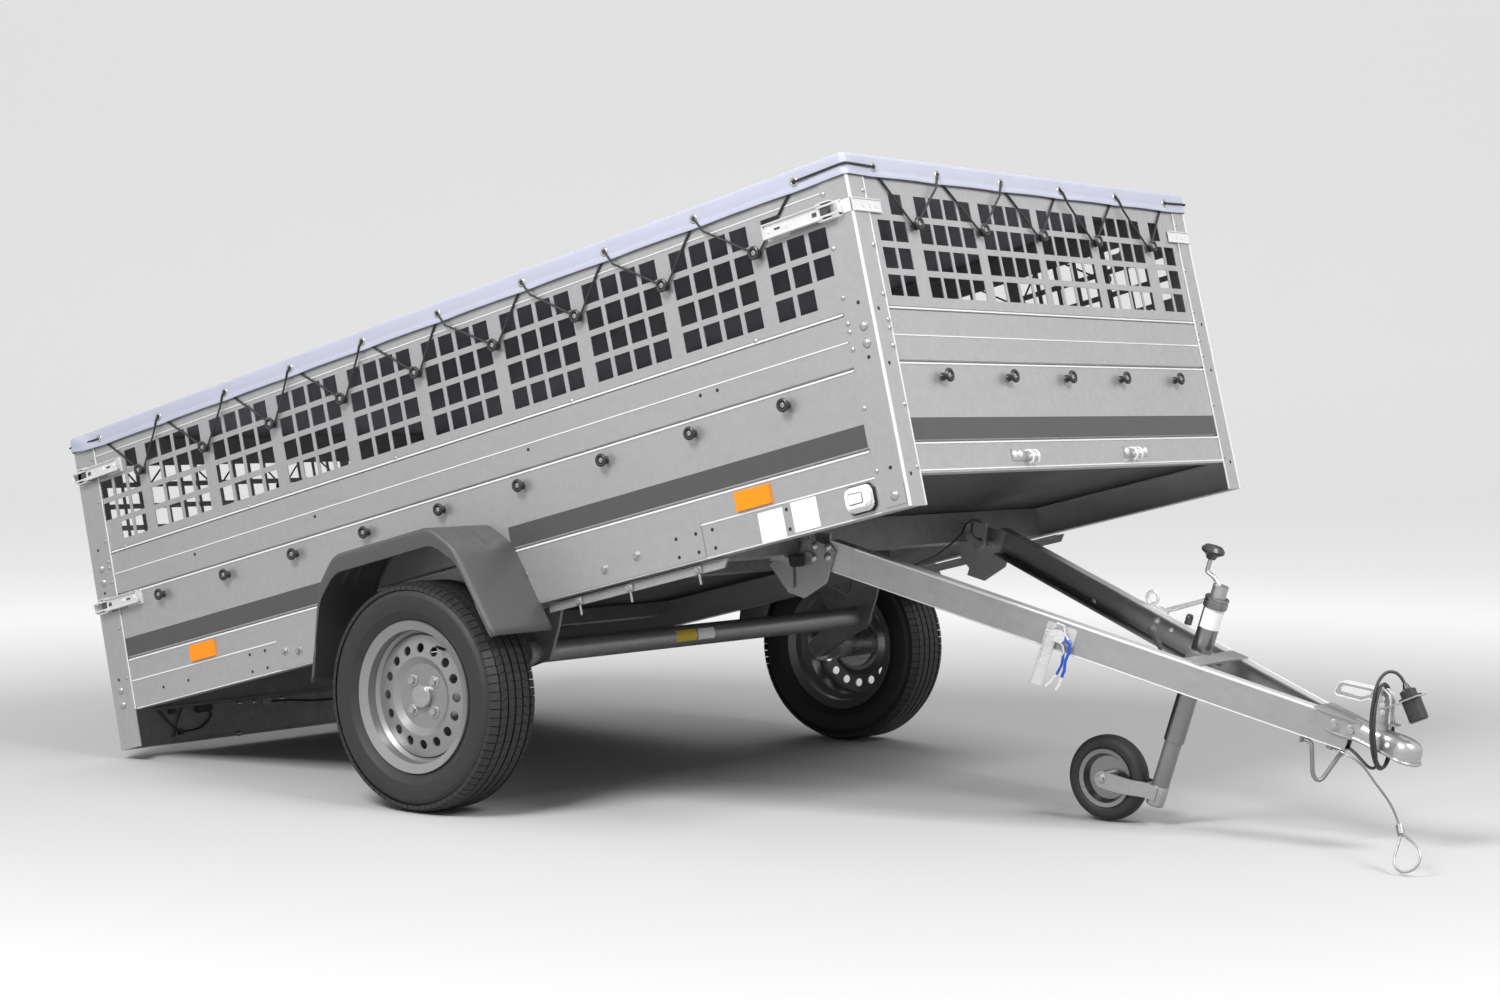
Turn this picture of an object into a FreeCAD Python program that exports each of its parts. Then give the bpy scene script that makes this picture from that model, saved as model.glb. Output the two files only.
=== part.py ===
"""Utility trailer: a single-axle tipping box trailer with mesh boards, a laced flat
cover, a V drawbar hinged under the bed and a jockey wheel that it stands on.

The parked pose is tipped: the bed is nose-up on its wheels and the drawbar slopes
down to the jockey wheel. Sizes are in millimetres. Three frames are used:
  bed      origin in the axle centre, x along the floor to the front
  drawbar  origin on the tipping pivot, x along the drawbar to the coupling
  ground   origin on the floor under the middle of the whole length
"""
import FreeCAD
import Part
import math
import os

Vector = FreeCAD.Vector

# Pose of the parked trailer
BED_TILT = 13.529
DRAWBAR_TILT = 18.1

# Bed outline, measured from the axle centre
BED_WIDTH = 1480.0
BED_FRONT = 1378.5
BED_REAR = -1325.5
RAIL_BOTTOM = 160.0
RAIL_HEIGHT = 76.0
RAIL_FLANGE = 40.0
RAIL_SHEET = 2.5
FLOOR_SHEET = 9.0
SILL_DEPTH = 33.0
BEAM_DEPTH = 40.0
UNDER_FLOOR_BEAMS = (-520.0, 300.0)

# Boards
BOARD_SHEET = 2.0
BOARD_HEM = 25.0
LOWER_BOARD_HEIGHT = 297.0
SEAM = 3.0
MESH_BOARD_HEIGHT = 396.0
CREASE_DEPTH = 5.0
CREASE_HALF = 5.0
LOWER_CREASES = (62.0, 239.5)
MESH_CREASE = 59.0
FRONT_HEM_DROP = 6.0

# Mesh windows
HOLE_WIDTH = 48.0
HOLE_HEIGHT = 47.0
HOLE_ROW_PITCH = 61.3
HOLE_TOP_DROP = 79.0
SIDE_HOLE_PITCH = 60.0
END_HOLE_PITCH = 58.5
ROW_COUNT = 4
GROUP_COLUMNS = 4
SIDE_OUTER_COLUMNS = (1, 3, 3, 2)
END_OUTER_COLUMNS = (1, 2, 2, 2)
SIDE_KNOB_PITCH = 270.5
SIDE_KNOB_MIDDLE = 31.0
SIDE_KNOB_COUNT = 9
SIDE_KNOB_GAP = 20.5
END_KNOB_PLACES = (0.0, 252.0, 518.0)
END_KNOB_GAP = 14.0

# Corner posts
POST_SHEET = 2.5
POST_END_FLANGE = 62.0
FRONT_POST_SIDE_FLANGE = 74.0
REAR_POST_SIDE_FLANGE = 86.0
REAR_POST_BOTTOM = 60.0

# Tailgate
TAILGATE_GAP = 5.5
TAILGATE_TOP_GAP = 8.0
TAILGATE_BOTTOM_GAP = 8.0
HINGE_BEHIND = 9.0
HINGE_ABOVE = 2.0
HINGE_RADIUS = 8.0
HINGE_PLACES = (-430.0, 0.0, 430.0)
HINGE_KNUCKLE = 20.0
HINGE_GAP = 0.5
HINGE_LEAF = 56.0
HINGE_LEAF_SHEET = 3.0
HINGE_LEAF_DROP = 8.0
HINGE_WEB_INSET = 1.0
HINGE_WEB_RISE = 6.0
HINGE_WEB_DROP = 14.0
CATCH_SHEET = 2.5
CATCH_HEIGHT = 30.0
CATCH_REACH = 55.0
CATCH_PAD_INSET = 3.0
CATCH_LEG = 30.0
CATCH_GAP = 1.0
CATCH_SIDE_GAP = 5.5

# Rear lamps
REAR_LAMP_INSET = 72.0
REAR_LAMP_LENGTH = 221.0
REAR_LAMP_BOTTOM = 72.0
REAR_LAMP_HEIGHT = 82.0
REAR_LAMP_CORNER = 8.0
REAR_LAMP_BASE = 14.0
REAR_LAMP_LENS = 12.0
REAR_LAMP_RIM = 6.0
LAMP_BEAM_FLANGE = 30.0
LAMP_BEAM_INSET = 4.0

# Marker lamps and reflectors on the sides
MARKER_INSET = 78.5
MARKER_LENGTH = 78.0
MARKER_BOTTOM = 170.0
MARKER_HEIGHT = 62.0
MARKER_CORNER = 11.0
MARKER_BASE = 12.0
MARKER_LENS = 17.0
MARKER_RIM = 7.0
REFLECTOR_FRONT_INSET = 403.5
REFLECTOR_REAR_INSET = 397.5
REFLECTOR_LENGTH = 100.0
REFLECTOR_BOTTOM = 245.0
REFLECTOR_HEIGHT = 43.0
REFLECTOR_PROUD = 6.0

# Cover
COVER_SHEET = 3.0
COVER_SKIRT = 62.0
COVER_PROUD = 2.0
COVER_REST = 0.3

# Knobs that the cover is laced to
KNOB_RADIUS = 14.0
KNOB_HEIGHT = 22.0
KNOB_STEM_RADIUS = 7.0
KNOB_LOWER_HEIGHT = 207.0
KNOB_UPPER_HEIGHT = 249.0

# Draw latches
LATCH_HEIGHT = 42.0
LATCH_SLACK = 13.5
LATCH_LEVER_DEPTH = 7.0
LATCH_LEVER_INSET = 4.0
LATCH_LEVER_GAP = 55.0
LATCH_BASE_LENGTH = 60.0
LATCH_BAIL = 3.0
LATCH_BAIL_BEND = 6.0
LATCH_BAIL_INSET = 8.0
FRONT_LATCH_START = 231.5
FRONT_LATCH_CATCH = 18.5
REAR_UPPER_LATCH_START = 190.5
REAR_LOWER_LATCH_START = 186.5
LATCH_CATCH_HALF = 15.0
LATCH_CATCH_SHEET = 2.5
LATCH_CATCH_INNER = 62.0
LATCH_CATCH_SIDE = 34.0
UPPER_LATCH_DROP = 112.0
LOWER_LATCH_DROP = 78.0

# Hooks on the front board
HOOK_PLACE = 250.0
HOOK_PLATE_HALF = 55.0
HOOK_PLATE_SHEET = 3.0
HOOK_PLATE_BOTTOM = 250.0
HOOK_PLATE_HEIGHT = 30.0
HOOK_LEVEL = 262.0
HOOK_HALF = 20.0
HOOK_REACH = 20.0
HOOK_ROD = 4.0
HOOK_BEND = 8.0

# Running gear
TYRE_RADIUS = 273.5
TYRE_WIDTH = 157.0
WHEEL_SIDE_GAP = 35.5
TYRE_WALL = 91.0
RIM_LIP = 19.5
RIM_STEPS = ((0, 0, 1), (9, 0, 0), (30, 2, 0), (45, 15, 0))
DISC_RING_PROUD = 10.0
DISC_EDGE_PROUD = 2.0
DISC_WELD_BACK = 22.0
DISC_WELD_DEPTH = 14.5
VENT_REACH = 30.0
TYRE_FOOT_INSET = 9.0
TYRE_FOOT_STEPS = ((3, 4), (20, 6))
TYRE_SHOULDER = ((48, 0), (22, 5), (7, 17), (0, 32))
RIM_WIDTH = 127.0
RIM_SHEET = 4.0
RIM_DISC_INSET = 36.0
VENT_COUNT = 16
VENT_RADIUS = 11.5
VENT_CIRCLE_INSET = 48.0
DISC_EDGE_INSET = 21.0
DISC_RING_INSET = 68.0
DISC_FLAT_INSET = 85.0
WHEEL_BOLT_COUNT = 4
WHEEL_BOLT_CIRCLE = 50.0
HUB_RADIUS = 36.0
HUB_FLANGE_RADIUS = 66.0
HUB_FLANGE = 10.0
HUB_CAP_RADIUS = 29.0
HUB_CAP_PROUD = 13.0
AXLE_TUBE_RADIUS = 28.0
AXLE_TUBE_WALL = 5.0
AXLE_AHEAD = 168.0
AXLE_ABOVE = 59.0
AXLE_END_INSET = 178.0
SWING_ARM = 20.0
SWING_ARM_GAP = 4.0
SWING_ARM_CORE_RADIUS = 34.0
SWING_ARM_STUB_RADIUS = 26.0
CORE_PIN_LENGTH = 60.0
STUB_RADIUS = 22.0
STUB_END_GAP = 20.0
HUB_REAR_GAP = 5.0
HUB_CAP_BEVEL = 4.5
HUB_CAP_ROOM = 10.0
AXLE_PLATE = 8.0
AXLE_PLATE_INSET = 16.0
AXLE_PLATE_FOOT = 6.0
AXLE_PLATE_REAR = 98.0
AXLE_PLATE_FRONT = 122.0
AXLE_PLATE_LOWER = ((92, 41), (47, -27), (-40, -35), (-80, 41))

# Fenders
FENDER_WIDTH = 202.0
FENDER_SHEET = 3.0
FENDER_FOOT = 18.0
FENDER_OUTLINE = ((-318, 92), (-238, 318), (-168, 380), (168, 380), (238, 318), (318, 92))
FENDER_OPENING = ((-309, 92), (-236, 279), (-170, 333), (170, 333), (236, 279), (309, 92))

# Tipping pivot in the bed frame
PIVOT_X = 835.0
PIVOT_Z = 145.0
PIVOT_PIN_RADIUS = 8.0
PIN_CLEARANCE = 0.3
PIVOT_BEAM_FRONT = 797.5
PIVOT_BEAM_DEPTH = 47.5
EAR_INSET = 51.9
EAR_SHEET = 6.0
EAR_ROUND = 19.0
EAR_TOP_DROP = 24.0
EAR_FRONT = 33.0
EAR_FRONT_DROP = 44.0
EAR_REAR_RISE = 6.0
EAR_FOOT = 36.0
EAR_WINDOW = ((8.5, 15), (26, 19), (26, 43), (8.5, 43))
BOLT_GAP = 0.5
PIN_END = 8.0
SPACER_RADIUS = 13.0
BOLT_HEAD_RADIUS = 12.0
BOLT_HEAD = 8.0
NUT_END = 11.0
TIP_STOP_GAP = 5.0
TIP_STOP_FOOT = 40.0
TIP_STOP_REAR = 752.0
TIP_STOP_FRONT = 795.0
TIP_STOP_LOWER = ((790, 150), (776, 84), (757, 84), (722, 150))

# Drawbar arms
ARM_HEIGHT = 71.0
ARM_FLANGE = 35.0
ARM_SHEET = 3.0
ARM_TOP = 56.5
ARM_REAR = 38.0
ARM_FRONT = 1239.0
ARM_REAR_HALF_WIDTH = 384.9
ARM_TRIM = 0.9
ARM_FRONT_HALF_WIDTH = 14.5
ARM_SPARE = 60.0
SHOE_SHEET = 5.0
SHOE_OUTLINE = ((-27, 37), (50, 45), (63, 37), (62, -42), (14, -98), (-40, -102), (-38, -27))

# Coupling
BALL_BORE_RADIUS = 25.2
BALL_CENTRE_X = 1366.0
BALL_CENTRE_Z = 30.0
SOCKET_BOTTOM = 12.0
SOCKET_RADIUS = 36.0
SOCKET_TOP = 60.0
SOCKET_DOME = ((0, 34), (5, 46), (15, 56), (24, 60))
NECK_HALF_WIDTH = 21.0
NECK_FLARE = 6.0
NECK_TOP_DROP = 8.0
NECK_SHEET = 4.0
NECK_ROOF = 14.0
BRIDGE_DEPTH = 12.0
SADDLE_REAR = 85.0
SADDLE_SHOULDER = 60.0
SADDLE_LAP = 20.0
SADDLE_HALF_WIDTH = 46.0
CHEEK_LINE = ((-82, 26), (-50, 14), (0, 8))
HANDLE_OUTLINE = ((1290, 52), (1316, 52), (1300, 132), (1284, 145), (1262, 141), (1168, 128),
                  (1160, 112), (1172, 104), (1262, 120), (1276, 112))
HANDLE_HALF_WIDTH = 10.0

# Loop and clip under the arms' front ends
LOOP_GAP = 1.5
LOOP_PLACE = 1190.0
LOOP_HALF_WIDTH = 30.0
LOOP_LOWEST = -116.0
LOOP_ROD = 5.0
LOOP_BEND = 14.0
WIRE_CLIP_LENGTH = 14.0
WIRE_CLIP_HALF = 9.0

# Latches on the arms' webs, measured along the web
ARM_LATCH_START = 549.0
ARM_LATCH_LENGTH = 71.0
ARM_LATCH_SHEET = 3.0
ARM_LATCH_BOTTOM = 3.0
OPEN_LATCH_TOP = 45.0
OPEN_LATCH_CHEEK = (560, 600, 8, 38)
OPEN_LATCH_CHEEK_FACES = (3, 17)
OPEN_LATCH_BLADE = ((552, 26), (580, 30), (578, -102), (550, -104))
OPEN_LATCH_BLADE_FACE = 7.0
OPEN_LATCH_BLADE_SHEET = 5.0
OPEN_LATCH_PIVOT = (570, 20)
OPEN_LATCH_PIVOT_RADIUS = 4.0
OPEN_LATCH_PIVOT_END = 22.0
CLOSED_LATCH_TOP = 62.0
CLOSED_LATCH_CHEEK = (575, 612, 28, 62)
CLOSED_LATCH_CHEEK_END = 10.0
CLOSED_LATCH_LEVER = ((588, 46), (604, 44), (664, 114), (658, 124), (644, 122))
CLOSED_LATCH_LEVER_END = 15.0
CLOSED_LATCH_RING = (558, 76)
CLOSED_LATCH_RING_RADIUS = 13.0
CLOSED_LATCH_RING_ROD = 4.0

# Jockey wheel
COLUMN_X = 838.5
OUTER_TUBE_RADIUS = 24.0
OUTER_TUBE_BORE = 21.0
OUTER_TUBE_TOP = 167.0
OUTER_TUBE_BOTTOM = -159.0
INNER_TUBE_RADIUS = 20.0
INNER_TUBE_TOP = 100.0
FORK_DROP = 25.0
TRAIL = 130.0
JOCKEY_RADIUS = 100.0
JOCKEY_TYRE_WIDTH = 50.0
JOCKEY_RIM_RADIUS = 65.0
JOCKEY_HUB_RADIUS = 18.0
JOCKEY_AXLE_RADIUS = 6.0
FORK_INNER = 31.0
FORK_SHEET = 5.0
FORK_HEIGHT = 40.0
FORK_REAR = 16.0
FORK_FRONT = 28.0
FORK_EYE = 18.0
FORK_AXLE_END = 8.0
FORK_GAP = 1.0
INNER_CAP_RADIUS = 25.0
INNER_CAP = 5.0
JOCKEY_WEB = 4.0
JOCKEY_WEB_RADIUS = 50.0
JOCKEY_HUB_END = 1.0
JOCKEY_RIM_STEPS = ((-7, 5), (3, 3), (0, 8))
JOCKEY_SHOULDER = ((12, 0), (3, 8), (0, 16))
JOCKEY_WALL = 8.0
CLAMP_RADIUS = 31.0
CLAMP_PLATE = 5.0
CLAMP_BOTTOM = 18.0
CLAMP_STRIP_REAR = 858.0
CLAMP_STRIP_FRONT = 900.0
CLAMP_TAB_START = 10.0
CLAMP_TAB_HALF = 12.0
CLAMP_TAB_DEPTH = 8.0
CLAMP_SCREW = ((33, 0, 42), (48, -4, 44), (64.5, -20, 74))
CLAMP_SCREW_RADIUS = 4.5
CLAMP_SCREW_BEND = 8.0
CLAMP_GRIP_END = (92.5, -32, 112)
CLAMP_GRIP_RADIUS = 9.0
TOP_CAP_RADIUS = 27.0
TOP_CAP = 25.0
CRANK_HEAD_RADIUS = 18.0
CRANK_HEAD = 28.0
CRANK_ROD = 5.0
CRANK_BEND = 6.0
CRANK_LINE = ((0, 22), (24, 40), (44, 46), (44, 76))
CRANK_KNOB_PROFILE = ((0, 0), (10, 0), (14, 8), (26, 16), (27, 22), (20, 30), (0, 34))

# Loose lines: the lead in the drawbar frame, the wire over the ground under the axle
LEAD_DIAMETER = 7.0
COIL_CENTRE = (1299.5, 0.0, 66.6)
COIL_HALF_HEIGHT = 93.0
COIL_HALF_WIDTH = 52.0
COIL_THICKNESS = 16.0
PLUG_BACK = (1317.0, 0.0, 174.0)
PLUG_AXIS = (0.669, 0.0, -0.743)
PLUG_RADIUS = 21.5
PLUG_COLLAR = 34.0
PLUG_COLLAR_PROUD = 4.0
PLUG_COLLAR_SHEET = 4.0
PLUG_BOOT = ((0, 0), (5, 0), (9, 12), (18, 16), (18, 29))
PLUG_LENGTH = 86.0
PLUG_END_BEVEL = 3.5
HOLDER_DROP = 50.0
HOLDER_SHEET = 3.0
HOLDER_HALF_WIDTH = 28.0
ARM_CABLE_LEVELS = ((62, -4), (140, -6))
ARM_CABLE_INSET = 19.5
ARM_CABLE_BEND = 300.0
LEAD_TAIL_ROUTE = ((1150, 23, -7), (1186, 12, -6), (1221, 3, -6), (1253, -1, -9), (1281, -6, -20),
                   (1306, -15, -27), (1326, -28, -17))
LEAD_END_ROUTE = ((1288, -47, 99), (1281, -48, 124), (1276, -44, 148), (1273, -32, 171),
                  (1277, -16, 187), (1290, -4, 191), (1305, 0, 185), (1317, 0, 174))
WIRE_DIAMETER = 5.0
SAFETY_WIRE_ROUTE = ((1924, -12, 215), (1952, -13, 206), (1981, -18, 195), (2011, -36, 181),
                     (2046, -64, 156), (2085, -98, 136), (2117, -134, 120), (2141, -166, 106),
                     (2163, -198, 92), (2173, -211, 75), (2170, -222, 52), (2168, -235, 31),
                     (2174, -246, 14), (2190, -253, 6), (2210, -255, 8), (2226, -251, 20),
                     (2231, -243, 39), (2222, -234, 55), (2204, -226, 66), (2179, -214, 77))
FERRULE_POINT_COUNT = 8
FERRULE_RADIUS = 8.0

# Levels and faces that follow from the sizes above
HALF_WIDTH = BED_WIDTH / 2
RAIL_TOP = RAIL_BOTTOM + RAIL_HEIGHT
BOARD_TOP = RAIL_TOP + LOWER_BOARD_HEIGHT
MESH_BOTTOM = BOARD_TOP + SEAM
MESH_TOP = MESH_BOTTOM + MESH_BOARD_HEIGHT
UPPER_LATCH_LEVEL = MESH_TOP - UPPER_LATCH_DROP
LOWER_LATCH_LEVEL = BOARD_TOP - LOWER_LATCH_DROP
FLOOR_TOP = RAIL_TOP + BOARD_SHEET + FLOOR_SHEET
POST_FACE = HALF_WIDTH + POST_SHEET
TAILGATE_HALF = POST_FACE - POST_END_FLANGE - TAILGATE_GAP
ARM_SPLAY = math.degrees(math.atan2(ARM_REAR_HALF_WIDTH - ARM_FRONT_HALF_WIDTH, ARM_FRONT - ARM_REAR))
ARM_BOTTOM = ARM_TOP - ARM_HEIGHT
RIM_FLANGE_RADIUS = TYRE_RADIUS - TYRE_WALL
TYRE_BEAD_RADIUS = RIM_FLANGE_RADIUS - RIM_LIP
VENT_CIRCLE = TYRE_BEAD_RADIUS - VENT_CIRCLE_INSET
HALF_TRACK = HALF_WIDTH + WHEEL_SIDE_GAP + TYRE_WIDTH / 2
AXLE_HALF_LENGTH = HALF_TRACK - AXLE_END_INSET
EAR_FACE = ARM_REAR_HALF_WIDTH - EAR_INSET
SHOE_FACE = ARM_REAR_HALF_WIDTH - ARM_TRIM
SIN_BED = math.sin(math.radians(BED_TILT))
COS_BED = math.cos(math.radians(BED_TILT))
SIN_BAR = math.sin(math.radians(DRAWBAR_TILT))
COS_BAR = math.cos(math.radians(DRAWBAR_TILT))
PIVOT_GROUND_X = PIVOT_X * COS_BED - PIVOT_Z * SIN_BED
PIVOT_GROUND_Z = TYRE_RADIUS + PIVOT_X * SIN_BED + PIVOT_Z * COS_BED
JOCKEY_X = COLUMN_X - TRAIL
JOCKEY_Z = (JOCKEY_RADIUS - PIVOT_GROUND_Z + JOCKEY_X * SIN_BAR) / COS_BAR


# Shapes used all over the trailer


def box(x0, x1, y0, y1, z0, z1):
    """Make a block between two corners, given in any order."""
    low = Vector(min(x0, x1), min(y0, y1), min(z0, z1))
    return Part.makeBox(abs(x1 - x0), abs(y1 - y0), abs(z1 - z0), low)


def rod(radius, start, end):
    """Make a round bar from one point to another."""
    start, end = Vector(*start), Vector(*end)
    return Part.makeCylinder(radius, (end - start).Length, start, end - start)


def tube(radius, bore, start, end):
    """Make a round tube from one point to another."""
    return rod(radius, start, end).cut(rod(bore, start, end))


def prism_y(outline, y0, y1):
    """Extrude an outline given in x and z across the trailer."""
    corners = [Vector(x, y0, z) for x, z in outline]
    face = Part.Face(Part.makePolygon(corners + corners[:1]))
    return face.extrude(Vector(0, y1 - y0, 0))


def prism_x(outline, x0, x1):
    """Extrude an outline given in y and z along the trailer."""
    corners = [Vector(x0, y, z) for y, z in outline]
    face = Part.Face(Part.makePolygon(corners + corners[:1]))
    return face.extrude(Vector(x1 - x0, 0, 0))


def prism_z(outline, z0, z1):
    """Extrude an outline given in x and y upwards."""
    corners = [Vector(x, y, z0) for x, y in outline]
    face = Part.Face(Part.makePolygon(corners + corners[:1]))
    return face.extrude(Vector(0, 0, z1 - z0))


def offset_line(path, distance):
    """Shift a folded line to its left by one distance, mitred at its bends."""
    normals = []
    for (x0, z0), (x1, z1) in zip(path, path[1:]):
        length = math.hypot(x1 - x0, z1 - z0)
        normals.append(((z0 - z1) / length, (x1 - x0) / length))
    shifted = []
    for index, (x, z) in enumerate(path):
        before = normals[max(index - 1, 0)]
        after = normals[min(index, len(normals) - 1)]
        scale = distance / (1 + before[0] * after[0] + before[1] * after[1])
        shifted.append((x + scale * (before[0] + after[0]), z + scale * (before[1] + after[1])))
    return shifted


def folded(path, thickness):
    """Give the outline of a sheet of one thickness folded along a line."""
    return list(path) + offset_line(path, thickness)[::-1]


def lathe(profile, centre, axis):
    """Turn a closed profile of radius and height about an axis through a point."""
    corners = [Vector(radius, 0, height) for radius, height in profile]
    face = Part.Face(Part.makePolygon(corners + corners[:1]))
    solid = face.revolve(Vector(0, 0, 0), Vector(0, 0, 1), 360)
    turn = FreeCAD.Rotation(Vector(0, 0, 1), Vector(*axis))
    solid.Placement = FreeCAD.Placement(Vector(*centre), turn)
    return solid


def fuse(*solids):
    """Join solids that touch into one."""
    joined = solids[0].multiFuse(list(solids[1:])) if len(solids) > 1 else solids[0]
    return joined.removeSplitter()


def both_sides(solid):
    """Pair a solid with its mirror image across the middle plane."""
    return Part.makeCompound([solid, mirrored(solid)])


def mirrored(solid):
    """Mirror a solid across the middle plane."""
    return solid.mirror(Vector(0, 0, 0), Vector(0, 1, 0))


def round_path(points, radii):
    """Join points by straight runs with a tangent arc at each inner point."""
    places = [Vector(*point) for point in points]
    edges, last = [], places[0]
    for before, corner, after, radius in zip(places, places[1:], places[2:], radii):
        back = (before - corner).normalize()
        on = (after - corner).normalize()
        half_turn = (math.pi - back.getAngle(on)) / 2
        reach = radius * math.tan(half_turn)
        towards = (back + on).normalize()
        middle = corner + towards * (radius / math.cos(half_turn) - radius)
        start, end = corner + back * reach, corner + on * reach
        if (start - last).Length > 1e-6:
            edges.append(Part.LineSegment(last, start).toShape())
        edges.append(Part.Arc(start, middle, end).toShape())
        last = end
    edges.append(Part.LineSegment(last, places[-1]).toShape())
    return Part.Wire(edges)


def bent_rod(points, radius, bend):
    """Make a round bar along points with one bend radius."""
    return swept(round_path(points, [bend] * (len(points) - 2)), radius)


def swept(path, radius):
    """Sweep a circle along a wire of lines and arcs."""
    first = path.Edges[0]
    start = first.valueAt(first.FirstParameter)
    ahead = first.tangentAt(first.FirstParameter)
    ring = Part.Wire(Part.Circle(start, ahead, radius).toShape())
    return path.makePipeShell([ring], True, False)


def cord(name, points, diameter):
    """Make a cord's tube with arcs as large as its runs allow, and print them."""
    places = [Vector(*point) for point in points]
    radii = []
    for before, corner, after in zip(places, places[1:], places[2:]):
        back, on = before - corner, after - corner
        half_turn = (math.pi - back.getAngle(on)) / 2
        radii.append(0.45 * min(back.Length, on.Length) / math.tan(half_turn))
    path = round_path(points, radii)
    solid = swept(path, diameter / 2)
    expected = math.pi * diameter ** 2 / 4 * path.Length
    print(name, "length", round(path.Length), "radii", [round(radius) for radius in radii],
          "volume ratio", round(solid.Volume / expected, 4))
    return solid


# Bed frame and boards


def side_rail():
    """Left chassis rail, a channel open to the middle."""
    inner = HALF_WIDTH - RAIL_FLANGE
    path = [(inner, RAIL_BOTTOM), (HALF_WIDTH, RAIL_BOTTOM), (HALF_WIDTH, RAIL_TOP), (inner, RAIL_TOP)]
    return prism_x(folded(path, RAIL_SHEET), BED_REAR, BED_FRONT)


def board_path(face, bottom, top, creases, turn):
    """Give the folded outer line of a creased board with a hem at both edges."""
    path = [(face - turn * BOARD_HEM, bottom), (face, bottom)]
    for crease in creases:
        path += [(face, crease - CREASE_HALF), (face - turn * CREASE_DEPTH, crease),
                 (face, crease + CREASE_HALF)]
    return path + [(face, top), (face - turn * BOARD_HEM, top)]


def lower_creases():
    """Heights of the two creases in every lower board."""
    return [RAIL_TOP + height for height in LOWER_CREASES]


def side_board():
    """Left lower board."""
    path = board_path(HALF_WIDTH, RAIL_TOP, BOARD_TOP, lower_creases(), 1)
    return prism_x(folded(path, BOARD_SHEET), BED_REAR, BED_FRONT)


def front_board():
    """Lower board across the front, between the side boards."""
    half = HALF_WIDTH - RAIL_FLANGE - TAILGATE_GAP
    path = board_path(BED_FRONT, RAIL_TOP - FRONT_HEM_DROP, BOARD_TOP, lower_creases(), 1)
    return prism_y(folded(path, BOARD_SHEET), -half, half)


def tailgate():
    """Lower board across the rear, which swings down between the rear posts."""
    path = board_path(BED_REAR, RAIL_TOP + TAILGATE_BOTTOM_GAP, BOARD_TOP - TAILGATE_TOP_GAP + SEAM,
                      lower_creases(), -1)
    return prism_y(folded(path, -BOARD_SHEET), -TAILGATE_HALF, TAILGATE_HALF)


def hinge_half(middle, on_tailgate):
    """Half of one tailgate hinge: a leaf on the outer face and its knuckles."""
    x, z = BED_REAR - HINGE_BEHIND, RAIL_TOP + HINGE_ABOVE
    near, far = HINGE_KNUCKLE / 2, HINGE_KNUCKLE / 2 + HINGE_GAP
    leaf_face, web_face = BED_REAR - HINGE_LEAF_SHEET, BED_REAR - HINGE_WEB_INSET
    if on_tailgate:
        low = RAIL_TOP + TAILGATE_BOTTOM_GAP
        leaf = box(leaf_face, BED_REAR, middle - near, middle + near, low, low + HINGE_LEAF)
        web = box(x, web_face, middle - near, middle + near, z, low + HINGE_WEB_RISE)
        return fuse(leaf, web, rod(HINGE_RADIUS, (x, middle - near, z), (x, middle + near, z)))
    reach = far + HINGE_KNUCKLE
    pieces = [box(leaf_face, BED_REAR, middle - reach, middle + reach, RAIL_TOP - HINGE_LEAF,
                  RAIL_TOP - HINGE_LEAF_DROP)]
    for start, end in ((middle - reach, middle - far), (middle + far, middle + reach)):
        pieces.append(rod(HINGE_RADIUS, (x, start, z), (x, end, z)))
        pieces.append(box(x, web_face, start, end, RAIL_TOP - HINGE_WEB_DROP, z))
    return fuse(*pieces)


def hinges(on_tailgate):
    """One half of all the tailgate hinges."""
    return Part.makeCompound([hinge_half(middle, on_tailgate) for middle in HINGE_PLACES])


def tailgate_catch(level):
    """Left catch plate on the tailgate, reaching round the post to its latch."""
    low, high = level - CATCH_HEIGHT / 2, level + CATCH_HEIGHT / 2
    inner = BED_REAR - POST_SHEET - CATCH_GAP
    outer = inner - CATCH_SHEET
    start = TAILGATE_HALF - CATCH_REACH
    side = POST_FACE + CATCH_SIDE_GAP
    pad = box(inner, BED_REAR, start, TAILGATE_HALF - CATCH_PAD_INSET, low, high)
    plate = box(outer, inner, start, side + CATCH_SHEET, low, high)
    leg = box(outer, BED_REAR + CATCH_LEG, side, side + CATCH_SHEET, low, high)
    return fuse(pad, plate, leg)


def row_tops():
    """Upper edges of the rows of windows, highest first."""
    top = MESH_TOP - HOLE_TOP_DROP
    return [top - row * HOLE_ROW_PITCH for row in range(ROW_COUNT)]


def side_windows():
    """Low corners of every window in a side mesh board, in x and z."""
    first = SIDE_KNOB_MIDDLE - (SIDE_KNOB_COUNT // 2) * SIDE_KNOB_PITCH
    places = []
    for row, top in enumerate(row_tops()):
        low = top - HOLE_HEIGHT
        for group in range(SIDE_KNOB_COUNT - 1):
            start = first + group * SIDE_KNOB_PITCH + SIDE_KNOB_GAP
            places += [(start + column * SIDE_HOLE_PITCH, low) for column in range(GROUP_COLUMNS)]
        for column in range(SIDE_OUTER_COLUMNS[row]):
            reach = SIDE_KNOB_GAP + column * SIDE_HOLE_PITCH
            last = first + (SIDE_KNOB_COUNT - 1) * SIDE_KNOB_PITCH
            places += [(last + reach, low), (first - reach - HOLE_WIDTH, low)]
    return places


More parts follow.
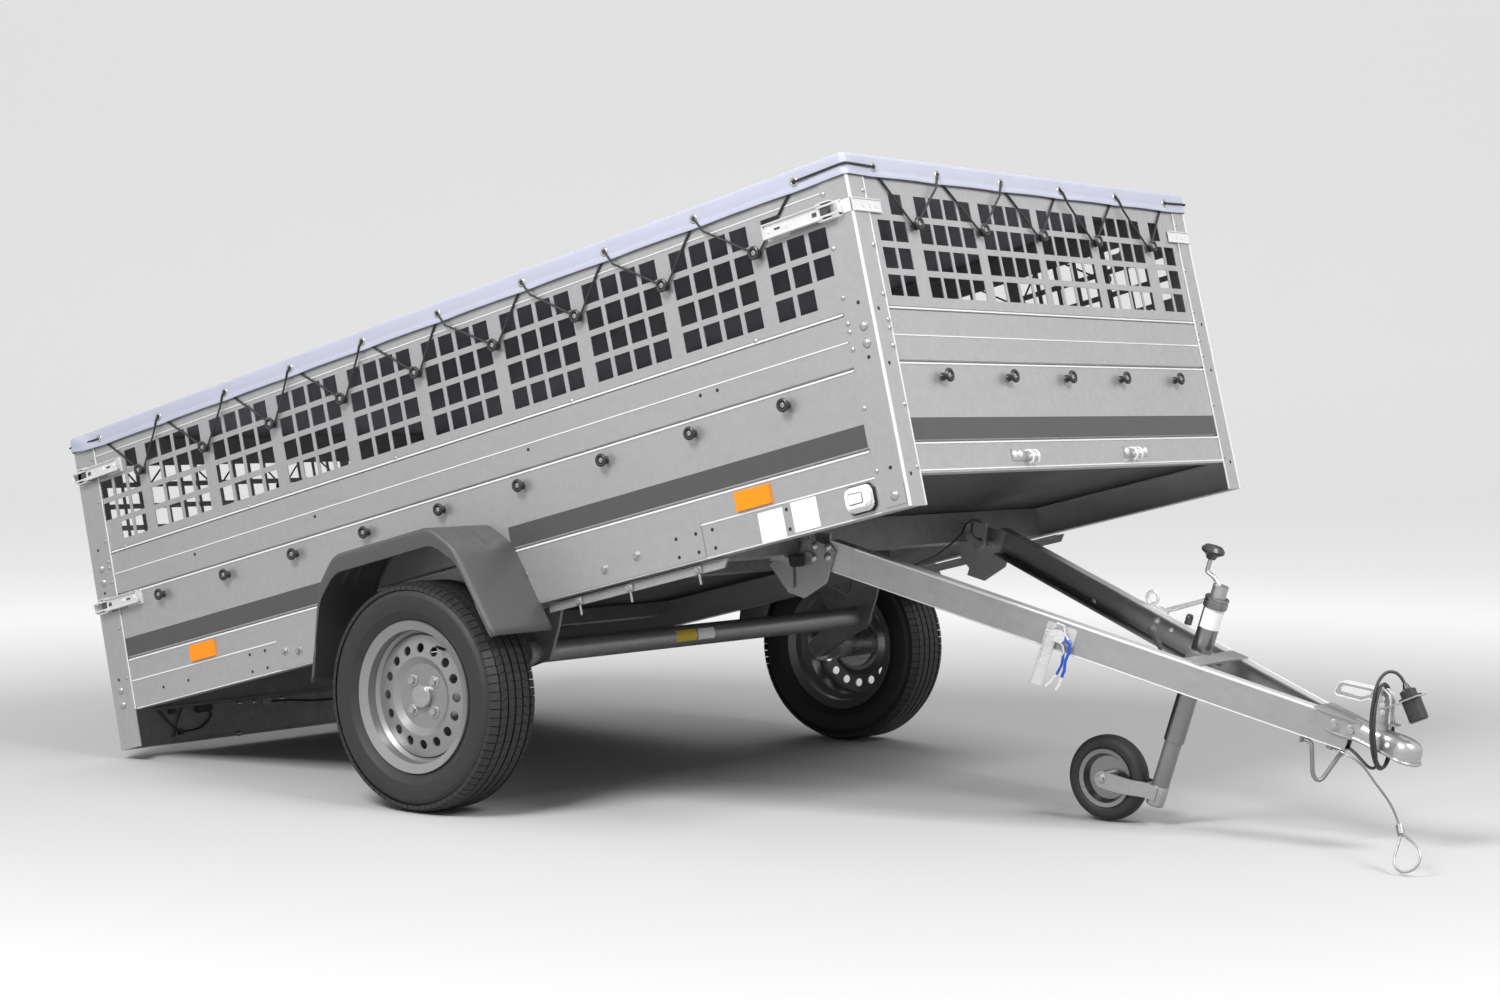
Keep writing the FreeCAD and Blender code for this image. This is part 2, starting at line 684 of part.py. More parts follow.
def end_windows():
    """Low corners of every window in a front or rear mesh board, in y and z."""
    middle, outer, last = END_KNOB_PLACES
    places = []
    for row, top in enumerate(row_tops()):
        low = top - HOLE_HEIGHT
        starts = [(middle + outer) / 2, (outer + last) / 2]
        group_half = ((GROUP_COLUMNS - 1) * END_HOLE_PITCH + HOLE_WIDTH) / 2
        across = []
        for centre in starts:
            across += [centre - group_half + column * END_HOLE_PITCH for column in range(GROUP_COLUMNS)]
        edge = last + 2 * END_KNOB_GAP
        across += [edge + column * END_HOLE_PITCH for column in range(END_OUTER_COLUMNS[row])]
        places += [(y, low) for y in across] + [(-y - HOLE_WIDTH, low) for y in across]
    return places


def side_mesh_board():
    """Left mesh board."""
    path = board_path(HALF_WIDTH, MESH_BOTTOM, MESH_TOP, [MESH_BOTTOM + MESH_CREASE], 1)
    sheet = prism_x(folded(path, BOARD_SHEET), BED_REAR, BED_FRONT)
    reach = 2 * BOARD_SHEET
    cutters = [box(x, x + HOLE_WIDTH, HALF_WIDTH - reach, HALF_WIDTH + reach, z, z + HOLE_HEIGHT)
               for x, z in side_windows()]
    return sheet.cut(Part.makeCompound(cutters))


def end_mesh_board(face, turn):
    """Mesh board across the front or the rear."""
    half = HALF_WIDTH - RAIL_FLANGE - TAILGATE_GAP
    path = board_path(face, MESH_BOTTOM, MESH_TOP, [MESH_BOTTOM + MESH_CREASE], turn)
    sheet = prism_y(folded(path, turn * BOARD_SHEET), -half, half)
    reach = 2 * BOARD_SHEET
    cutters = [box(face - reach, face + reach, y, y + HOLE_WIDTH, z, z + HOLE_HEIGHT)
               for y, z in end_windows()]
    return sheet.cut(Part.makeCompound(cutters))


def corner_post(face, turn, side_flange, bottom):
    """Left corner post, an angle outside the boards' ends."""
    outer = face + turn * POST_SHEET
    outline = [(outer - turn * side_flange, POST_FACE), (outer, POST_FACE),
               (outer, POST_FACE - POST_END_FLANGE), (face, POST_FACE - POST_END_FLANGE),
               (face, HALF_WIDTH), (outer - turn * side_flange, HALF_WIDTH)]
    return prism_z(outline, bottom, MESH_TOP)


def floor_panel():
    """Dark floor sheet on the rails."""
    half = HALF_WIDTH - 2 * BOARD_SHEET
    rear = BED_REAR + BOARD_HEM + 2 * TAILGATE_GAP
    return box(rear, BED_FRONT - 2 * BOARD_SHEET, -half, half, RAIL_TOP + BOARD_SHEET, FLOOR_TOP)


def cross_beam(front, depth, bottom):
    """Channel between the rails, open to the rear."""
    rear = front - depth
    path = [(rear, RAIL_TOP), (front, RAIL_TOP), (front, bottom), (rear, bottom)]
    half = HALF_WIDTH - RAIL_FLANGE
    return prism_y(folded(path, -RAIL_SHEET), -half, half)


def rear_sill():
    """Rear channel between the rails, open to the front."""
    front = BED_REAR + SILL_DEPTH
    path = [(front, RAIL_TOP), (BED_REAR, RAIL_TOP), (BED_REAR, RAIL_BOTTOM), (front, RAIL_BOTTOM)]
    half = HALF_WIDTH - RAIL_FLANGE
    return prism_y(folded(path, RAIL_SHEET), -half, half)


def frame_beams():
    """All cross-beams: the rear sill, two under the floor and the pivot beam."""
    under_floor = [cross_beam(front, BEAM_DEPTH, RAIL_TOP - BEAM_DEPTH) for front in UNDER_FLOOR_BEAMS]
    pivot = cross_beam(PIVOT_BEAM_FRONT, PIVOT_BEAM_DEPTH, RAIL_BOTTOM)
    return Part.makeCompound([rear_sill(), pivot] + under_floor)


def lamp_beam():
    """Beam under the rear sill that carries the rear lamps."""
    front = BED_REAR + LAMP_BEAM_FLANGE
    path = [(front, RAIL_BOTTOM), (BED_REAR, RAIL_BOTTOM),
            (BED_REAR, REAR_POST_BOTTOM), (front, REAR_POST_BOTTOM)]
    half = HALF_WIDTH - LAMP_BEAM_INSET
    return prism_y(folded(path, RAIL_SHEET), -half, half)


def octagon(x0, x1, z0, z1, corner):
    """Outline of a rectangle with its corners cut off."""
    return [(x0 + corner, z0), (x1 - corner, z0), (x1, z0 + corner), (x1, z1 - corner),
            (x1 - corner, z1), (x0 + corner, z1), (x0, z1 - corner), (x0, z0 + corner)]


def rear_lamp():
    """Left lamp cluster on the rear beam."""
    outer = HALF_WIDTH - REAR_LAMP_INSET
    low = REAR_LAMP_BOTTOM
    outline = octagon(outer - REAR_LAMP_LENGTH, outer, low, low + REAR_LAMP_HEIGHT, REAR_LAMP_CORNER)
    middle = BED_REAR - REAR_LAMP_BASE
    base = prism_x(outline, middle, BED_REAR)
    lens = prism_x(shrunk(outline, REAR_LAMP_RIM), middle - REAR_LAMP_LENS, middle)
    return fuse(base, lens)


def shrunk(outline, inset):
    """Give an outline moved inwards by one distance."""
    return offset_line(outline + outline[:1], inset)[:-1]


def marker_lamp():
    """Left front marker lamp on the rail."""
    front, low, face = BED_FRONT - MARKER_INSET, MARKER_BOTTOM, HALF_WIDTH + MARKER_BASE
    outline = octagon(front - MARKER_LENGTH, front, low, low + MARKER_HEIGHT, MARKER_CORNER)
    base = prism_y(outline, HALF_WIDTH, face)
    lens = prism_y(shrunk(outline, MARKER_RIM), face, face + MARKER_LENS)
    return fuse(base, lens)


def reflectors():
    """Side reflectors, two on each side."""
    low, plates = REFLECTOR_BOTTOM, []
    for middle in (BED_REAR + REFLECTOR_REAR_INSET, BED_FRONT - REFLECTOR_FRONT_INSET):
        start, end = middle - REFLECTOR_LENGTH / 2, middle + REFLECTOR_LENGTH / 2
        plate = box(start, end, HALF_WIDTH, HALF_WIDTH + REFLECTOR_PROUD, low, low + REFLECTOR_HEIGHT)
        plates.append(both_sides(plate))
    return Part.makeCompound(plates)


def cover_top():
    """Height of the cover's upper face."""
    return MESH_TOP + COVER_REST + COVER_SHEET


def cover():
    """Flat cover stretched over the boards, with a skirt all round."""
    half = POST_FACE + COVER_PROUD + COVER_SHEET
    front = BED_FRONT + POST_SHEET + COVER_PROUD + COVER_SHEET
    rear = BED_REAR - POST_SHEET - COVER_PROUD - COVER_SHEET
    top = cover_top()
    shell = box(rear, front, -half, half, MESH_TOP - COVER_SKIRT, top)
    inner = half - COVER_SHEET
    return shell.cut(box(rear + COVER_SHEET, front - COVER_SHEET, -inner, inner, 0, top - COVER_SHEET))


def knob(place, axis):
    """Black mushroom knob on a board."""
    profile = [(0, 0), (KNOB_STEM_RADIUS, 0), (KNOB_STEM_RADIUS, KNOB_HEIGHT * 0.5),
               (KNOB_RADIUS, KNOB_HEIGHT * 0.6), (KNOB_RADIUS, KNOB_HEIGHT * 0.8),
               (KNOB_STEM_RADIUS, KNOB_HEIGHT), (0, KNOB_HEIGHT)]
    return lathe(profile, place, axis)


def knob_levels():
    """Heights of the lower and the upper row of knobs."""
    return RAIL_TOP + KNOB_LOWER_HEIGHT, MESH_BOTTOM + KNOB_UPPER_HEIGHT


def side_knobs():
    """Both rows of knobs on the left side."""
    half = SIDE_KNOB_COUNT // 2
    places = [SIDE_KNOB_MIDDLE + SIDE_KNOB_PITCH * step for step in range(-half, half + 1)]
    return Part.makeCompound([knob((x, HALF_WIDTH, z), (0, 1, 0)) for z in knob_levels() for x in places])


def end_knobs(face, turn, level):
    """One row of knobs across the front or the rear."""
    places = sorted({sign * y for y in END_KNOB_PLACES for sign in (-1, 1)})
    return Part.makeCompound([knob((face, y, level), (turn, 0, 0)) for y in places])


def draw_latch(catch_x, body_x, level):
    """Left draw latch: base plate and closed lever whose bail reaches to the catch."""
    turn = 1 if body_x > catch_x else -1
    low, high = level - LATCH_HEIGHT / 2, level + LATCH_HEIGHT / 2
    lever_in = POST_FACE + LATCH_SLACK
    base = box(body_x - turn * LATCH_BASE_LENGTH, body_x, HALF_WIDTH, lever_in, low, high)
    lever = box(catch_x + turn * LATCH_LEVER_GAP, body_x, lever_in, lever_in + LATCH_LEVER_DEPTH,
                low + LATCH_LEVER_INSET, high - LATCH_LEVER_INSET)
    near, far = catch_x + turn * 2 * LATCH_BAIL, catch_x + turn * LATCH_BASE_LENGTH
    out, inset = lever_in + LATCH_BAIL, LATCH_BAIL_INSET
    foot, head = low + inset, high - inset
    bail = [(far, out, foot), (near, out, foot), (near, out, head), (far, out, head)]
    return fuse(base, lever, bent_rod(bail, LATCH_BAIL, LATCH_BAIL_BEND))


def latch_catch(face, turn, level):
    """Left catch plate wrapped round a corner for a draw latch."""
    low, high = level - LATCH_CATCH_HALF, level + LATCH_CATCH_HALF
    outer, side = face + turn * POST_SHEET, POST_FACE + LATCH_CATCH_SHEET
    end = box(outer, outer + turn * LATCH_CATCH_SHEET, POST_FACE - LATCH_CATCH_INNER, side, low, high)
    return fuse(end, box(outer, outer - turn * LATCH_CATCH_SIDE, POST_FACE, side, low, high))


def front_hooks():
    """Bright hooks on the front board that the drawbar latches hold."""
    face, low, level = BED_FRONT + HOOK_PLATE_SHEET, HOOK_PLATE_BOTTOM, HOOK_LEVEL
    out, start, end = BED_FRONT + HOOK_REACH, HOOK_PLACE - HOOK_HALF, HOOK_PLACE + HOOK_HALF
    plate = box(BED_FRONT, face, HOOK_PLACE - HOOK_PLATE_HALF, HOOK_PLACE + HOOK_PLATE_HALF, low,
                low + HOOK_PLATE_HEIGHT)
    line = [(face, start, level), (out, start, level), (out, end, level), (face, end, level)]
    return both_sides(fuse(plate, bent_rod(line, HOOK_ROD, HOOK_BEND)))


# Running gear


def fender():
    """Left fender: a thin angular arch with a lip down its outer face."""
    inner_face, outer_face = HALF_WIDTH, HALF_WIDTH + FENDER_WIDTH
    arch = prism_y(folded(FENDER_OUTLINE, -FENDER_SHEET), inner_face, outer_face)
    lip_outline = list(FENDER_OUTLINE) + list(FENDER_OPENING)[::-1]
    lip = prism_y(lip_outline, outer_face - FENDER_SHEET, outer_face)
    flange = offset_line(FENDER_OUTLINE, -FENDER_FOOT)
    foot = prism_y(list(FENDER_OUTLINE) + flange[::-1], inner_face, inner_face + FENDER_SHEET)
    return fuse(arch, lip, foot)


def axle_tube():
    """Torsion axle tube across the trailer."""
    start = (AXLE_AHEAD, -AXLE_HALF_LENGTH, AXLE_ABOVE)
    end = (AXLE_AHEAD, AXLE_HALF_LENGTH, AXLE_ABOVE)
    return tube(AXLE_TUBE_RADIUS, AXLE_TUBE_RADIUS - AXLE_TUBE_WALL, start, end)


def axle_plate():
    """Left plate that hangs the axle tube from the rail."""
    outer = AXLE_HALF_LENGTH - AXLE_PLATE_INSET
    inner = outer - AXLE_PLATE
    rear, front = AXLE_AHEAD - AXLE_PLATE_REAR, AXLE_AHEAD + AXLE_PLATE_FRONT
    outline = [(rear, RAIL_BOTTOM), (front, RAIL_BOTTOM)]
    outline += [(AXLE_AHEAD + x, AXLE_ABOVE + z) for x, z in AXLE_PLATE_LOWER]
    plate = prism_y(outline, inner, outer)
    hole = rod(AXLE_TUBE_RADIUS, (AXLE_AHEAD, inner, AXLE_ABOVE), (AXLE_AHEAD, outer, AXLE_ABOVE))
    foot = box(rear, front, inner, HALF_WIDTH - RAIL_SHEET, RAIL_BOTTOM - AXLE_PLATE_FOOT, RAIL_BOTTOM)
    return fuse(plate.cut(hole), foot)


def swing_arm():
    """Left swing arm from the tube's core to the stub axle, with the stub."""
    inner = AXLE_HALF_LENGTH + SWING_ARM_GAP
    outer = inner + SWING_ARM
    x, z = AXLE_AHEAD, AXLE_ABOVE
    lean = math.atan2(z, x)
    up_x, up_z = -math.sin(lean), math.cos(lean)
    big, small = SWING_ARM_CORE_RADIUS, SWING_ARM_STUB_RADIUS
    plate = prism_y([(x + big * up_x, z + big * up_z), (small * up_x, small * up_z),
                     (-small * up_x, -small * up_z), (x - big * up_x, z - big * up_z)], inner, outer)
    core = rod(big, (x, inner, z), (x, outer, z))
    end = rod(small, (0, inner, 0), (0, outer, 0))
    pin = rod(AXLE_TUBE_RADIUS - AXLE_TUBE_WALL, (x, inner - CORE_PIN_LENGTH, z), (x, inner, z))
    stub = rod(STUB_RADIUS, (0, outer, 0), (0, hub_face() - HUB_FLANGE - STUB_END_GAP, 0))
    return fuse(plate, core, end, pin, stub)


def hub_face():
    """Distance from the middle plane to the face that the wheel is bolted to."""
    return HALF_TRACK + RIM_WIDTH / 2 - RIM_DISC_INSET - RIM_SHEET


def hub():
    """Left hub that turns on the stub axle."""
    face = hub_face()
    bore = STUB_RADIUS + PIN_CLEARANCE
    rear = AXLE_HALF_LENGTH + SWING_ARM_GAP + SWING_ARM + HUB_REAR_GAP
    step = face - HUB_FLANGE
    room = step - HUB_CAP_ROOM
    cap = face + RIM_SHEET + HUB_CAP_PROUD
    profile = [(bore, rear), (HUB_RADIUS, rear), (HUB_RADIUS, step), (HUB_FLANGE_RADIUS, step),
               (HUB_FLANGE_RADIUS, face), (HUB_CAP_RADIUS, face), (HUB_CAP_RADIUS, cap - HUB_CAP_BEVEL),
               (HUB_CAP_RADIUS - HUB_CAP_BEVEL, cap), (0, cap), (0, room), (bore, room)]
    return lathe(profile, (0, 0, 0), (0, 1, 0))


def rim():
    """Left pressed wheel: barrel, flanges and a vented disc."""
    half, bead = RIM_WIDTH / 2, TYRE_BEAD_RADIUS
    inward = [(bead - depth + lip * RIM_LIP, -half + step) for step, depth, lip in RIM_STEPS]
    barrel = inward + [(radius, -height) for radius, height in inward[::-1]]
    shell = lathe([(r, HALF_TRACK + h) for r, h in folded(barrel, RIM_SHEET)], (0, 0, 0), (0, 1, 0))
    face = hub_face()
    disc_line = [(HUB_CAP_RADIUS, face), (bead - DISC_FLAT_INSET, face),
                 (bead - DISC_RING_INSET, face + DISC_RING_PROUD),
                 (bead - DISC_EDGE_INSET, face + DISC_EDGE_PROUD),
                 (bead - DISC_WELD_DEPTH - RIM_SHEET, face - DISC_WELD_BACK)]
    disc = lathe(folded(disc_line, RIM_SHEET), (0, 0, 0), (0, 1, 0))
    vents = []
    for index in range(VENT_COUNT):
        angle = 2 * math.pi * (index + 0.5) / VENT_COUNT
        x, z = VENT_CIRCLE * math.cos(angle), VENT_CIRCLE * math.sin(angle)
        vents.append(rod(VENT_RADIUS, (x, face - VENT_REACH, z), (x, face + VENT_REACH, z)))
    return fuse(shell, disc.cut(Part.makeCompound(vents)))


def tyre():
    """Left tyre with a flat tread and rounded shoulders."""
    half, foot = TYRE_WIDTH / 2, RIM_WIDTH / 2 - TYRE_FOOT_INSET
    inner = [(TYRE_BEAD_RADIUS + RIM_SHEET * 0.2, foot)]
    near, far = TYRE_FOOT_STEPS
    inner += [(RIM_FLANGE_RADIUS + near[0], foot - near[1]), (RIM_FLANGE_RADIUS + far[0], half - far[1] / 2)]
    outer = [(TYRE_RADIUS - depth, half - inset) for depth, inset in TYRE_SHOULDER]
    profile = inner + outer
    both = [(radius, -height) for radius, height in profile] + profile[::-1]
    return lathe([(r, HALF_TRACK + h) for r, h in both], (0, 0, 0), (0, 1, 0))


# Tipping pivot on the bed


def pivot_ear():
    """Left ear on the pivot beam that holds the pivot bolt."""
    start, end, front = EAR_FACE, EAR_FACE + EAR_SHEET, PIVOT_BEAM_FRONT
    low, high = RAIL_BOTTOM + EAR_REAR_RISE, RAIL_TOP - EAR_TOP_DROP
    outline = [(front, high), (PIVOT_X + EAR_FRONT, RAIL_TOP - EAR_FRONT_DROP),
               (PIVOT_X + EAR_ROUND, PIVOT_Z), (PIVOT_X - EAR_ROUND, PIVOT_Z), (front, low)]
    window = [(front + x, RAIL_BOTTOM + z) for x, z in EAR_WINDOW]
    plate = prism_y(outline, start, end).cut(prism_y(window, start, end))
    tip = rod(EAR_ROUND, (PIVOT_X, start, PIVOT_Z), (PIVOT_X, end, PIVOT_Z))
    foot = box(front, front + EAR_SHEET, start, start + EAR_FOOT, low, high)
    hole = rod(PIVOT_PIN_RADIUS + PIN_CLEARANCE, (PIVOT_X, start, PIVOT_Z), (PIVOT_X, end, PIVOT_Z))
    return fuse(plate, tip, foot).cut(hole)


def tip_stop():
    """Left stop bracket behind the drawbar shoe."""
    inner = SHOE_FACE + SHOE_SHEET + TIP_STOP_GAP
    outline = [(TIP_STOP_REAR, RAIL_BOTTOM), (TIP_STOP_FRONT, RAIL_BOTTOM)] + list(TIP_STOP_LOWER)
    plate = prism_y(outline, inner, inner + EAR_SHEET)
    foot = box(TIP_STOP_REAR, TIP_STOP_FRONT, inner, inner + TIP_STOP_FOOT,
               RAIL_BOTTOM - EAR_SHEET, RAIL_BOTTOM)
    return fuse(plate, foot)


# Drawbar, in the drawbar frame


def arm_web(x):
    """Distance from the middle plane to an arm's web, at a place along the drawbar."""
    return ARM_REAR_HALF_WIDTH - (x - ARM_REAR) * math.tan(math.radians(ARM_SPLAY))


def arm():
    """Left drawbar arm, a channel open to the middle."""
    length = (ARM_FRONT - ARM_REAR) / math.cos(math.radians(ARM_SPLAY))
    path = [(-ARM_FLANGE, ARM_BOTTOM), (0, ARM_BOTTOM), (0, ARM_TOP), (-ARM_FLANGE, ARM_TOP)]
    channel = on_arm(prism_x(folded(path, ARM_SHEET), -ARM_SPARE, length + ARM_SPARE))
    return channel.common(box(ARM_REAR, ARM_FRONT, 0, SHOE_FACE, ARM_BOTTOM, ARM_TOP))


def shoe():
    """Left shoe plate bolted to the arm's rear end and hung on the pivot bolt."""
    face = SHOE_FACE
    plate = prism_y(SHOE_OUTLINE, face, face + SHOE_SHEET)
    hole = rod(PIVOT_PIN_RADIUS, (0, face, 0), (0, face + SHOE_SHEET, 0))
    return plate.cut(hole)


def pivot_bolt():
    """Left pivot bolt with its spacer, held in the shoe."""
    face, ear = SHOE_FACE, EAR_FACE + EAR_SHEET
    pin = rod(PIVOT_PIN_RADIUS, (0, EAR_FACE - PIN_END, 0), (0, face + SHOE_SHEET, 0))
    spacer = rod(SPACER_RADIUS, (0, ear + BOLT_GAP, 0), (0, face, 0))
    head = rod(BOLT_HEAD_RADIUS, (0, face + SHOE_SHEET, 0), (0, face + SHOE_SHEET + BOLT_HEAD, 0))
    nut = rod(BOLT_HEAD_RADIUS, (0, EAR_FACE - NUT_END, 0), (0, EAR_FACE - BOLT_GAP, 0))
    return fuse(pin, spacer, head, nut)


def coupling_head():
    """Ball coupling: tapered neck over the arms' ends and a domed socket."""
    half, wide, low = NECK_HALF_WIDTH, NECK_HALF_WIDTH + NECK_FLARE, SOCKET_BOTTOM
    neck = prism_z([(ARM_FRONT, -half), (BALL_CENTRE_X, -wide), (BALL_CENTRE_X, wide), (ARM_FRONT, half)],
                   low, SOCKET_TOP - NECK_TOP_DROP)
    lap = ARM_FRONT + SADDLE_LAP
    bridge = box(ARM_FRONT, lap, -half, half, SOCKET_TOP - BRIDGE_DEPTH, ARM_TOP)
    profile = [(0, low), (SOCKET_RADIUS, low)]
    profile += [(SOCKET_RADIUS - inset, height) for inset, height in SOCKET_DOME] + [(0, SOCKET_TOP)]
    dome = lathe(profile, (BALL_CENTRE_X, 0, 0), (0, 0, 1))
    centre = (BALL_CENTRE_X, 0, BALL_CENTRE_Z)
    ball = Part.makeSphere(BALL_BORE_RADIUS, Vector(*centre))
    mouth = rod(BALL_BORE_RADIUS, (BALL_CENTRE_X, 0, low), centre)
    hollow = box(ARM_FRONT + NECK_SHEET, BALL_CENTRE_X - SOCKET_RADIUS, NECK_SHEET - half, half - NECK_SHEET,
                 low, SOCKET_TOP - NECK_ROOF)
    shell = fuse(neck, saddle(), bridge, dome, cheek(), mirrored(cheek()))
    return shell.cut(Part.makeCompound([ball, mouth, hollow]))


def cheek():
    """Left cheek of the coupling, bolted on the outside of an arm's front end."""
    end = (ARM_FRONT - ARM_REAR) / math.cos(math.radians(ARM_SPLAY))
    outline = [(end + x, z) for x, z in CHEEK_LINE]
    outline += [(end, ARM_TOP), (end + CHEEK_LINE[0][0], ARM_TOP)]
    return on_arm(prism_y(outline, 0, NECK_SHEET))


def saddle():
    """Tapered plate of the coupling on top of the arms' front ends."""
    rear, shoulder, lap = ARM_FRONT - SADDLE_REAR, ARM_FRONT - SADDLE_SHOULDER, ARM_FRONT + SADDLE_LAP
    half, wide = NECK_HALF_WIDTH, SADDLE_HALF_WIDTH
    outline = [(rear, -wide), (shoulder, -wide), (lap, -half), (lap, half), (shoulder, wide), (rear, wide)]
    return prism_z(outline, ARM_TOP, ARM_TOP + NECK_SHEET)


def coupling_handle():
    """Grip of the coupling with its upright."""
    return fuse(prism_y(HANDLE_OUTLINE, -HANDLE_HALF_WIDTH, HANDLE_HALF_WIDTH), plug_holder())


def support_loop():
    """Steel loop under the arms' front ends."""
    top, half = ARM_BOTTOM - LOOP_GAP, LOOP_HALF_WIDTH
    points = [(LOOP_PLACE, half, top), (LOOP_PLACE, 0, LOOP_LOWEST), (LOOP_PLACE, -half, top)]
    return Part.makeCompound([bent_rod(points, LOOP_ROD, LOOP_BEND), wire_clip()])


def wire_clip():
    """Clip under the arms' front end that holds the safety wire's start."""
    x, y, z = SAFETY_WIRE_ROUTE[0]
    run, rise = x - PIVOT_GROUND_X, z - PIVOT_GROUND_Z
    front = run * COS_BAR - rise * SIN_BAR
    low = run * SIN_BAR + rise * COS_BAR - WIRE_CLIP_HALF / 2
    return box(front - WIRE_CLIP_LENGTH, front, y - WIRE_CLIP_HALF, y + WIRE_CLIP_HALF, low, ARM_BOTTOM)


def on_arm(solid):
    """Move a piece from the arm's own line to the left arm: x along it, y out of its web."""
    moved = solid.copy()
    moved.rotate(Vector(0, 0, 0), Vector(0, 0, 1), -ARM_SPLAY)
    moved.translate(Vector(ARM_REAR, ARM_REAR_HALF_WIDTH, 0))
    return moved


def arm_latch_base(top):
    """Base plate of an arm's latch, up to one level."""
    start = ARM_LATCH_START
    return box(start, start + ARM_LATCH_LENGTH, 0, ARM_LATCH_SHEET, ARM_LATCH_BOTTOM, top)


def arm_latch_open():
    """Open latch on an arm's web, its blade hanging down."""
    x0, x1, z0, z1 = OPEN_LATCH_CHEEK
    cheeks = [box(x0, x1, y, y + ARM_LATCH_SHEET, z0, z1) for y in OPEN_LATCH_CHEEK_FACES]
    face = OPEN_LATCH_BLADE_FACE
    blade = prism_y(OPEN_LATCH_BLADE, face, face + OPEN_LATCH_BLADE_SHEET)
    x, z = OPEN_LATCH_PIVOT
    pivot = rod(OPEN_LATCH_PIVOT_RADIUS, (x, ARM_LATCH_SHEET, z), (x, OPEN_LATCH_PIVOT_END, z))
    return on_arm(fuse(arm_latch_base(OPEN_LATCH_TOP), *cheeks, blade, pivot))


def arm_latch_closed():
    """Closed latch on an arm's web, its lever raised and its ring over the arm."""
    x0, x1, z0, z1 = CLOSED_LATCH_CHEEK
    cheek = box(x0, x1, ARM_LATCH_SHEET, CLOSED_LATCH_CHEEK_END, z0, z1)
    lever = prism_y(CLOSED_LATCH_LEVER, ARM_LATCH_SHEET, CLOSED_LATCH_LEVER_END)
    x, z = CLOSED_LATCH_RING
    ring = Part.makeTorus(CLOSED_LATCH_RING_RADIUS, CLOSED_LATCH_RING_ROD, Vector(x, 0, z), Vector(0, 1, 0))
    return on_arm(fuse(arm_latch_base(CLOSED_LATCH_TOP), cheek, lever, ring))


# Jockey wheel, in the drawbar frame


def clamp():
    """Clamp that holds the jockey column between the arms."""
    top = ARM_TOP + CLAMP_PLATE
    half = arm_web(CLAMP_STRIP_FRONT) - ARM_SHEET
    plate = box(CLAMP_STRIP_REAR, CLAMP_STRIP_FRONT, -half, half, ARM_TOP, top)
    collar = rod(CLAMP_RADIUS, (COLUMN_X, 0, CLAMP_BOTTOM), (COLUMN_X, 0, top))
    tab = box(COLUMN_X + CLAMP_TAB_START, CLAMP_STRIP_FRONT, -CLAMP_TAB_HALF, CLAMP_TAB_HALF,
              ARM_TOP - CLAMP_TAB_DEPTH, top)
    bore = rod(OUTER_TUBE_RADIUS + PIN_CLEARANCE, (COLUMN_X, 0, 0), (COLUMN_X, 0, top))
    return fuse(plate, collar, tab).cut(bore)


def clamp_lever():
    """Lever that tightens the clamp."""
    points = [(COLUMN_X - back, y, z) for back, y, z in CLAMP_SCREW]
    back, y, z = CLAMP_GRIP_END
    grip = rod(CLAMP_GRIP_RADIUS, points[-1], (COLUMN_X - back, y, z))
    return fuse(bent_rod(points, CLAMP_SCREW_RADIUS, CLAMP_SCREW_BEND), grip)


def outer_tube():
    """Outer tube of the jockey column with its top collar."""
    low, top = (COLUMN_X, 0, OUTER_TUBE_BOTTOM), (COLUMN_X, 0, OUTER_TUBE_TOP)
    cap = rod(TOP_CAP_RADIUS, top, (COLUMN_X, 0, crank_base()))
    return fuse(tube(OUTER_TUBE_RADIUS, OUTER_TUBE_BORE, low, top), cap)


def crank_base():
    """Height at which the crank stands on the jockey column."""
    return OUTER_TUBE_TOP + TOP_CAP


def crank():
    """Crank on top of the jockey column with its black knob left off."""
    base = crank_base()
    head = rod(CRANK_HEAD_RADIUS, (COLUMN_X, 0, base), (COLUMN_X, 0, base + CRANK_HEAD))
    line = [(COLUMN_X - back, 0, base + rise) for back, rise in CRANK_LINE]
    return fuse(head, bent_rod(line, CRANK_ROD, CRANK_BEND))


def crank_knob():
    """Mushroom knob on the crank."""
    back, rise = CRANK_LINE[-1]
    return lathe(CRANK_KNOB_PROFILE, (COLUMN_X - back, 0, crank_base() + rise), (0, 0, 1))


def inner_tube():
    """Inner tube that slides in the outer one, with the cap that holds the fork."""
    bottom = JOCKEY_Z - FORK_DROP
    stem = rod(INNER_TUBE_RADIUS, (COLUMN_X, 0, bottom), (COLUMN_X, 0, INNER_TUBE_TOP))
    return fuse(stem, rod(INNER_CAP_RADIUS, (COLUMN_X, 0, bottom - INNER_CAP), (COLUMN_X, 0, bottom)))


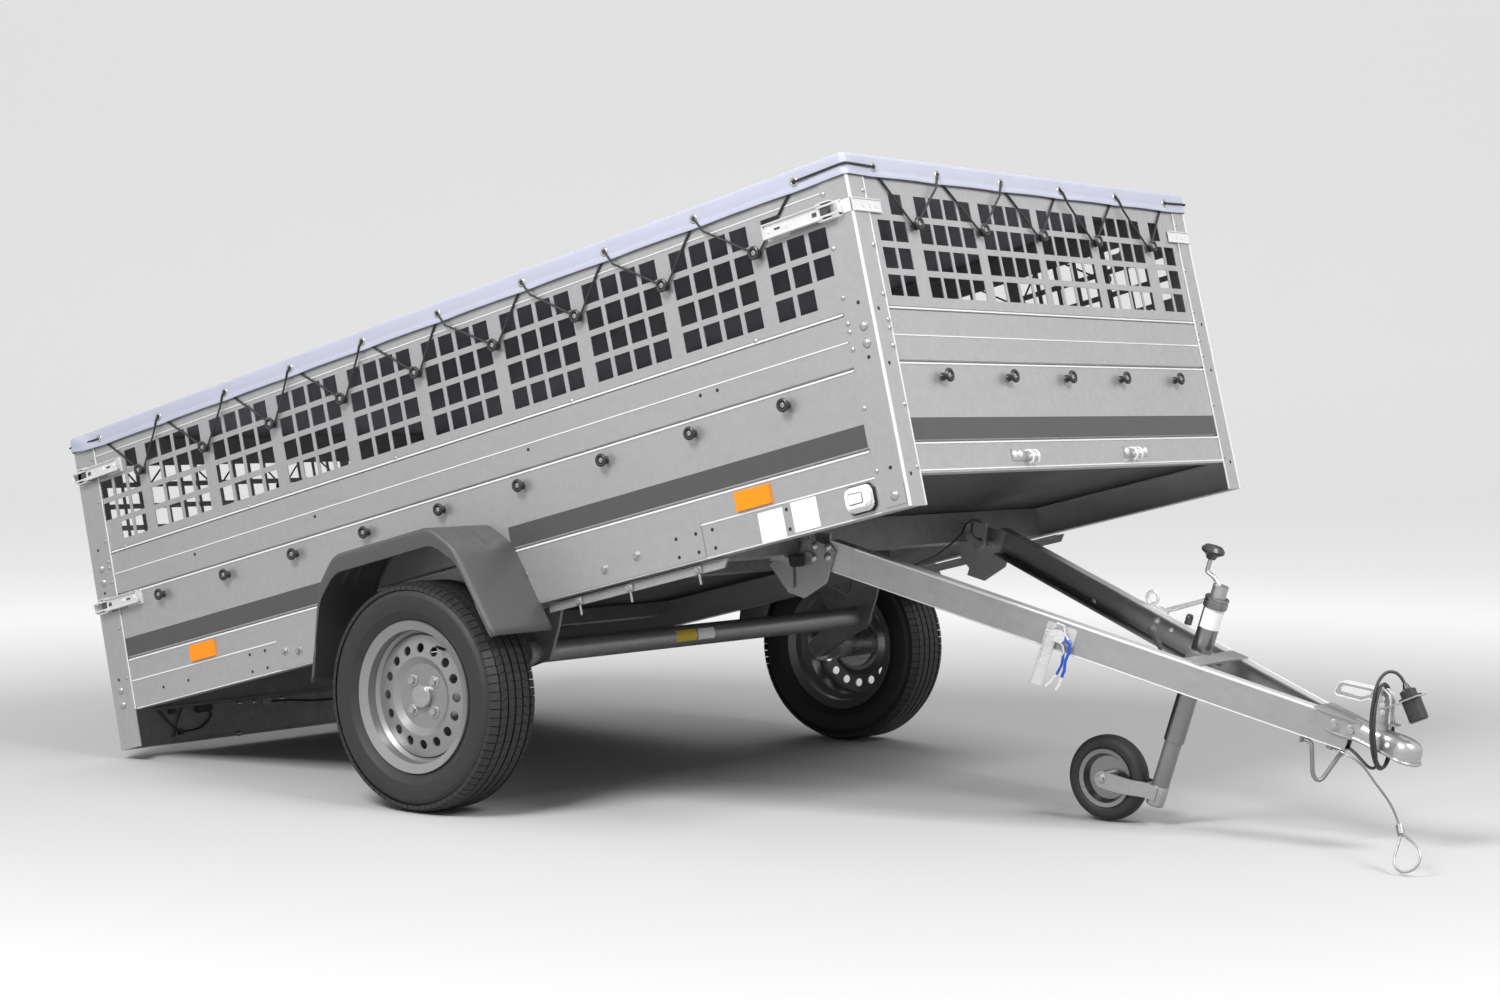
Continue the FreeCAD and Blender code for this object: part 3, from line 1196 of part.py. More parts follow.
def fork():
    """Fork that swivels on the inner tube and holds the wheel."""
    outer, front = FORK_INNER + FORK_SHEET, COLUMN_X + FORK_FRONT
    low = JOCKEY_Z - FORK_DROP + FORK_GAP
    high = low + FORK_HEIGHT
    block = box(COLUMN_X - FORK_REAR, front, -outer, outer, low, high)
    bore = rod(INNER_TUBE_RADIUS + PIN_CLEARANCE, (COLUMN_X, 0, low), (COLUMN_X, 0, high))
    outline = [(JOCKEY_X, JOCKEY_Z - FORK_EYE), (front, low), (front, high), (JOCKEY_X, JOCKEY_Z + FORK_EYE)]
    plates = []
    for side in (-1, 1):
        inner_face, outer_face = side * FORK_INNER, side * outer
        plates.append(prism_y(outline, inner_face, outer_face))
        plates.append(rod(FORK_EYE, (JOCKEY_X, inner_face, JOCKEY_Z), (JOCKEY_X, outer_face, JOCKEY_Z)))
    end = outer + FORK_AXLE_END
    axle = rod(JOCKEY_AXLE_RADIUS, (JOCKEY_X, -end, JOCKEY_Z), (JOCKEY_X, end, JOCKEY_Z))
    return fuse(block, *plates, axle).cut(bore)


def jockey_rim():
    """Pressed rim and hub of the jockey wheel."""
    half, hub_end = JOCKEY_TYRE_WIDTH / 2, JOCKEY_TYRE_WIDTH / 2 + JOCKEY_HUB_END
    side = [(JOCKEY_AXLE_RADIUS + PIN_CLEARANCE, hub_end), (JOCKEY_HUB_RADIUS, hub_end),
            (JOCKEY_HUB_RADIUS, JOCKEY_WEB), (JOCKEY_WEB_RADIUS, JOCKEY_WEB)]
    side += [(JOCKEY_RIM_RADIUS + rise, half - inset) for rise, inset in JOCKEY_RIM_STEPS]
    profile = [(radius, -height) for radius, height in side] + side[::-1]
    return lathe(profile, (JOCKEY_X, 0, JOCKEY_Z), (0, 1, 0))


def jockey_tyre():
    """Solid rubber tyre of the jockey wheel."""
    half = JOCKEY_TYRE_WIDTH / 2
    side = [(JOCKEY_RIM_RADIUS, half - JOCKEY_WALL), (JOCKEY_RIM_RADIUS + JOCKEY_WALL, half)]
    side += [(JOCKEY_RADIUS - depth, half - inset) for depth, inset in JOCKEY_SHOULDER]
    profile = [(radius, -height) for radius, height in side] + side[::-1]
    return lathe(profile, (JOCKEY_X, 0, JOCKEY_Z), (0, 1, 0))


# Loose lines


def lead_coil():
    """Outer shape of the lead's turns, hung over the coupling's handle."""
    centre = Vector(*COIL_CENTRE)
    upright = Vector(-SIN_BAR, 0, COS_BAR)
    top, side = centre + upright * COIL_HALF_HEIGHT, centre + Vector(0, COIL_HALF_WIDTH, 0)
    return swept(Part.Wire(Part.Ellipse(top, side, centre).toShape()), COIL_THICKNESS / 2)


def lead_ends():
    """Free stretches of the lead: from the arms to the coil, and from the coil to the plug."""
    return Part.makeCompound([cord("lead_tail", LEAD_TAIL_ROUTE, LEAD_DIAMETER),
                              cord("lead_end", LEAD_END_ROUTE, LEAD_DIAMETER)])


def plug():
    """Plug of the lead, with the collar that rests on its holder."""
    collar, end = PLUG_RADIUS + PLUG_COLLAR_PROUD, PLUG_LENGTH
    profile = list(PLUG_BOOT)
    profile += [(collar, PLUG_COLLAR - PLUG_COLLAR_SHEET), (collar, PLUG_COLLAR), (PLUG_RADIUS, PLUG_COLLAR),
                (PLUG_RADIUS, end - PLUG_END_BEVEL), (PLUG_RADIUS - PLUG_END_BEVEL, end), (0, end)]
    return lathe(profile, PLUG_BACK, PLUG_AXIS)


def plug_holder():
    """Plate with a hole on the coupling's handle, where the plug is parked."""
    half, sheet = HOLDER_HALF_WIDTH, HOLDER_SHEET
    plate = Part.makeBox(sheet, 2 * half, half + HOLDER_DROP, Vector(PLUG_COLLAR, -half, -HOLDER_DROP))
    hole = rod(PLUG_RADIUS + PIN_CLEARANCE, (PLUG_COLLAR, 0, 0), (PLUG_COLLAR + sheet, 0, 0))
    plate = plate.cut(hole)
    turn = FreeCAD.Rotation(Vector(1, 0, 0), Vector(*PLUG_AXIS))
    plate.Placement = FreeCAD.Placement(Vector(*PLUG_BACK), turn)
    return plate


def arm_cable():
    """Cable held inside the left arm, along its lower flange."""
    held = [(x, arm_web(x) - ARM_CABLE_INSET, z) for x, z in ARM_CABLE_LEVELS]
    return swept(round_path(held + [LEAD_TAIL_ROUTE[0]], [ARM_CABLE_BEND]), LEAD_DIAMETER / 2)


def safety_wire():
    """Safety wire with the loop at its end, over the ground under the axle."""
    return cord("safety_wire", SAFETY_WIRE_ROUTE, WIRE_DIAMETER)


def wire_ferrule():
    """Ferrule that closes the safety wire's loop."""
    return rod(FERRULE_RADIUS, *SAFETY_WIRE_ROUTE[FERRULE_POINT_COUNT:FERRULE_POINT_COUNT + 2])


# Hand-over


def paired_bed_nodes():
    """Pieces of the bed that have a node of their own on each side."""
    left = {"side_rail": side_rail(), "side_board": side_board(), "mesh_board": side_mesh_board(),
            "fender": fender(), "hub": hub(), "rim": rim(), "tyre": tyre()}
    nodes = {}
    for name, solid in left.items():
        nodes[name + "_left"] = solid
        nodes[name + "_right"] = mirrored(solid)
    return nodes


def corner_posts():
    """All four corner posts."""
    front = corner_post(BED_FRONT, 1, FRONT_POST_SIDE_FLANGE, RAIL_BOTTOM)
    rear = corner_post(BED_REAR, -1, REAR_POST_SIDE_FLANGE, REAR_POST_BOTTOM)
    return Part.makeCompound([both_sides(front), both_sides(rear)])


def knobs():
    """Knobs on the boards that stay still."""
    lower, upper = knob_levels()
    return Part.makeCompound([both_sides(side_knobs()), end_knobs(BED_FRONT, 1, lower),
                              end_knobs(BED_FRONT, 1, upper), end_knobs(BED_REAR, -1, upper)])


def box_latches():
    """Draw latches on the sides, with the catches of the mesh boards."""
    rear = BED_REAR - POST_SHEET
    latches = [draw_latch(BED_FRONT - FRONT_LATCH_CATCH, BED_FRONT - FRONT_LATCH_START, UPPER_LATCH_LEVEL),
               draw_latch(rear, BED_REAR + REAR_UPPER_LATCH_START, UPPER_LATCH_LEVEL),
               draw_latch(rear, BED_REAR + REAR_LOWER_LATCH_START, LOWER_LATCH_LEVEL),
               latch_catch(BED_FRONT, 1, UPPER_LATCH_LEVEL), latch_catch(BED_REAR, -1, UPPER_LATCH_LEVEL)]
    return Part.makeCompound([both_sides(latch) for latch in latches])


def bed_nodes():
    """Pieces modelled in the bed frame."""
    nodes = paired_bed_nodes()
    nodes.update({
        "corner_posts": corner_posts(),
        "floor_panel": floor_panel(),
        "front_board": front_board(),
        "mesh_board_front": end_mesh_board(BED_FRONT, 1),
        "mesh_board_rear": end_mesh_board(BED_REAR, -1),
        "frame_beams": frame_beams(),
        "lamp_beam": lamp_beam(),
        "lamps": Part.makeCompound([both_sides(rear_lamp()), both_sides(marker_lamp())]),
        "reflectors": reflectors(),
        "cover": cover(),
        "knobs": knobs(),
        "box_latches": box_latches(),
        "front_hooks": front_hooks(),
        "axle_tube": axle_tube(),
        "axle_plates": both_sides(axle_plate()),
        "swing_arms": both_sides(swing_arm()),
        "pivot_brackets": Part.makeCompound([both_sides(pivot_ear()), both_sides(tip_stop())]),
        "hinge_brackets": hinges(False),
        "tailgate": tailgate(),
        "tailgate_hinges": hinges(True),
        "tailgate_knobs": end_knobs(BED_REAR, -1, knob_levels()[0]),
        "tailgate_catches": both_sides(tailgate_catch(LOWER_LATCH_LEVEL)),
    })
    return nodes


def drawbar_nodes():
    """Pieces modelled in the drawbar frame."""
    return {
        "arm_left": arm(), "arm_right": mirrored(arm()), "shoes": both_sides(shoe()),
        "pivot_bolts": both_sides(pivot_bolt()),
        "arm_latches": Part.makeCompound([arm_latch_closed(), mirrored(arm_latch_open())]),
        "coupling_head": coupling_head(), "coupling_handle": coupling_handle(),
        "support_loop": support_loop(), "arm_cable": arm_cable(),
        "lead_ends": lead_ends(), "lead_coil": lead_coil(), "plug": plug(),
        "jockey_clamp": clamp(), "clamp_lever": clamp_lever(),
        "jockey_outer_tube": outer_tube(), "jockey_crank": crank(), "crank_knob": crank_knob(),
        "jockey_inner_tube": inner_tube(), "jockey_fork": fork(),
        "jockey_rim": jockey_rim(), "jockey_tyre": jockey_tyre(),
    }


def bed_placement():
    """Where the bed frame stands over the ground under the axle."""
    turn = FreeCAD.Rotation(Vector(0, 1, 0), -BED_TILT)
    return FreeCAD.Placement(Vector(0, 0, TYRE_RADIUS), turn)


def drawbar_placement():
    """Where the drawbar frame stands over the ground under the axle."""
    turn = FreeCAD.Rotation(Vector(0, 1, 0), DRAWBAR_TILT)
    return FreeCAD.Placement(Vector(PIVOT_GROUND_X, 0, PIVOT_GROUND_Z), turn)


def placed(solid, placement):
    """Move a solid from its own frame to the ground."""
    moved = solid.copy()
    moved.Placement = placement.multiply(moved.Placement)
    return moved


def middle_of_length():
    """Middle of the whole length, from the cover's rear edge to the coupling's tip."""
    rear = BED_REAR - POST_SHEET - COVER_PROUD - COVER_SHEET
    rear_end = rear * COS_BED - cover_top() * SIN_BED
    tip = PIVOT_GROUND_X + (BALL_CENTRE_X + SOCKET_RADIUS) * COS_BAR + SOCKET_DOME[0][1] * SIN_BAR
    return (rear_end + tip) / 2


def assemble():
    """Place every node on the ground with the origin under the middle."""
    nodes = {}
    for name, solid in bed_nodes().items():
        nodes[name] = placed(solid, bed_placement())
    for name, solid in drawbar_nodes().items():
        nodes[name] = placed(solid, drawbar_placement())
    nodes["safety_wire"], nodes["wire_ferrule"] = safety_wire(), wire_ferrule()
    shift = Vector(-middle_of_length(), 0, 0)
    for solid in nodes.values():
        solid.translate(shift)
    return nodes


def export():
    """Write one file for each node."""
    os.makedirs("parts", exist_ok=True)
    for name, solid in assemble().items():
        solid.exportStep("parts/" + name + ".step")


export()
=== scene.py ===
"""Looks of a tipping utility trailer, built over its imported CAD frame.

Sizes are in millimetres, in the body's own frame (x forward from the axle, y left, z up from the axle's height)
or in the drawbar's own frame (x along it, z square to it, from the tipping pivot). A finished mesh is in metres.
"""

import logging
import math
from dataclasses import dataclass
from enum import Enum
from typing import Sequence

import bmesh
import bpy
from mathutils import Matrix, Vector


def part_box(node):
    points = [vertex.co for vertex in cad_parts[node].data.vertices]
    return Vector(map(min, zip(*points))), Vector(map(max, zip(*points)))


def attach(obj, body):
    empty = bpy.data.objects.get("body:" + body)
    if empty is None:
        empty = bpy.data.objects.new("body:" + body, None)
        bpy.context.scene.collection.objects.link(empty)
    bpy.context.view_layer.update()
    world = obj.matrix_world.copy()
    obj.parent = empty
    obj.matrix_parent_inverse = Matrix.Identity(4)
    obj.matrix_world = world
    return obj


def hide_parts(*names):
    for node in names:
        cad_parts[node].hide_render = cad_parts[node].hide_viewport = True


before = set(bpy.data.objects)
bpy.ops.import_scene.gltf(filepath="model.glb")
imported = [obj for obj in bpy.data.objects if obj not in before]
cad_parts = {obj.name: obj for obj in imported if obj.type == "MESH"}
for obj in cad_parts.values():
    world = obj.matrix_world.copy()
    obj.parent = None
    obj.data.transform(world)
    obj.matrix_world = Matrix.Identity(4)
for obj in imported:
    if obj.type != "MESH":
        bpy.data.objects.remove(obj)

Point = tuple[float, float, float]
Flat = tuple[float, float]
Colour = tuple[float, float, float]
Flats = tuple[Flat, ...]
Points = tuple[Point, ...]
MM = 0.001
LOG = logging.getLogger("trailer")


@dataclass(frozen=True)
class Placement:
    """A frame that a sub-assembly is built in.

    Args:
        origin: its place in the model, in metres.
        nose_up: how far its x axis points up, in degrees.
    """

    origin: Point
    nose_up: float

    def matrix(self) -> Matrix:
        """Give the matrix from this frame's millimetres to the model's metres."""
        turn = Matrix.Rotation(-math.radians(self.nose_up), 4, "Y")
        return Matrix.Translation(self.origin) @ turn @ Matrix.Scale(MM, 4)

    def at(self, point: Sequence[float]) -> Vector:
        """Give a point of this frame in the model."""
        return self.matrix() @ Vector(point)


BED = Placement((-0.303141, 0.0, 0.2735), 13.529)
BAR = Placement((0.47477, 0.0, 0.60981), -18.1)
GROUND = Placement((-0.303141, 0.0, 0.0), 0.0)
SCENE = Placement((0.0, 0.0, 0.0), 0.0)

HALF_WIDTH = 740.0
POST_FACE = 742.5
BED_FRONT = 1378.5
BED_REAR = -1325.5
POST_LOW, POST_HIGH = 161.0, 931.0
KNOB_LEVELS = (443.0, 785.0)
SIDE_KNOBS = tuple(31.0 + 270.5 * step for step in range(-4, 5))
END_KNOBS = (-518.0, -252.0, 0.0, 252.0, 518.0)
ARM_REAR = (38.0, 384.9)
ARM_SPLAY = 17.14
SIDES = (-1.0, 1.0)
NAMED_SIDES = ((1.0, "left"), (-1.0, "right"))


class Effect(Enum):
    """Surface patterns that the finishes share."""

    SPANGLE = "zinc spangle"
    ROLLED = "rolled lines"
    GRAIN = "moulded grain"
    WEAVE = "coated weave"
    PRISM = "prism grid"


@dataclass(frozen=True)
class Finish:
    """One finish: what the surface is made of and how it varies.

    Args:
        name: its name in the file.
        colour: its main colour.
        second: the colour of its paler, darker or dusty patches.
        effect: the pattern that mixes the two.
        scale: the pattern's size, in repeats a metre.
        share: how much of the second colour shows.
        rough: lowest and highest roughness.
        metallic: 0 for paint and plastic, up to 1 for bare metal.
        bump: the height of its relief, in millimetres.
        coat: clear coat over it.
        sheen: soft sheen, for cloth.
    """

    name: str
    colour: Colour
    second: Colour
    effect: Effect
    scale: float
    share: float = 0.5
    rough: Flat = (0.4, 0.55)
    metallic: float = 0.0
    bump: float = 0.05
    coat: float = 0.0
    sheen: float = 0.0


BOARD_STEEL = Finish("board_steel", (0.47, 0.472, 0.476), (0.37, 0.372, 0.377), Effect.SPANGLE, 70, 0.45,
                     (0.32, 0.46), 0.6, 0.02)
ARM_STEEL = Finish("arm_steel", (0.42, 0.422, 0.426), (0.33, 0.332, 0.337), Effect.SPANGLE, 62, 0.5,
                   (0.34, 0.5), 0.6, 0.03)
FRAME_STEEL = Finish("frame_steel", (0.27, 0.272, 0.276), (0.18, 0.182, 0.186), Effect.SPANGLE, 55, 0.55,
                     (0.38, 0.56), 0.55, 0.03)
MID_STEEL = Finish("mid_steel", (0.30, 0.302, 0.306), (0.22, 0.222, 0.226), Effect.SPANGLE, 55, 0.5,
                   (0.34, 0.5), 0.6, 0.02)
# Dark steel for the latches' pivots; the latches' slots in it are painted shade.
DARK_STEEL_AND_SLOT_SHADE = Finish("dark_steel_and_slot_shade", (0.10, 0.10, 0.103), (0.06, 0.06, 0.062), Effect.SPANGLE, 45, 0.5,
                    (0.45, 0.6), 0.4, 0.03)
BRIGHT_ZINC = Finish("bright_zinc", (0.45, 0.45, 0.455), (0.36, 0.36, 0.365), Effect.ROLLED, 30, 0.35,
                     (0.2, 0.32), 0.7, 0.006)
LATCH_ZINC = Finish("latch_zinc", (0.84, 0.84, 0.845), (0.66, 0.66, 0.67), Effect.ROLLED, 30, 0.35,
                    (0.22, 0.34), 0.45, 0.006)
POLISHED = Finish("polished_zinc", (0.27, 0.27, 0.275), (0.21, 0.21, 0.215), Effect.ROLLED, 24, 0.35,
                  (0.16, 0.26), 0.9, 0.004)
# Pale zinc. The thin sheets over the arms' top flanges in it are painted sheen; the open latch's base plate in it is
# pale zinc.
PALE_ZINC_AND_PAINTED_SHEEN = Finish("pale_zinc_and_painted_sheen", (0.70, 0.70, 0.705), (0.58, 0.58, 0.585), Effect.SPANGLE, 62, 0.45,
                     (0.3, 0.42), 0.4, 0.01)
# Near-white zinc. The strips laid along folds and edges in it are painted highlights; the rivets and bolts in it are
# bright zinc.
ZINC_AND_PAINTED_HIGHLIGHT = Finish("zinc_and_painted_highlight", (0.86, 0.86, 0.86), (0.74, 0.74, 0.74), Effect.ROLLED, 30, 0.35, (0.3, 0.4), 0.3, 0.004)
STRIPE = Finish("stripe_film", (0.075, 0.075, 0.076), (0.062, 0.062, 0.064), Effect.GRAIN, 60, 0.4,
                (0.42, 0.5), 0.0, 0.01)
COVER_CLOTH = Finish("cover_cloth", (0.475, 0.495, 0.595), (0.41, 0.43, 0.53), Effect.WEAVE, 420, 0.35,
                     (0.5, 0.62), 0.0, 0.12, sheen=0.2)
ELASTIC = Finish("elastic_cord", (0.012, 0.012, 0.012), (0.03, 0.03, 0.03), Effect.WEAVE, 900, 0.5,
                 (0.6, 0.75), 0.0, 0.15)
FENDER_PLASTIC = Finish("fender_plastic", (0.060, 0.060, 0.061), (0.085, 0.085, 0.087), Effect.GRAIN, 320, 0.4,
                        (0.42, 0.56), 0.0, 0.08)
BLACK_PLASTIC = Finish("black_plastic", (0.013, 0.013, 0.014), (0.028, 0.028, 0.03), Effect.GRAIN, 500, 0.4,
                       (0.3, 0.42), 0.0, 0.04, coat=0.15)
TYRE_RUBBER = Finish("tyre_rubber", (0.011, 0.011, 0.011), (0.026, 0.026, 0.025), Effect.GRAIN, 140, 0.45,
                     (0.5, 0.68), 0.0, 0.12)
RIM_PAINT = Finish("rim_paint", (0.30, 0.302, 0.306), (0.24, 0.242, 0.246), Effect.GRAIN, 260, 0.35,
                   (0.26, 0.36), 0.55, 0.01, coat=0.15)
SHEATH = Finish("cable_sheath", (0.02, 0.02, 0.021), (0.04, 0.04, 0.042), Effect.GRAIN, 420, 0.4,
                (0.38, 0.5), 0.0, 0.04)
WIRE_STEEL = Finish("wire_steel", (0.5, 0.5, 0.51), (0.28, 0.28, 0.285), Effect.WEAVE, 700, 0.5, (0.3, 0.42), 0.85, 0.2)
REFLECTOR = Finish("reflector_orange", (0.94, 0.31, 0.0), (0.94, 0.23, 0.0), Effect.PRISM, 260, 0.4,
                   (0.45, 0.55), 0.0, 0.1)
RED_LENS = Finish("red_lens", (0.52, 0.006, 0.006), (0.36, 0.004, 0.004), Effect.PRISM, 200, 0.5,
                  (0.1, 0.18), 0.0, 0.25, coat=0.6)
AMBER_LENS = Finish("amber_lens", (0.9, 0.26, 0.004), (0.75, 0.18, 0.003), Effect.PRISM, 200, 0.5,
                    (0.1, 0.18), 0.0, 0.25, coat=0.6)
CLEAR_LENS = Finish("clear_lens", (0.96, 0.96, 0.97), (0.74, 0.75, 0.76), Effect.PRISM, 150, 0.5,
                    (0.08, 0.16), 0.0, 0.35, coat=0.4)
LABEL = Finish("blank_label", (0.93, 0.93, 0.92), (0.86, 0.86, 0.85), Effect.GRAIN, 90, 0.4, (0.35, 0.45), 0.0, 0.01)
YELLOW_LABEL = Finish("yellow_label", (0.72, 0.55, 0.02), (0.6, 0.45, 0.02), Effect.GRAIN, 90, 0.4,
                      (0.4, 0.5), 0.0, 0.01)
BLUE_TAG = Finish("blue_tag", (0.012, 0.1, 0.6), (0.01, 0.075, 0.46), Effect.GRAIN, 120, 0.4, (0.35, 0.45), 0.0, 0.02)
FLOOR_BOARD = Finish("floor_board", (0.024, 0.021, 0.019), (0.015, 0.013, 0.012), Effect.WEAVE, 260, 0.5,
                     (0.45, 0.6), 0.0, 0.2)
# Near black for the inside of open holes: painted shade.
HOLE_SHADE = Finish("painted_hole_shade", (0.012, 0.012, 0.012), (0.02, 0.02, 0.02), Effect.GRAIN, 300, 0.5, (0.7, 0.8))
STUDIO = Finish("studio_floor", (0.54, 0.54, 0.54), (0.52, 0.52, 0.52), Effect.GRAIN, 3, 0.2, (0.8, 0.9), 0.0, 0.0)


class Nodes:
    """A node tree, with short calls that add nodes, join them and run the tree."""

    def __init__(self, tree: bpy.types.NodeTree) -> None:
        """Work in a tree."""
        self.tree = tree
        self.keys: dict[str, str] = {}

    @classmethod
    def group(cls, name: str, kind: str, inputs: dict[str, str], outputs: dict[str, str]) -> "Nodes":
        """Start a node group with named inputs and outputs.

        Args:
            name: its name.
            kind: the kind of tree.
            inputs: the kind of each input, by its name.
            outputs: the kind of each output, by its name.

        Returns:
            The group.
        """
        nodes = cls(bpy.data.node_groups.new(name, kind))
        for way, sockets in (("INPUT", inputs), ("OUTPUT", outputs)):
            for label, sort in sockets.items():
                made = nodes.tree.interface.new_socket(label, in_out=way, socket_type="NodeSocket" + sort)
                nodes.keys[label] = made.identifier
        return nodes

    def ends(self) -> tuple[bpy.types.Node, bpy.types.Node]:
        """Add the group's input and output nodes."""
        return self.add("NodeGroupInput"), self.add("NodeGroupOutput")

    def add(self, kind: str, values: dict[str, object] | None = None, **settings: object) -> bpy.types.Node:
        """Add a node.

        Args:
            kind: its type.
            values: values for its inputs, by name.
            settings: its own properties.

        Returns:
            The node.
        """
        node = self.tree.nodes.new(kind)
        for label, value in settings.items():
            setattr(node, label, value)
        for label, value in (values or {}).items():
            node.inputs[label].default_value = value
        return node

    def join(self, *pairs: tuple[bpy.types.NodeSocket, bpy.types.NodeSocket]) -> None:
        """Link each pair of an output and an input."""
        for source, target in pairs:
            self.tree.links.new(source, target)

    def sum(self, operation: str, *values: object, clamp: bool = False) -> bpy.types.NodeSocket:
        """Add a Math node over sockets and numbers.

        Args:
            operation: the node's operation.
            values: sockets or plain numbers.
            clamp: whether the result is kept from 0 to 1.

        Returns:
            Its value.
        """
        node = self.add("ShaderNodeMath", operation=operation, use_clamp=clamp)
        for socket, value in zip(node.inputs, values):
            if isinstance(value, (int, float)):
                socket.default_value = value
            else:
                self.join((value, socket))
        return node.outputs[0]

    def run(self, name: str, mesh: bpy.types.Mesh, values: dict[str, object]) -> bpy.types.Object:
        """Run this tree on a mesh and give the plain mesh that comes out.

        Args:
            name: the new object's name.
            mesh: the mesh that goes in.
            values: the inputs by name. The object named Form is removed afterwards.

        Returns:
            The object.
        """
        holder = placed(name + "_holder", mesh)
        modifier = holder.modifiers.new("copies", "NODES")
        modifier.node_group = self.tree
        for label, value in values.items():
            modifier[self.keys[label]] = value
        plain = bpy.data.meshes.new_from_object(holder.evaluated_get(bpy.context.evaluated_depsgraph_get()))
        plain.name = name
        for used in (holder, values["Form"]):
            bpy.data.objects.remove(used)
        return placed(name, plain)


def placed(name: str, data: bpy.types.ID) -> bpy.types.Object:
    """Give a new object in the scene.

    Args:
        name: its name.
        data: its mesh, curve, camera or lamp.

    Returns:
        The object.
    """
    thing = bpy.data.objects.new(name, data)
    bpy.context.scene.collection.objects.link(thing)
    return thing


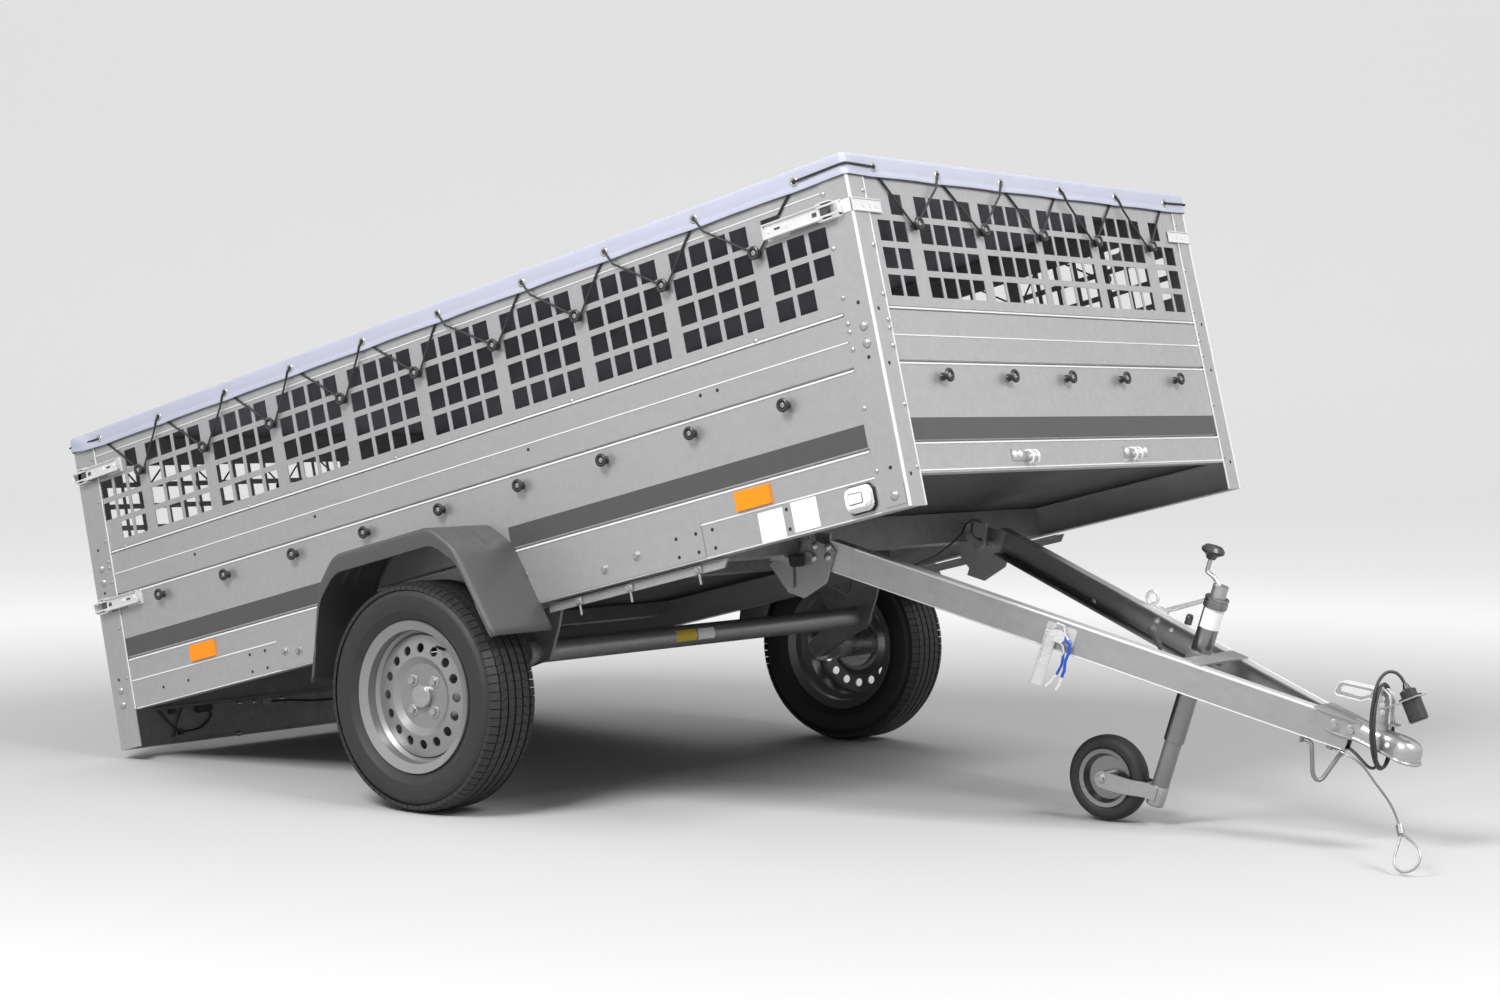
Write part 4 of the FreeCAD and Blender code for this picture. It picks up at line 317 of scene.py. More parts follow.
class ShaderShop:
    """Builds each pattern once as a node group, and each finish once as a material."""

    def __init__(self) -> None:
        """Start with no groups and no materials."""
        self.groups: dict[Effect, bpy.types.NodeTree] = {}
        self.made: dict[str, bpy.types.Material] = {}

    def group(self, effect: Effect) -> bpy.types.NodeTree:
        """Give the node group of a pattern, with a Share mask and a Height.

        Args:
            effect: the pattern.

        Returns:
            Its shader node group.
        """
        if effect not in self.groups:
            nodes = Nodes.group(effect.value.replace(" ", "_"), "ShaderNodeTree",
                                {"Vector": "Vector", "Scale": "Float"}, {"Share": "Float", "Height": "Float"})
            start, end = nodes.ends()
            share, height = getattr(self, effect.name.lower())(nodes, start)
            patches = self.noise(nodes, start, 2.3, 3.0, scaled=False)
            mixed = nodes.sum("MULTIPLY_ADD", patches, 0.45, share)
            nodes.join((nodes.sum("SUBTRACT", mixed, 0.2), end.inputs["Share"]), (height, end.inputs["Height"]))
            self.groups[effect] = nodes.tree
        return self.groups[effect]

    def noise(self, nodes: Nodes, start: bpy.types.Node, times: float, detail: float, scaled: bool = True,
              stretch: Point = (1.0, 1.0, 1.0)) -> bpy.types.NodeSocket:
        """Add a noise of the group's scale.

        Args:
            nodes: the group.
            start: its input node.
            times: the scale, or how many times the group's scale.
            detail: the noise's detail.
            scaled: whether it follows the group's scale.
            stretch: how the pattern is stretched along each axis.

        Returns:
            Its value.
        """
        node = nodes.add("ShaderNodeTexNoise", {"Detail": detail})
        mapping = nodes.add("ShaderNodeMapping", {"Scale": stretch})
        nodes.join((start.outputs["Vector"], mapping.inputs["Vector"]),
                   (mapping.outputs["Vector"], node.inputs["Vector"]))
        if scaled:
            nodes.join((nodes.sum("MULTIPLY", start.outputs["Scale"], times), node.inputs["Scale"]))
        else:
            node.inputs["Scale"].default_value = times
        return node.outputs[0]

    def cells(self, nodes: Nodes, start: bpy.types.Node, chance: float) -> bpy.types.Node:
        """Add cells of the group's scale.

        Args:
            nodes: the group.
            start: its input node.
            chance: how irregular the cells are.

        Returns:
            The node.
        """
        cells = nodes.add("ShaderNodeTexVoronoi", {"Randomness": chance})
        nodes.join(*((start.outputs[label], cells.inputs[label]) for label in ("Vector", "Scale")))
        return cells

    def spangle(self, nodes: Nodes, start: bpy.types.Node) -> tuple:
        """Zinc crystals: cells of slightly different grey, with faint drag lines."""
        tone = nodes.add("ShaderNodeSeparateColor")
        nodes.join((self.cells(nodes, start, 1.0).outputs["Color"], tone.inputs[0]))
        drag = self.noise(nodes, start, 0.5, 4.0, stretch=(0.08, 1.0, 1.0))
        blend = nodes.sum("MULTIPLY_ADD", tone.outputs[0], 0.3, nodes.sum("MULTIPLY", drag, 0.5))
        return blend, self.noise(nodes, start, 0.25, 3.0)

    def rolled(self, nodes: Nodes, start: bpy.types.Node) -> tuple:
        """Fine lines left by rolling and plating."""
        lines = self.noise(nodes, start, 3.0, 4.0, stretch=(0.06, 1.0, 1.0))
        return lines, lines

    def grain(self, nodes: Nodes, start: bpy.types.Node) -> tuple:
        """Fine moulded or painted grain."""
        fine = self.noise(nodes, start, 3.0, 6.0)
        return self.noise(nodes, start, 0.4, 5.0), fine

    def weave(self, nodes: Nodes, start: bpy.types.Node) -> tuple:
        """Threads that cross under a coating."""
        bands = []
        for direction in ("X", "Y"):
            wave = nodes.add("ShaderNodeTexWave", {"Distortion": 0.4}, bands_direction=direction)
            nodes.join((start.outputs["Vector"], wave.inputs["Vector"]),
                       (nodes.sum("MULTIPLY", start.outputs["Scale"], 0.32), wave.inputs["Scale"]))
            bands.append(wave.outputs["Fac"])
        cross = nodes.sum("MULTIPLY", *bands)
        return nodes.sum("MULTIPLY_ADD", cross, 0.4, self.noise(nodes, start, 0.02, 5.0)), cross

    def prism(self, nodes: Nodes, start: bpy.types.Node) -> tuple:
        """Small prisms moulded inside a reflector or lens."""
        away = self.cells(nodes, start, 0.0).outputs["Distance"]
        return away, away

    def material(self, finish: Finish) -> bpy.types.Material:
        """Give the material of a finish.

        Args:
            finish: the finish.

        Returns:
            Its material, built the first time.
        """
        if finish.name in self.made:
            return self.made[finish.name]
        material = bpy.data.materials.new(finish.name)
        material.use_nodes = True
        nodes = Nodes(material.node_tree)
        shader = nodes.tree.nodes["Principled BSDF"]
        for label, value in (("Metallic", finish.metallic), ("Coat Weight", finish.coat),
                             ("Sheen Weight", finish.sheen)):
            shader.inputs[label].default_value = value
        place = nodes.add("ShaderNodeTexCoord")
        pattern = nodes.add("ShaderNodeGroup", {"Scale": finish.scale}, node_tree=self.group(finish.effect))
        mask = nodes.add("ShaderNodeMapRange", {"To Max": finish.share * 2})
        tint = nodes.add("ShaderNodeMix", {"A": (*finish.colour, 1), "B": (*finish.second, 1)}, data_type="RGBA")
        gloss = nodes.add("ShaderNodeMapRange", dict(zip(("To Min", "To Max"), finish.rough)))
        relief = nodes.add("ShaderNodeBump", {"Strength": 0.6, "Distance": finish.bump * MM})
        nodes.join((place.outputs["Object"], pattern.inputs["Vector"]),
                   (pattern.outputs["Share"], mask.inputs["Value"]), (mask.outputs[0], tint.inputs["Factor"]),
                   (tint.outputs["Result"], shader.inputs["Base Color"]),
                   (pattern.outputs["Share"], gloss.inputs["Value"]), (gloss.outputs[0], shader.inputs["Roughness"]),
                   (pattern.outputs["Height"], relief.inputs["Height"]),
                   (relief.outputs["Normal"], shader.inputs["Normal"]))
        self.made[finish.name] = material
        return material


SHOP = ShaderShop()


class Former:
    """Builds one mesh in millimetres, in the frame of a placement."""

    def __init__(self, placement: Placement = BED) -> None:
        """Start an empty mesh.

        Args:
            placement: the frame that its sizes are given in.
        """
        self.placement = placement
        self.bm = bmesh.new()

    def plate(self, outline: Sequence[Flat], axis: str, low: float, high: float, bevel: float = 0.0) -> "Former":
        """Add a plate: an outline drawn square to an axis, made thick along it.

        Args:
            outline: its corners, in the order of the other two axes.
            axis: x, y or z.
            low: where it starts on the axis.
            high: where it ends on the axis.
            bevel: the radius of its edges.

        Returns:
            This former.
        """
        spot = "xyz".index(axis)
        near, far = ([self.bm.verts.new((*flat[:spot], level, *flat[spot:])) for flat in outline]
                     for level in (low, high))
        faces = [self.bm.faces.new(near), self.bm.faces.new(far)]
        for index in range(len(outline)):
            after = (index + 1) % len(outline)
            faces.append(self.bm.faces.new((near[index], near[after], far[after], far[index])))
        bmesh.ops.recalc_face_normals(self.bm, faces=faces)
        if bevel:
            edges = {edge for face in faces for edge in face.edges}
            bmesh.ops.bevel(self.bm, geom=list(edges), offset=bevel, segments=2, affect="EDGES", clamp_overlap=True)
        return self

    def block(self, low: Point, high: Point, bevel: float = 0.0) -> "Former":
        """Add a box between its lowest and its highest corner."""
        (x0, y0, z0), (x1, y1, z1) = low, high
        return self.plate([(x0, y0), (x1, y0), (x1, y1), (x0, y1)], "z", z0, z1, bevel)

    def skin(self, rows: Sequence[Sequence[Point]], ring: bool = False, caps: bool = False,
             loop: bool = False) -> "Former":
        """Add a surface through rows of points.

        Args:
            rows: rows of equally many points.
            ring: whether each row closes on itself.
            caps: whether the first and the last row are filled.
            loop: whether the last row joins the first one.

        Returns:
            This former.
        """
        grid = [[self.bm.verts.new(point) for point in row] for row in rows]
        faces = []
        count = len(grid[0])
        for lower, upper in zip(grid, grid[1:] + (grid[:1] if loop else [])):
            for index in range(count if ring else count - 1):
                after = (index + 1) % count
                faces.append(self.bm.faces.new((lower[index], lower[after], upper[after], upper[index])))
        if caps:
            faces += [self.bm.faces.new(grid[0][::-1]), self.bm.faces.new(grid[-1])]
        bmesh.ops.recalc_face_normals(self.bm, faces=faces)
        return self

    def lathe(self, profile: Sequence[Flat], centre: Point, axis: Point, steps: int = 32,
              hollow: bool = False) -> "Former":
        """Add a turned form.

        Args:
            profile: radius and height of each point, with radius 0 left out at the ends.
            centre: where height 0 lies.
            axis: the direction of its heights.
            steps: how many sides it has.
            hollow: whether the profile closes on itself, as a ring's does.

        Returns:
            This former.
        """
        turn = Vector((0, 0, 1)).rotation_difference(Vector(axis)).to_matrix()
        rows = []
        angles = [2 * math.pi * step / steps for step in range(steps)]
        for radius, height in profile:
            rows.append([Vector(centre) + turn @ Vector((radius * math.cos(a), radius * math.sin(a), height))
                         for a in angles])
        return self.skin(rows, ring=True, caps=not hollow, loop=hollow)

    def tube(self, path: Sequence[Point], radius: float, sides: int = 10) -> "Former":
        """Add a round bar along a path.

        Args:
            path: its points.
            radius: its radius.
            sides: how many sides it has.

        Returns:
            This former.
        """
        points = [Vector(point) for point in path]
        side = Vector((0, 1, 0.01)).cross(points[1] - points[0]).normalized()
        angles = [2 * math.pi * step / sides for step in range(sides)]
        rows = []
        for index, point in enumerate(points):
            before, after = points[max(index - 1, 0)], points[min(index + 1, len(points) - 1)]
            along = (after - before).normalized()
            side = (side - along * side.dot(along)).normalized()
            up = along.cross(side)
            rows.append([point + (side * math.cos(a) + up * math.sin(a)) * radius for a in angles])
        return self.skin(rows, ring=True, caps=True)

    def mirrored(self) -> "Former":
        """Add the same forms on the other side of the trailer."""
        copy = bmesh.ops.duplicate(self.bm, geom=self.bm.verts[:] + self.bm.edges[:] + self.bm.faces[:])["geom"]
        verts = [item for item in copy if isinstance(item, bmesh.types.BMVert)]
        for vert in verts:
            vert.co.y = -vert.co.y
        bmesh.ops.reverse_faces(self.bm, faces=[item for item in copy if isinstance(item, bmesh.types.BMFace)])
        return self

    def flipped(self) -> "Former":
        """Turn all faces round."""
        bmesh.ops.reverse_faces(self.bm, faces=self.bm.faces[:])
        return self

    def facing(self, way: Point) -> "Former":
        """Turn all faces round where they look away from a direction.

        Args:
            way: the direction that an open surface shows its face to.

        Returns:
            This former.
        """
        self.bm.normal_update()
        seen = sum(face.normal.dot(way) * face.calc_area() for face in self.bm.faces)
        return self if seen >= 0 else self.flipped()

    def swapped(self) -> "Former":
        """Move the forms to the other side of the trailer."""
        for vert in self.bm.verts:
            vert.co.y = -vert.co.y
        return self.flipped()

    def object(self, name: str, crisp: float = 0.0) -> bpy.types.Object:
        """Turn the mesh into an object, in metres.

        Args:
            name: the object's name.
            crisp: edges sharper than this angle stay crisp, in degrees. Each face stays flat at 0.

        Returns:
            The object.
        """
        if crisp:
            for edge in self.bm.edges:
                edge.smooth = edge.calc_face_angle(0.0) < math.radians(crisp)
            for face in self.bm.faces:
                face.smooth = True
        self.bm.transform(self.placement.matrix())
        mesh = bpy.data.meshes.new(name)
        self.bm.to_mesh(mesh)
        self.bm.free()
        return placed(name, mesh)

    def done(self, name: str, finish: Finish, body: str, slot: str, crisp: float = 32.0) -> bpy.types.Object:
        """Turn the mesh into a finished piece that rides on a body.

        Args:
            name: the piece's name.
            finish: its finish.
            body: the body that it moves with.
            slot: not used.
            crisp: edges sharper than this angle stay crisp, in degrees.

        Returns:
            The piece.
        """
        piece = self.object(name, crisp)
        piece.data.materials.append(SHOP.material(finish))
        return settled(piece, body)


def settled(piece: bpy.types.Object, body: str) -> bpy.types.Object:
    """Make a piece ride on its body and report it.

    Args:
        piece: the finished object.
        body: the body that it moves with.

    Returns:
        The piece.
    """
    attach(piece, body)
    LOG.info("%s on %s", piece.name, body)
    return piece


def thickened(piece: bpy.types.Object, sheet: float) -> None:
    """Give an open surface its thickness.

    Args:
        piece: the surface.
        sheet: the thickness inwards, in millimetres.
    """
    thick = piece.modifiers.new("sheet", "SOLIDIFY")
    thick.thickness = sheet * MM
    thick.offset = -1


@dataclass(frozen=True)
class Spot:
    """Where one copy of a repeated form stands: its foot, and the way it points."""

    foot: Point
    out: Point
    size: float = 1.0


def pairs(places: Sequence[Point], out: Point, size: float = 1.0) -> list[Spot]:
    """Give a spot on the right and on the left for each place of the left side."""
    return [Spot((x, side * y, z), (out[0], side * out[1], out[2]), size) for x, y, z in places for side in SIDES]


class Repeater:
    """Sets copies of one small form on many spots, through one Geometry Nodes tree."""

    def __init__(self) -> None:
        """Build the node tree with its named inputs."""
        nodes = Nodes.group("set_on_spots", "GeometryNodeTree",
                            {"Spots": "Geometry", "Form": "Object", "Finish": "Material", "Spin": "Float"},
                            {"Copies": "Geometry"})
        start, end = nodes.ends()
        form = nodes.add("GeometryNodeObjectInfo", {"As Instance": True})
        turn, size = (nodes.add("GeometryNodeInputNamedAttribute", {"Name": name}, data_type=kind).outputs["Attribute"]
                      for name, kind in (("turn", "FLOAT_VECTOR"), ("size", "FLOAT")))
        as_turn = nodes.add("FunctionNodeEulerToRotation")
        copies = nodes.add("GeometryNodeInstanceOnPoints")
        chance = nodes.add("FunctionNodeRandomValue", {"Seed": 7})
        about = nodes.add("ShaderNodeCombineXYZ")
        spin = nodes.add("GeometryNodeRotateInstances")
        real = nodes.add("GeometryNodeRealizeInstances")
        dress = nodes.add("GeometryNodeSetMaterial")
        nodes.join((start.outputs["Spots"], copies.inputs["Points"]), (start.outputs["Form"], form.inputs["Object"]),
                   (form.outputs["Geometry"], copies.inputs["Instance"]), (turn, as_turn.inputs[0]),
                   (as_turn.outputs[0], copies.inputs["Rotation"]), (size, copies.inputs["Scale"]),
                   (start.outputs["Spin"], chance.inputs[3]), (chance.outputs[1], about.inputs["Z"]),
                   (copies.outputs[0], spin.inputs["Instances"]), (about.outputs[0], spin.inputs["Rotation"]),
                   (spin.outputs[0], real.inputs[0]), (real.outputs[0], dress.inputs["Geometry"]),
                   (start.outputs["Finish"], dress.inputs["Material"]), (dress.outputs[0], end.inputs["Copies"]))
        self.nodes = nodes

    def set(self, name: str, form: "Form", spots: Sequence[Spot], finish: Finish, body: str, slot: str,
            placement: Placement = BED, spin: float = 6.28) -> bpy.types.Object:
        """Set a form on spots and give the plain mesh of all the copies.

        Args:
            name: the piece's name.
            form: the small form, standing on its foot and pointing along z.
            spots: where the copies stand.
            finish: their finish.
            body: the body that they move with.
            slot: not used.
            placement: the frame of the spots.
            spin: the most that a copy is turned about its own axis, in radians.

        Returns:
            The piece.
        """
        mesh = bpy.data.meshes.new(name + "_spots")
        mesh.from_pydata([placement.at(spot.foot) for spot in spots], [], [])
        mesh.attributes.new("turn", "FLOAT_VECTOR", "POINT")
        mesh.attributes.new("size", "FLOAT", "POINT")
        turns, sizes = mesh.attributes["turn"], mesh.attributes["size"]
        way = placement.matrix().to_quaternion()
        for index, spot in enumerate(spots):
            out = way @ Vector(spot.out)
            turns.data[index].vector = Vector((0, 0, 1)).rotation_difference(out).to_euler()
            sizes.data[index].value = spot.size
        values = {"Form": form.object(), "Finish": SHOP.material(finish), "Spin": spin}
        return settled(self.nodes.run(name, mesh, values), body)


@dataclass(frozen=True)
class Form:
    """A small turned form that is repeated: profiles of radius and height in millimetres.

    Args:
        profiles: one profile for each turned part.
        sides: how many sides each part has.
    """

    profiles: tuple[Flats, ...]
    sides: tuple[int, ...] = (20,)

    def object(self) -> bpy.types.Object:
        """Make the form as an object of its own, in metres."""
        former = Former(SCENE)
        for profile, sides in zip(self.profiles, self.sides):
            former.lathe(profile, (0, 0, 0), (0, 0, 1), sides)
        return former.object("form", 35)


RIVET = Form((((5.5, -0.5), (5.5, 0.4), (5.0, 1.6), (3.4, 2.6), (1.2, 3.0)),), (16,))
BOLT = Form((((11.5, -0.5), (11.5, 1.2), (10.8, 1.6), (8.4, 1.8)),
             ((8.2, 1.6), (8.2, 6.4), (7.4, 7.4), (3.0, 7.6))), (24, 6))
DOME = Form((((10.5, -0.5), (10.5, 0.8), (9.4, 3.2), (6.6, 5.2), (2.6, 6.2)),), (24,))
# A thin disc laid in an open hole; its darkness is painted shade.
HOLE_SHADE_DISC = Form((((4.4, -0.3), (4.4, 0.25), (0.6, 0.25)),), (18,))
KNOB = Form((((9.5, 0.0), (8.2, 3.0), (7.2, 9.0), (8.4, 13.0), (15.0, 15.2), (16.0, 17.6), (15.2, 20.6), (12.4, 22.0),
              (9.4, 21.4), (7.8, 19.4), (7.4, 17.0)),), (28,))
KNOB_SCREW = Form((((6.8, 16.0), (6.8, 17.6), (5.4, 19.6), (2.6, 20.2), (2.2, 18.8), (0.8, 18.8)),), (20,))
EYELET = Form((((11.0, -0.6), (11.0, 0.3), (9.8, 1.5), (7.6, 1.9), (5.8, 1.2), (5.2, -0.6)),), (24,))


@dataclass
class Studio:
    """Camera, lights, floor and backdrop."""

    eye: Point = (4.1185, -5.2654, 0.9623)
    look: Point = (-0.61647, 0.78655, -0.03600)
    lens: float = 62.54
    sensor: float = 36.0
    floor_level: float = -2.0
    floor_start: float = -22000.0
    bend: float = 18000.0
    bend_radius: float = 4000.0
    half_width: float = 24000.0
    wall_top: float = 20000.0
    bounce: Colour = (0.46, 0.46, 0.46)
    backdrop: Colour = (0.56, 0.56, 0.56)
    fade: Flat = (1.6, 6.5)
    sky: float = 0.32
    lamps: tuple[tuple[str, Point, float, float], ...] = (
        ("key", (5.6, -0.5, 5.2), 2.4, 350), ("side", (0.5, -5.4, 5.4), 2.6, 490), ("far", (-3.5, 4.5, 4.5), 3.5, 70))

    def camera(self) -> None:
        """Set the camera at the photograph's place and angle."""
        data = bpy.data.cameras.new("camera")
        data.sensor_fit = "HORIZONTAL"
        data.sensor_width = self.sensor
        data.lens = self.lens
        data.clip_end = 200
        camera = placed("camera", data)
        camera.location = self.eye
        camera.rotation_euler = Vector(self.look).to_track_quat("-Z", "Y").to_euler()
        bpy.context.scene.camera = camera

    def floor(self) -> None:
        """Make one pale sheet that is the floor and curves up behind the trailer."""
        profile = [(away, self.floor_level) for away in (self.floor_start, 7000.0, self.bend)]
        radius = self.bend_radius
        profile += [(self.bend + radius * math.sin(a), radius * (1 - math.cos(a)) + self.floor_level)
                    for a in (0.2, 0.5, 0.8, 1.1, 1.35, 1.57)]
        profile.append((self.bend + radius, self.wall_top))
        heading = Vector((self.look[0], self.look[1], 0)).normalized()
        side = Vector((-heading.y, heading.x, 0)) * self.half_width
        middles = [heading * away + Vector((0, 0, up)) for away, up in profile]
        former = Former(SCENE).skin([[middle - side, middle, middle + side] for middle in middles]).facing((0, 0, 1))
        sheet = former.object("studio_floor", 180)
        sheet.data.materials.append(self.pale(SHOP.material(STUDIO)))

    def pale(self, material: bpy.types.Material) -> bpy.types.Material:
        """Show the floor pale to the camera and in mirrors, and let it throw back less light.

        Args:
            material: the floor's material.

        Returns:
            The same material.
        """
        nodes = Nodes(material.node_tree)
        shader = nodes.tree.nodes["Principled BSDF"]
        colour = shader.inputs["Base Color"].links[0].from_socket
        path, place = nodes.add("ShaderNodeLightPath"), nodes.add("ShaderNodeTexCoord")
        seen = nodes.sum("ADD", path.outputs["Is Camera Ray"], path.outputs["Is Glossy Ray"], clamp=True)
        mix = nodes.add("ShaderNodeMix", {"A": (*self.bounce, 1)}, data_type="RGBA")
        away = nodes.add("ShaderNodeVectorMath", operation="LENGTH")
        ramp = nodes.add("ShaderNodeMapRange", dict(zip(("From Min", "From Max"), self.fade)),
                         interpolation_type="SMOOTHSTEP")
        glow = nodes.add("ShaderNodeMix", {"A": (0, 0, 0, 1), "B": (*self.backdrop, 1)}, data_type="RGBA")
        far = nodes.sum("MULTIPLY", ramp.outputs[0], path.outputs["Is Camera Ray"])
        nodes.join((seen, mix.inputs["Factor"]), (colour, mix.inputs["B"]),
                   (mix.outputs["Result"], shader.inputs["Base Color"]), (place.outputs["Object"], away.inputs[0]),
                   (away.outputs["Value"], ramp.inputs["Value"]), (far, glow.inputs["Factor"]),
                   (glow.outputs["Result"], shader.inputs["Emission Color"]))
        shader.inputs["Emission Strength"].default_value = 1.0
        return material

    def lamp(self, name: str, place: Point, size: float, power: float) -> None:
        """Add one soft lamp that points at the trailer.

        Args:
            name: its name.
            place: where it stands, in metres.
            size: its side, in metres.
            power: its power, in watts.
        """
        data = bpy.data.lights.new(name, "AREA")
        data.size, data.energy = size, power
        lamp = placed(name, data)
        lamp.location = place
        lamp.rotation_euler = (Vector((0, 0, 0.6)) - Vector(place)).to_track_quat("-Z", "Y").to_euler()

    def world(self) -> None:
        """Light all round softly, and show white where nothing stands."""
        world = bpy.data.worlds.new("studio")
        world.use_nodes = True
        bpy.context.scene.world = world
        nodes = Nodes(world.node_tree)
        nodes.tree.nodes.clear()
        rays = nodes.add("ShaderNodeLightPath").outputs
        soft, white = (nodes.add("ShaderNodeBackground", {"Strength": power, "Color": (1, 1, 1, 1)})
                       for power in (self.sky, 1.0))
        seen = nodes.sum("ADD", rays["Is Camera Ray"], rays["Is Glossy Ray"])
        mirrored = nodes.sum("ADD", seen, rays["Is Transmission Ray"], clamp=True)
        mix, out = nodes.add("ShaderNodeMixShader"), nodes.add("ShaderNodeOutputWorld")
        nodes.join(*zip((mirrored, soft.outputs[0], white.outputs[0]), mix.inputs), (mix.outputs[0], out.inputs[0]))

    def build(self) -> None:
        """Make the whole studio."""
        self.camera()
        self.floor()
        self.world()
        for lamp in self.lamps:
            self.lamp(*lamp)
        bpy.context.scene.view_settings.view_transform = "Standard"


@dataclass
class Lead:
    """The lead from the arms to the plug, hung in two turns round the coupling's neck."""

    diameter: float = 7.0
    length: float = 1.34
    tail: Points = ((1150, 23, -7), (1186, 12, -6), (1221, 3, -6), (1253, -1, -9), (1281, -6, -20),
                               (1306, -15, -27), (1326, -28, -17))
    end: Points = ((1281, -48, 124), (1276, -44, 148), (1273, -32, 171), (1277, -16, 187), (1290, -4, 191),
                              (1305, 0, 185), (1317, 0, 174))
    centre: Point = (1299.5, 0, 66.6)
    half_height: float = 93.0
    half_width: float = 52.0
    first_angle: float = -140.0
    last_angle: float = -915.0
    points_a_turn: int = 14
    apart: float = 4.2

    def turns(self) -> list[Point]:
        """Work out the points of the turns, which fan out a little as they go."""
        lean = math.radians(BAR.nose_up)
        up, ahead = (math.sin(lean), math.cos(lean)), (math.cos(lean), -math.sin(lean))
        count = round((self.first_angle - self.last_angle) / 360 * self.points_a_turn)
        points = []
        for index in range(count + 1):
            share = index / count
            angle = math.radians(self.first_angle + share * (self.last_angle - self.first_angle))
            grow = 1.0 + 0.02 * math.sin(3 * share * math.pi)
            high = self.half_height * grow * math.sin(angle)
            shift = self.apart * (1 - 2 * share)
            points.append((self.centre[0] + up[0] * high + ahead[0] * shift,
                           self.half_width * grow * math.cos(angle),
                           self.centre[2] + up[1] * high + ahead[1] * shift))
        return points

    def build(self) -> None:
        """Make the lead as one smooth curve."""
        points = [*self.tail, *self.turns(), *self.end]
        cable = smooth_cord("lead", points, BAR, self.diameter, SHEATH)
        settled(cable, "drawbar")
        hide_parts("lead_coil", "lead_ends")
        tuple(BAR.at(self.tail[0]))


@dataclass
class SafetyWire:
    """The steel wire that hangs from the drawbar and ends in a crimped loop."""

    diameter: float = 5.0
    length: float = 0.583
    route: Points = (
        (1924, -12, 215), (1952, -13, 206), (1981, -18, 195), (2011, -36, 181), (2046, -64, 156), (2085, -98, 136),
        (2117, -134, 120), (2141, -166, 106), (2163, -198, 92), (2173, -211, 75), (2170, -222, 52), (2168, -235, 31),
        (2174, -246, 14), (2190, -253, 6), (2210, -255, 8), (2226, -251, 20), (2231, -243, 39), (2222, -234, 55),
        (2204, -226, 66), (2179, -214, 77))

    def build(self) -> None:
        """Make the wire as one smooth curve."""
        wire = smooth_cord("safety_wire_line", self.route, GROUND, self.diameter, WIRE_STEEL)
        settled(wire, "drawbar")
        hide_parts("safety_wire")
        tuple(GROUND.at(self.route[0]))


def smooth_cord(name: str, points: Sequence[Point], placement: Placement, diameter: float,
                finish: Finish) -> bpy.types.Object:
    """Make a cord as one open NURBS spline through control points.

    Args:
        name: the piece's name.
        points: the control points, in the placement's frame.
        placement: the frame of the points.
        diameter: the cord's diameter, in millimetres.
        finish: its finish.

    Returns:
        The curve object.
    """
    curve = bpy.data.curves.new(name, "CURVE")
    curve.dimensions = "3D"
    curve.bevel_depth = diameter / 2 * MM
    curve.bevel_resolution = 4
    curve.use_fill_caps = True
    spline = curve.splines.new("NURBS")
    spline.points.add(len(points) - 1)
    for node, point in zip(spline.points, points):
        node.co = (*placement.at(point), 1)
    spline.order_u = 3
    spline.use_endpoint_u = True
    spline.resolution_u = 8
    curve.materials.append(SHOP.material(finish))
    return placed(name, curve)


@dataclass
class Wall:
    """One side of the body, with a way along it, a level and a distance outwards."""

    along: Point
    out: Point
    face: float
    knobs: tuple[float, ...]
    eyelets: tuple[float, ...]

    def at(self, way: float, level: float, out: float) -> Point:
        """Give a place on this side: the way along it, its level, and how far out of its face it lies."""
        x, y = (self.along[i] * way + self.out[i] * (self.face + out) for i in (0, 1))
        return (x, y, level)


SIDE_EYELETS = (-1206, -947, -671, -412, -139, 132, 419, 686, 959, 1248)
END_EYELETS = (-640, -393, -130, 130, 393, 640)
RIGHT = Wall((1, 0, 0), (0, -1, 0), HALF_WIDTH, SIDE_KNOBS, SIDE_EYELETS)
LEFT = Wall((-1, 0, 0), (0, 1, 0), HALF_WIDTH, tuple(-x for x in SIDE_KNOBS[::-1]),
            tuple(-x for x in SIDE_EYELETS[::-1]))
FRONT = Wall((0, 1, 0), (1, 0, 0), BED_FRONT, END_KNOBS, END_EYELETS)
REAR = Wall((0, -1, 0), (-1, 0, 0), -BED_REAR, END_KNOBS, END_EYELETS)
WALLS = (RIGHT, FRONT, LEFT, REAR)


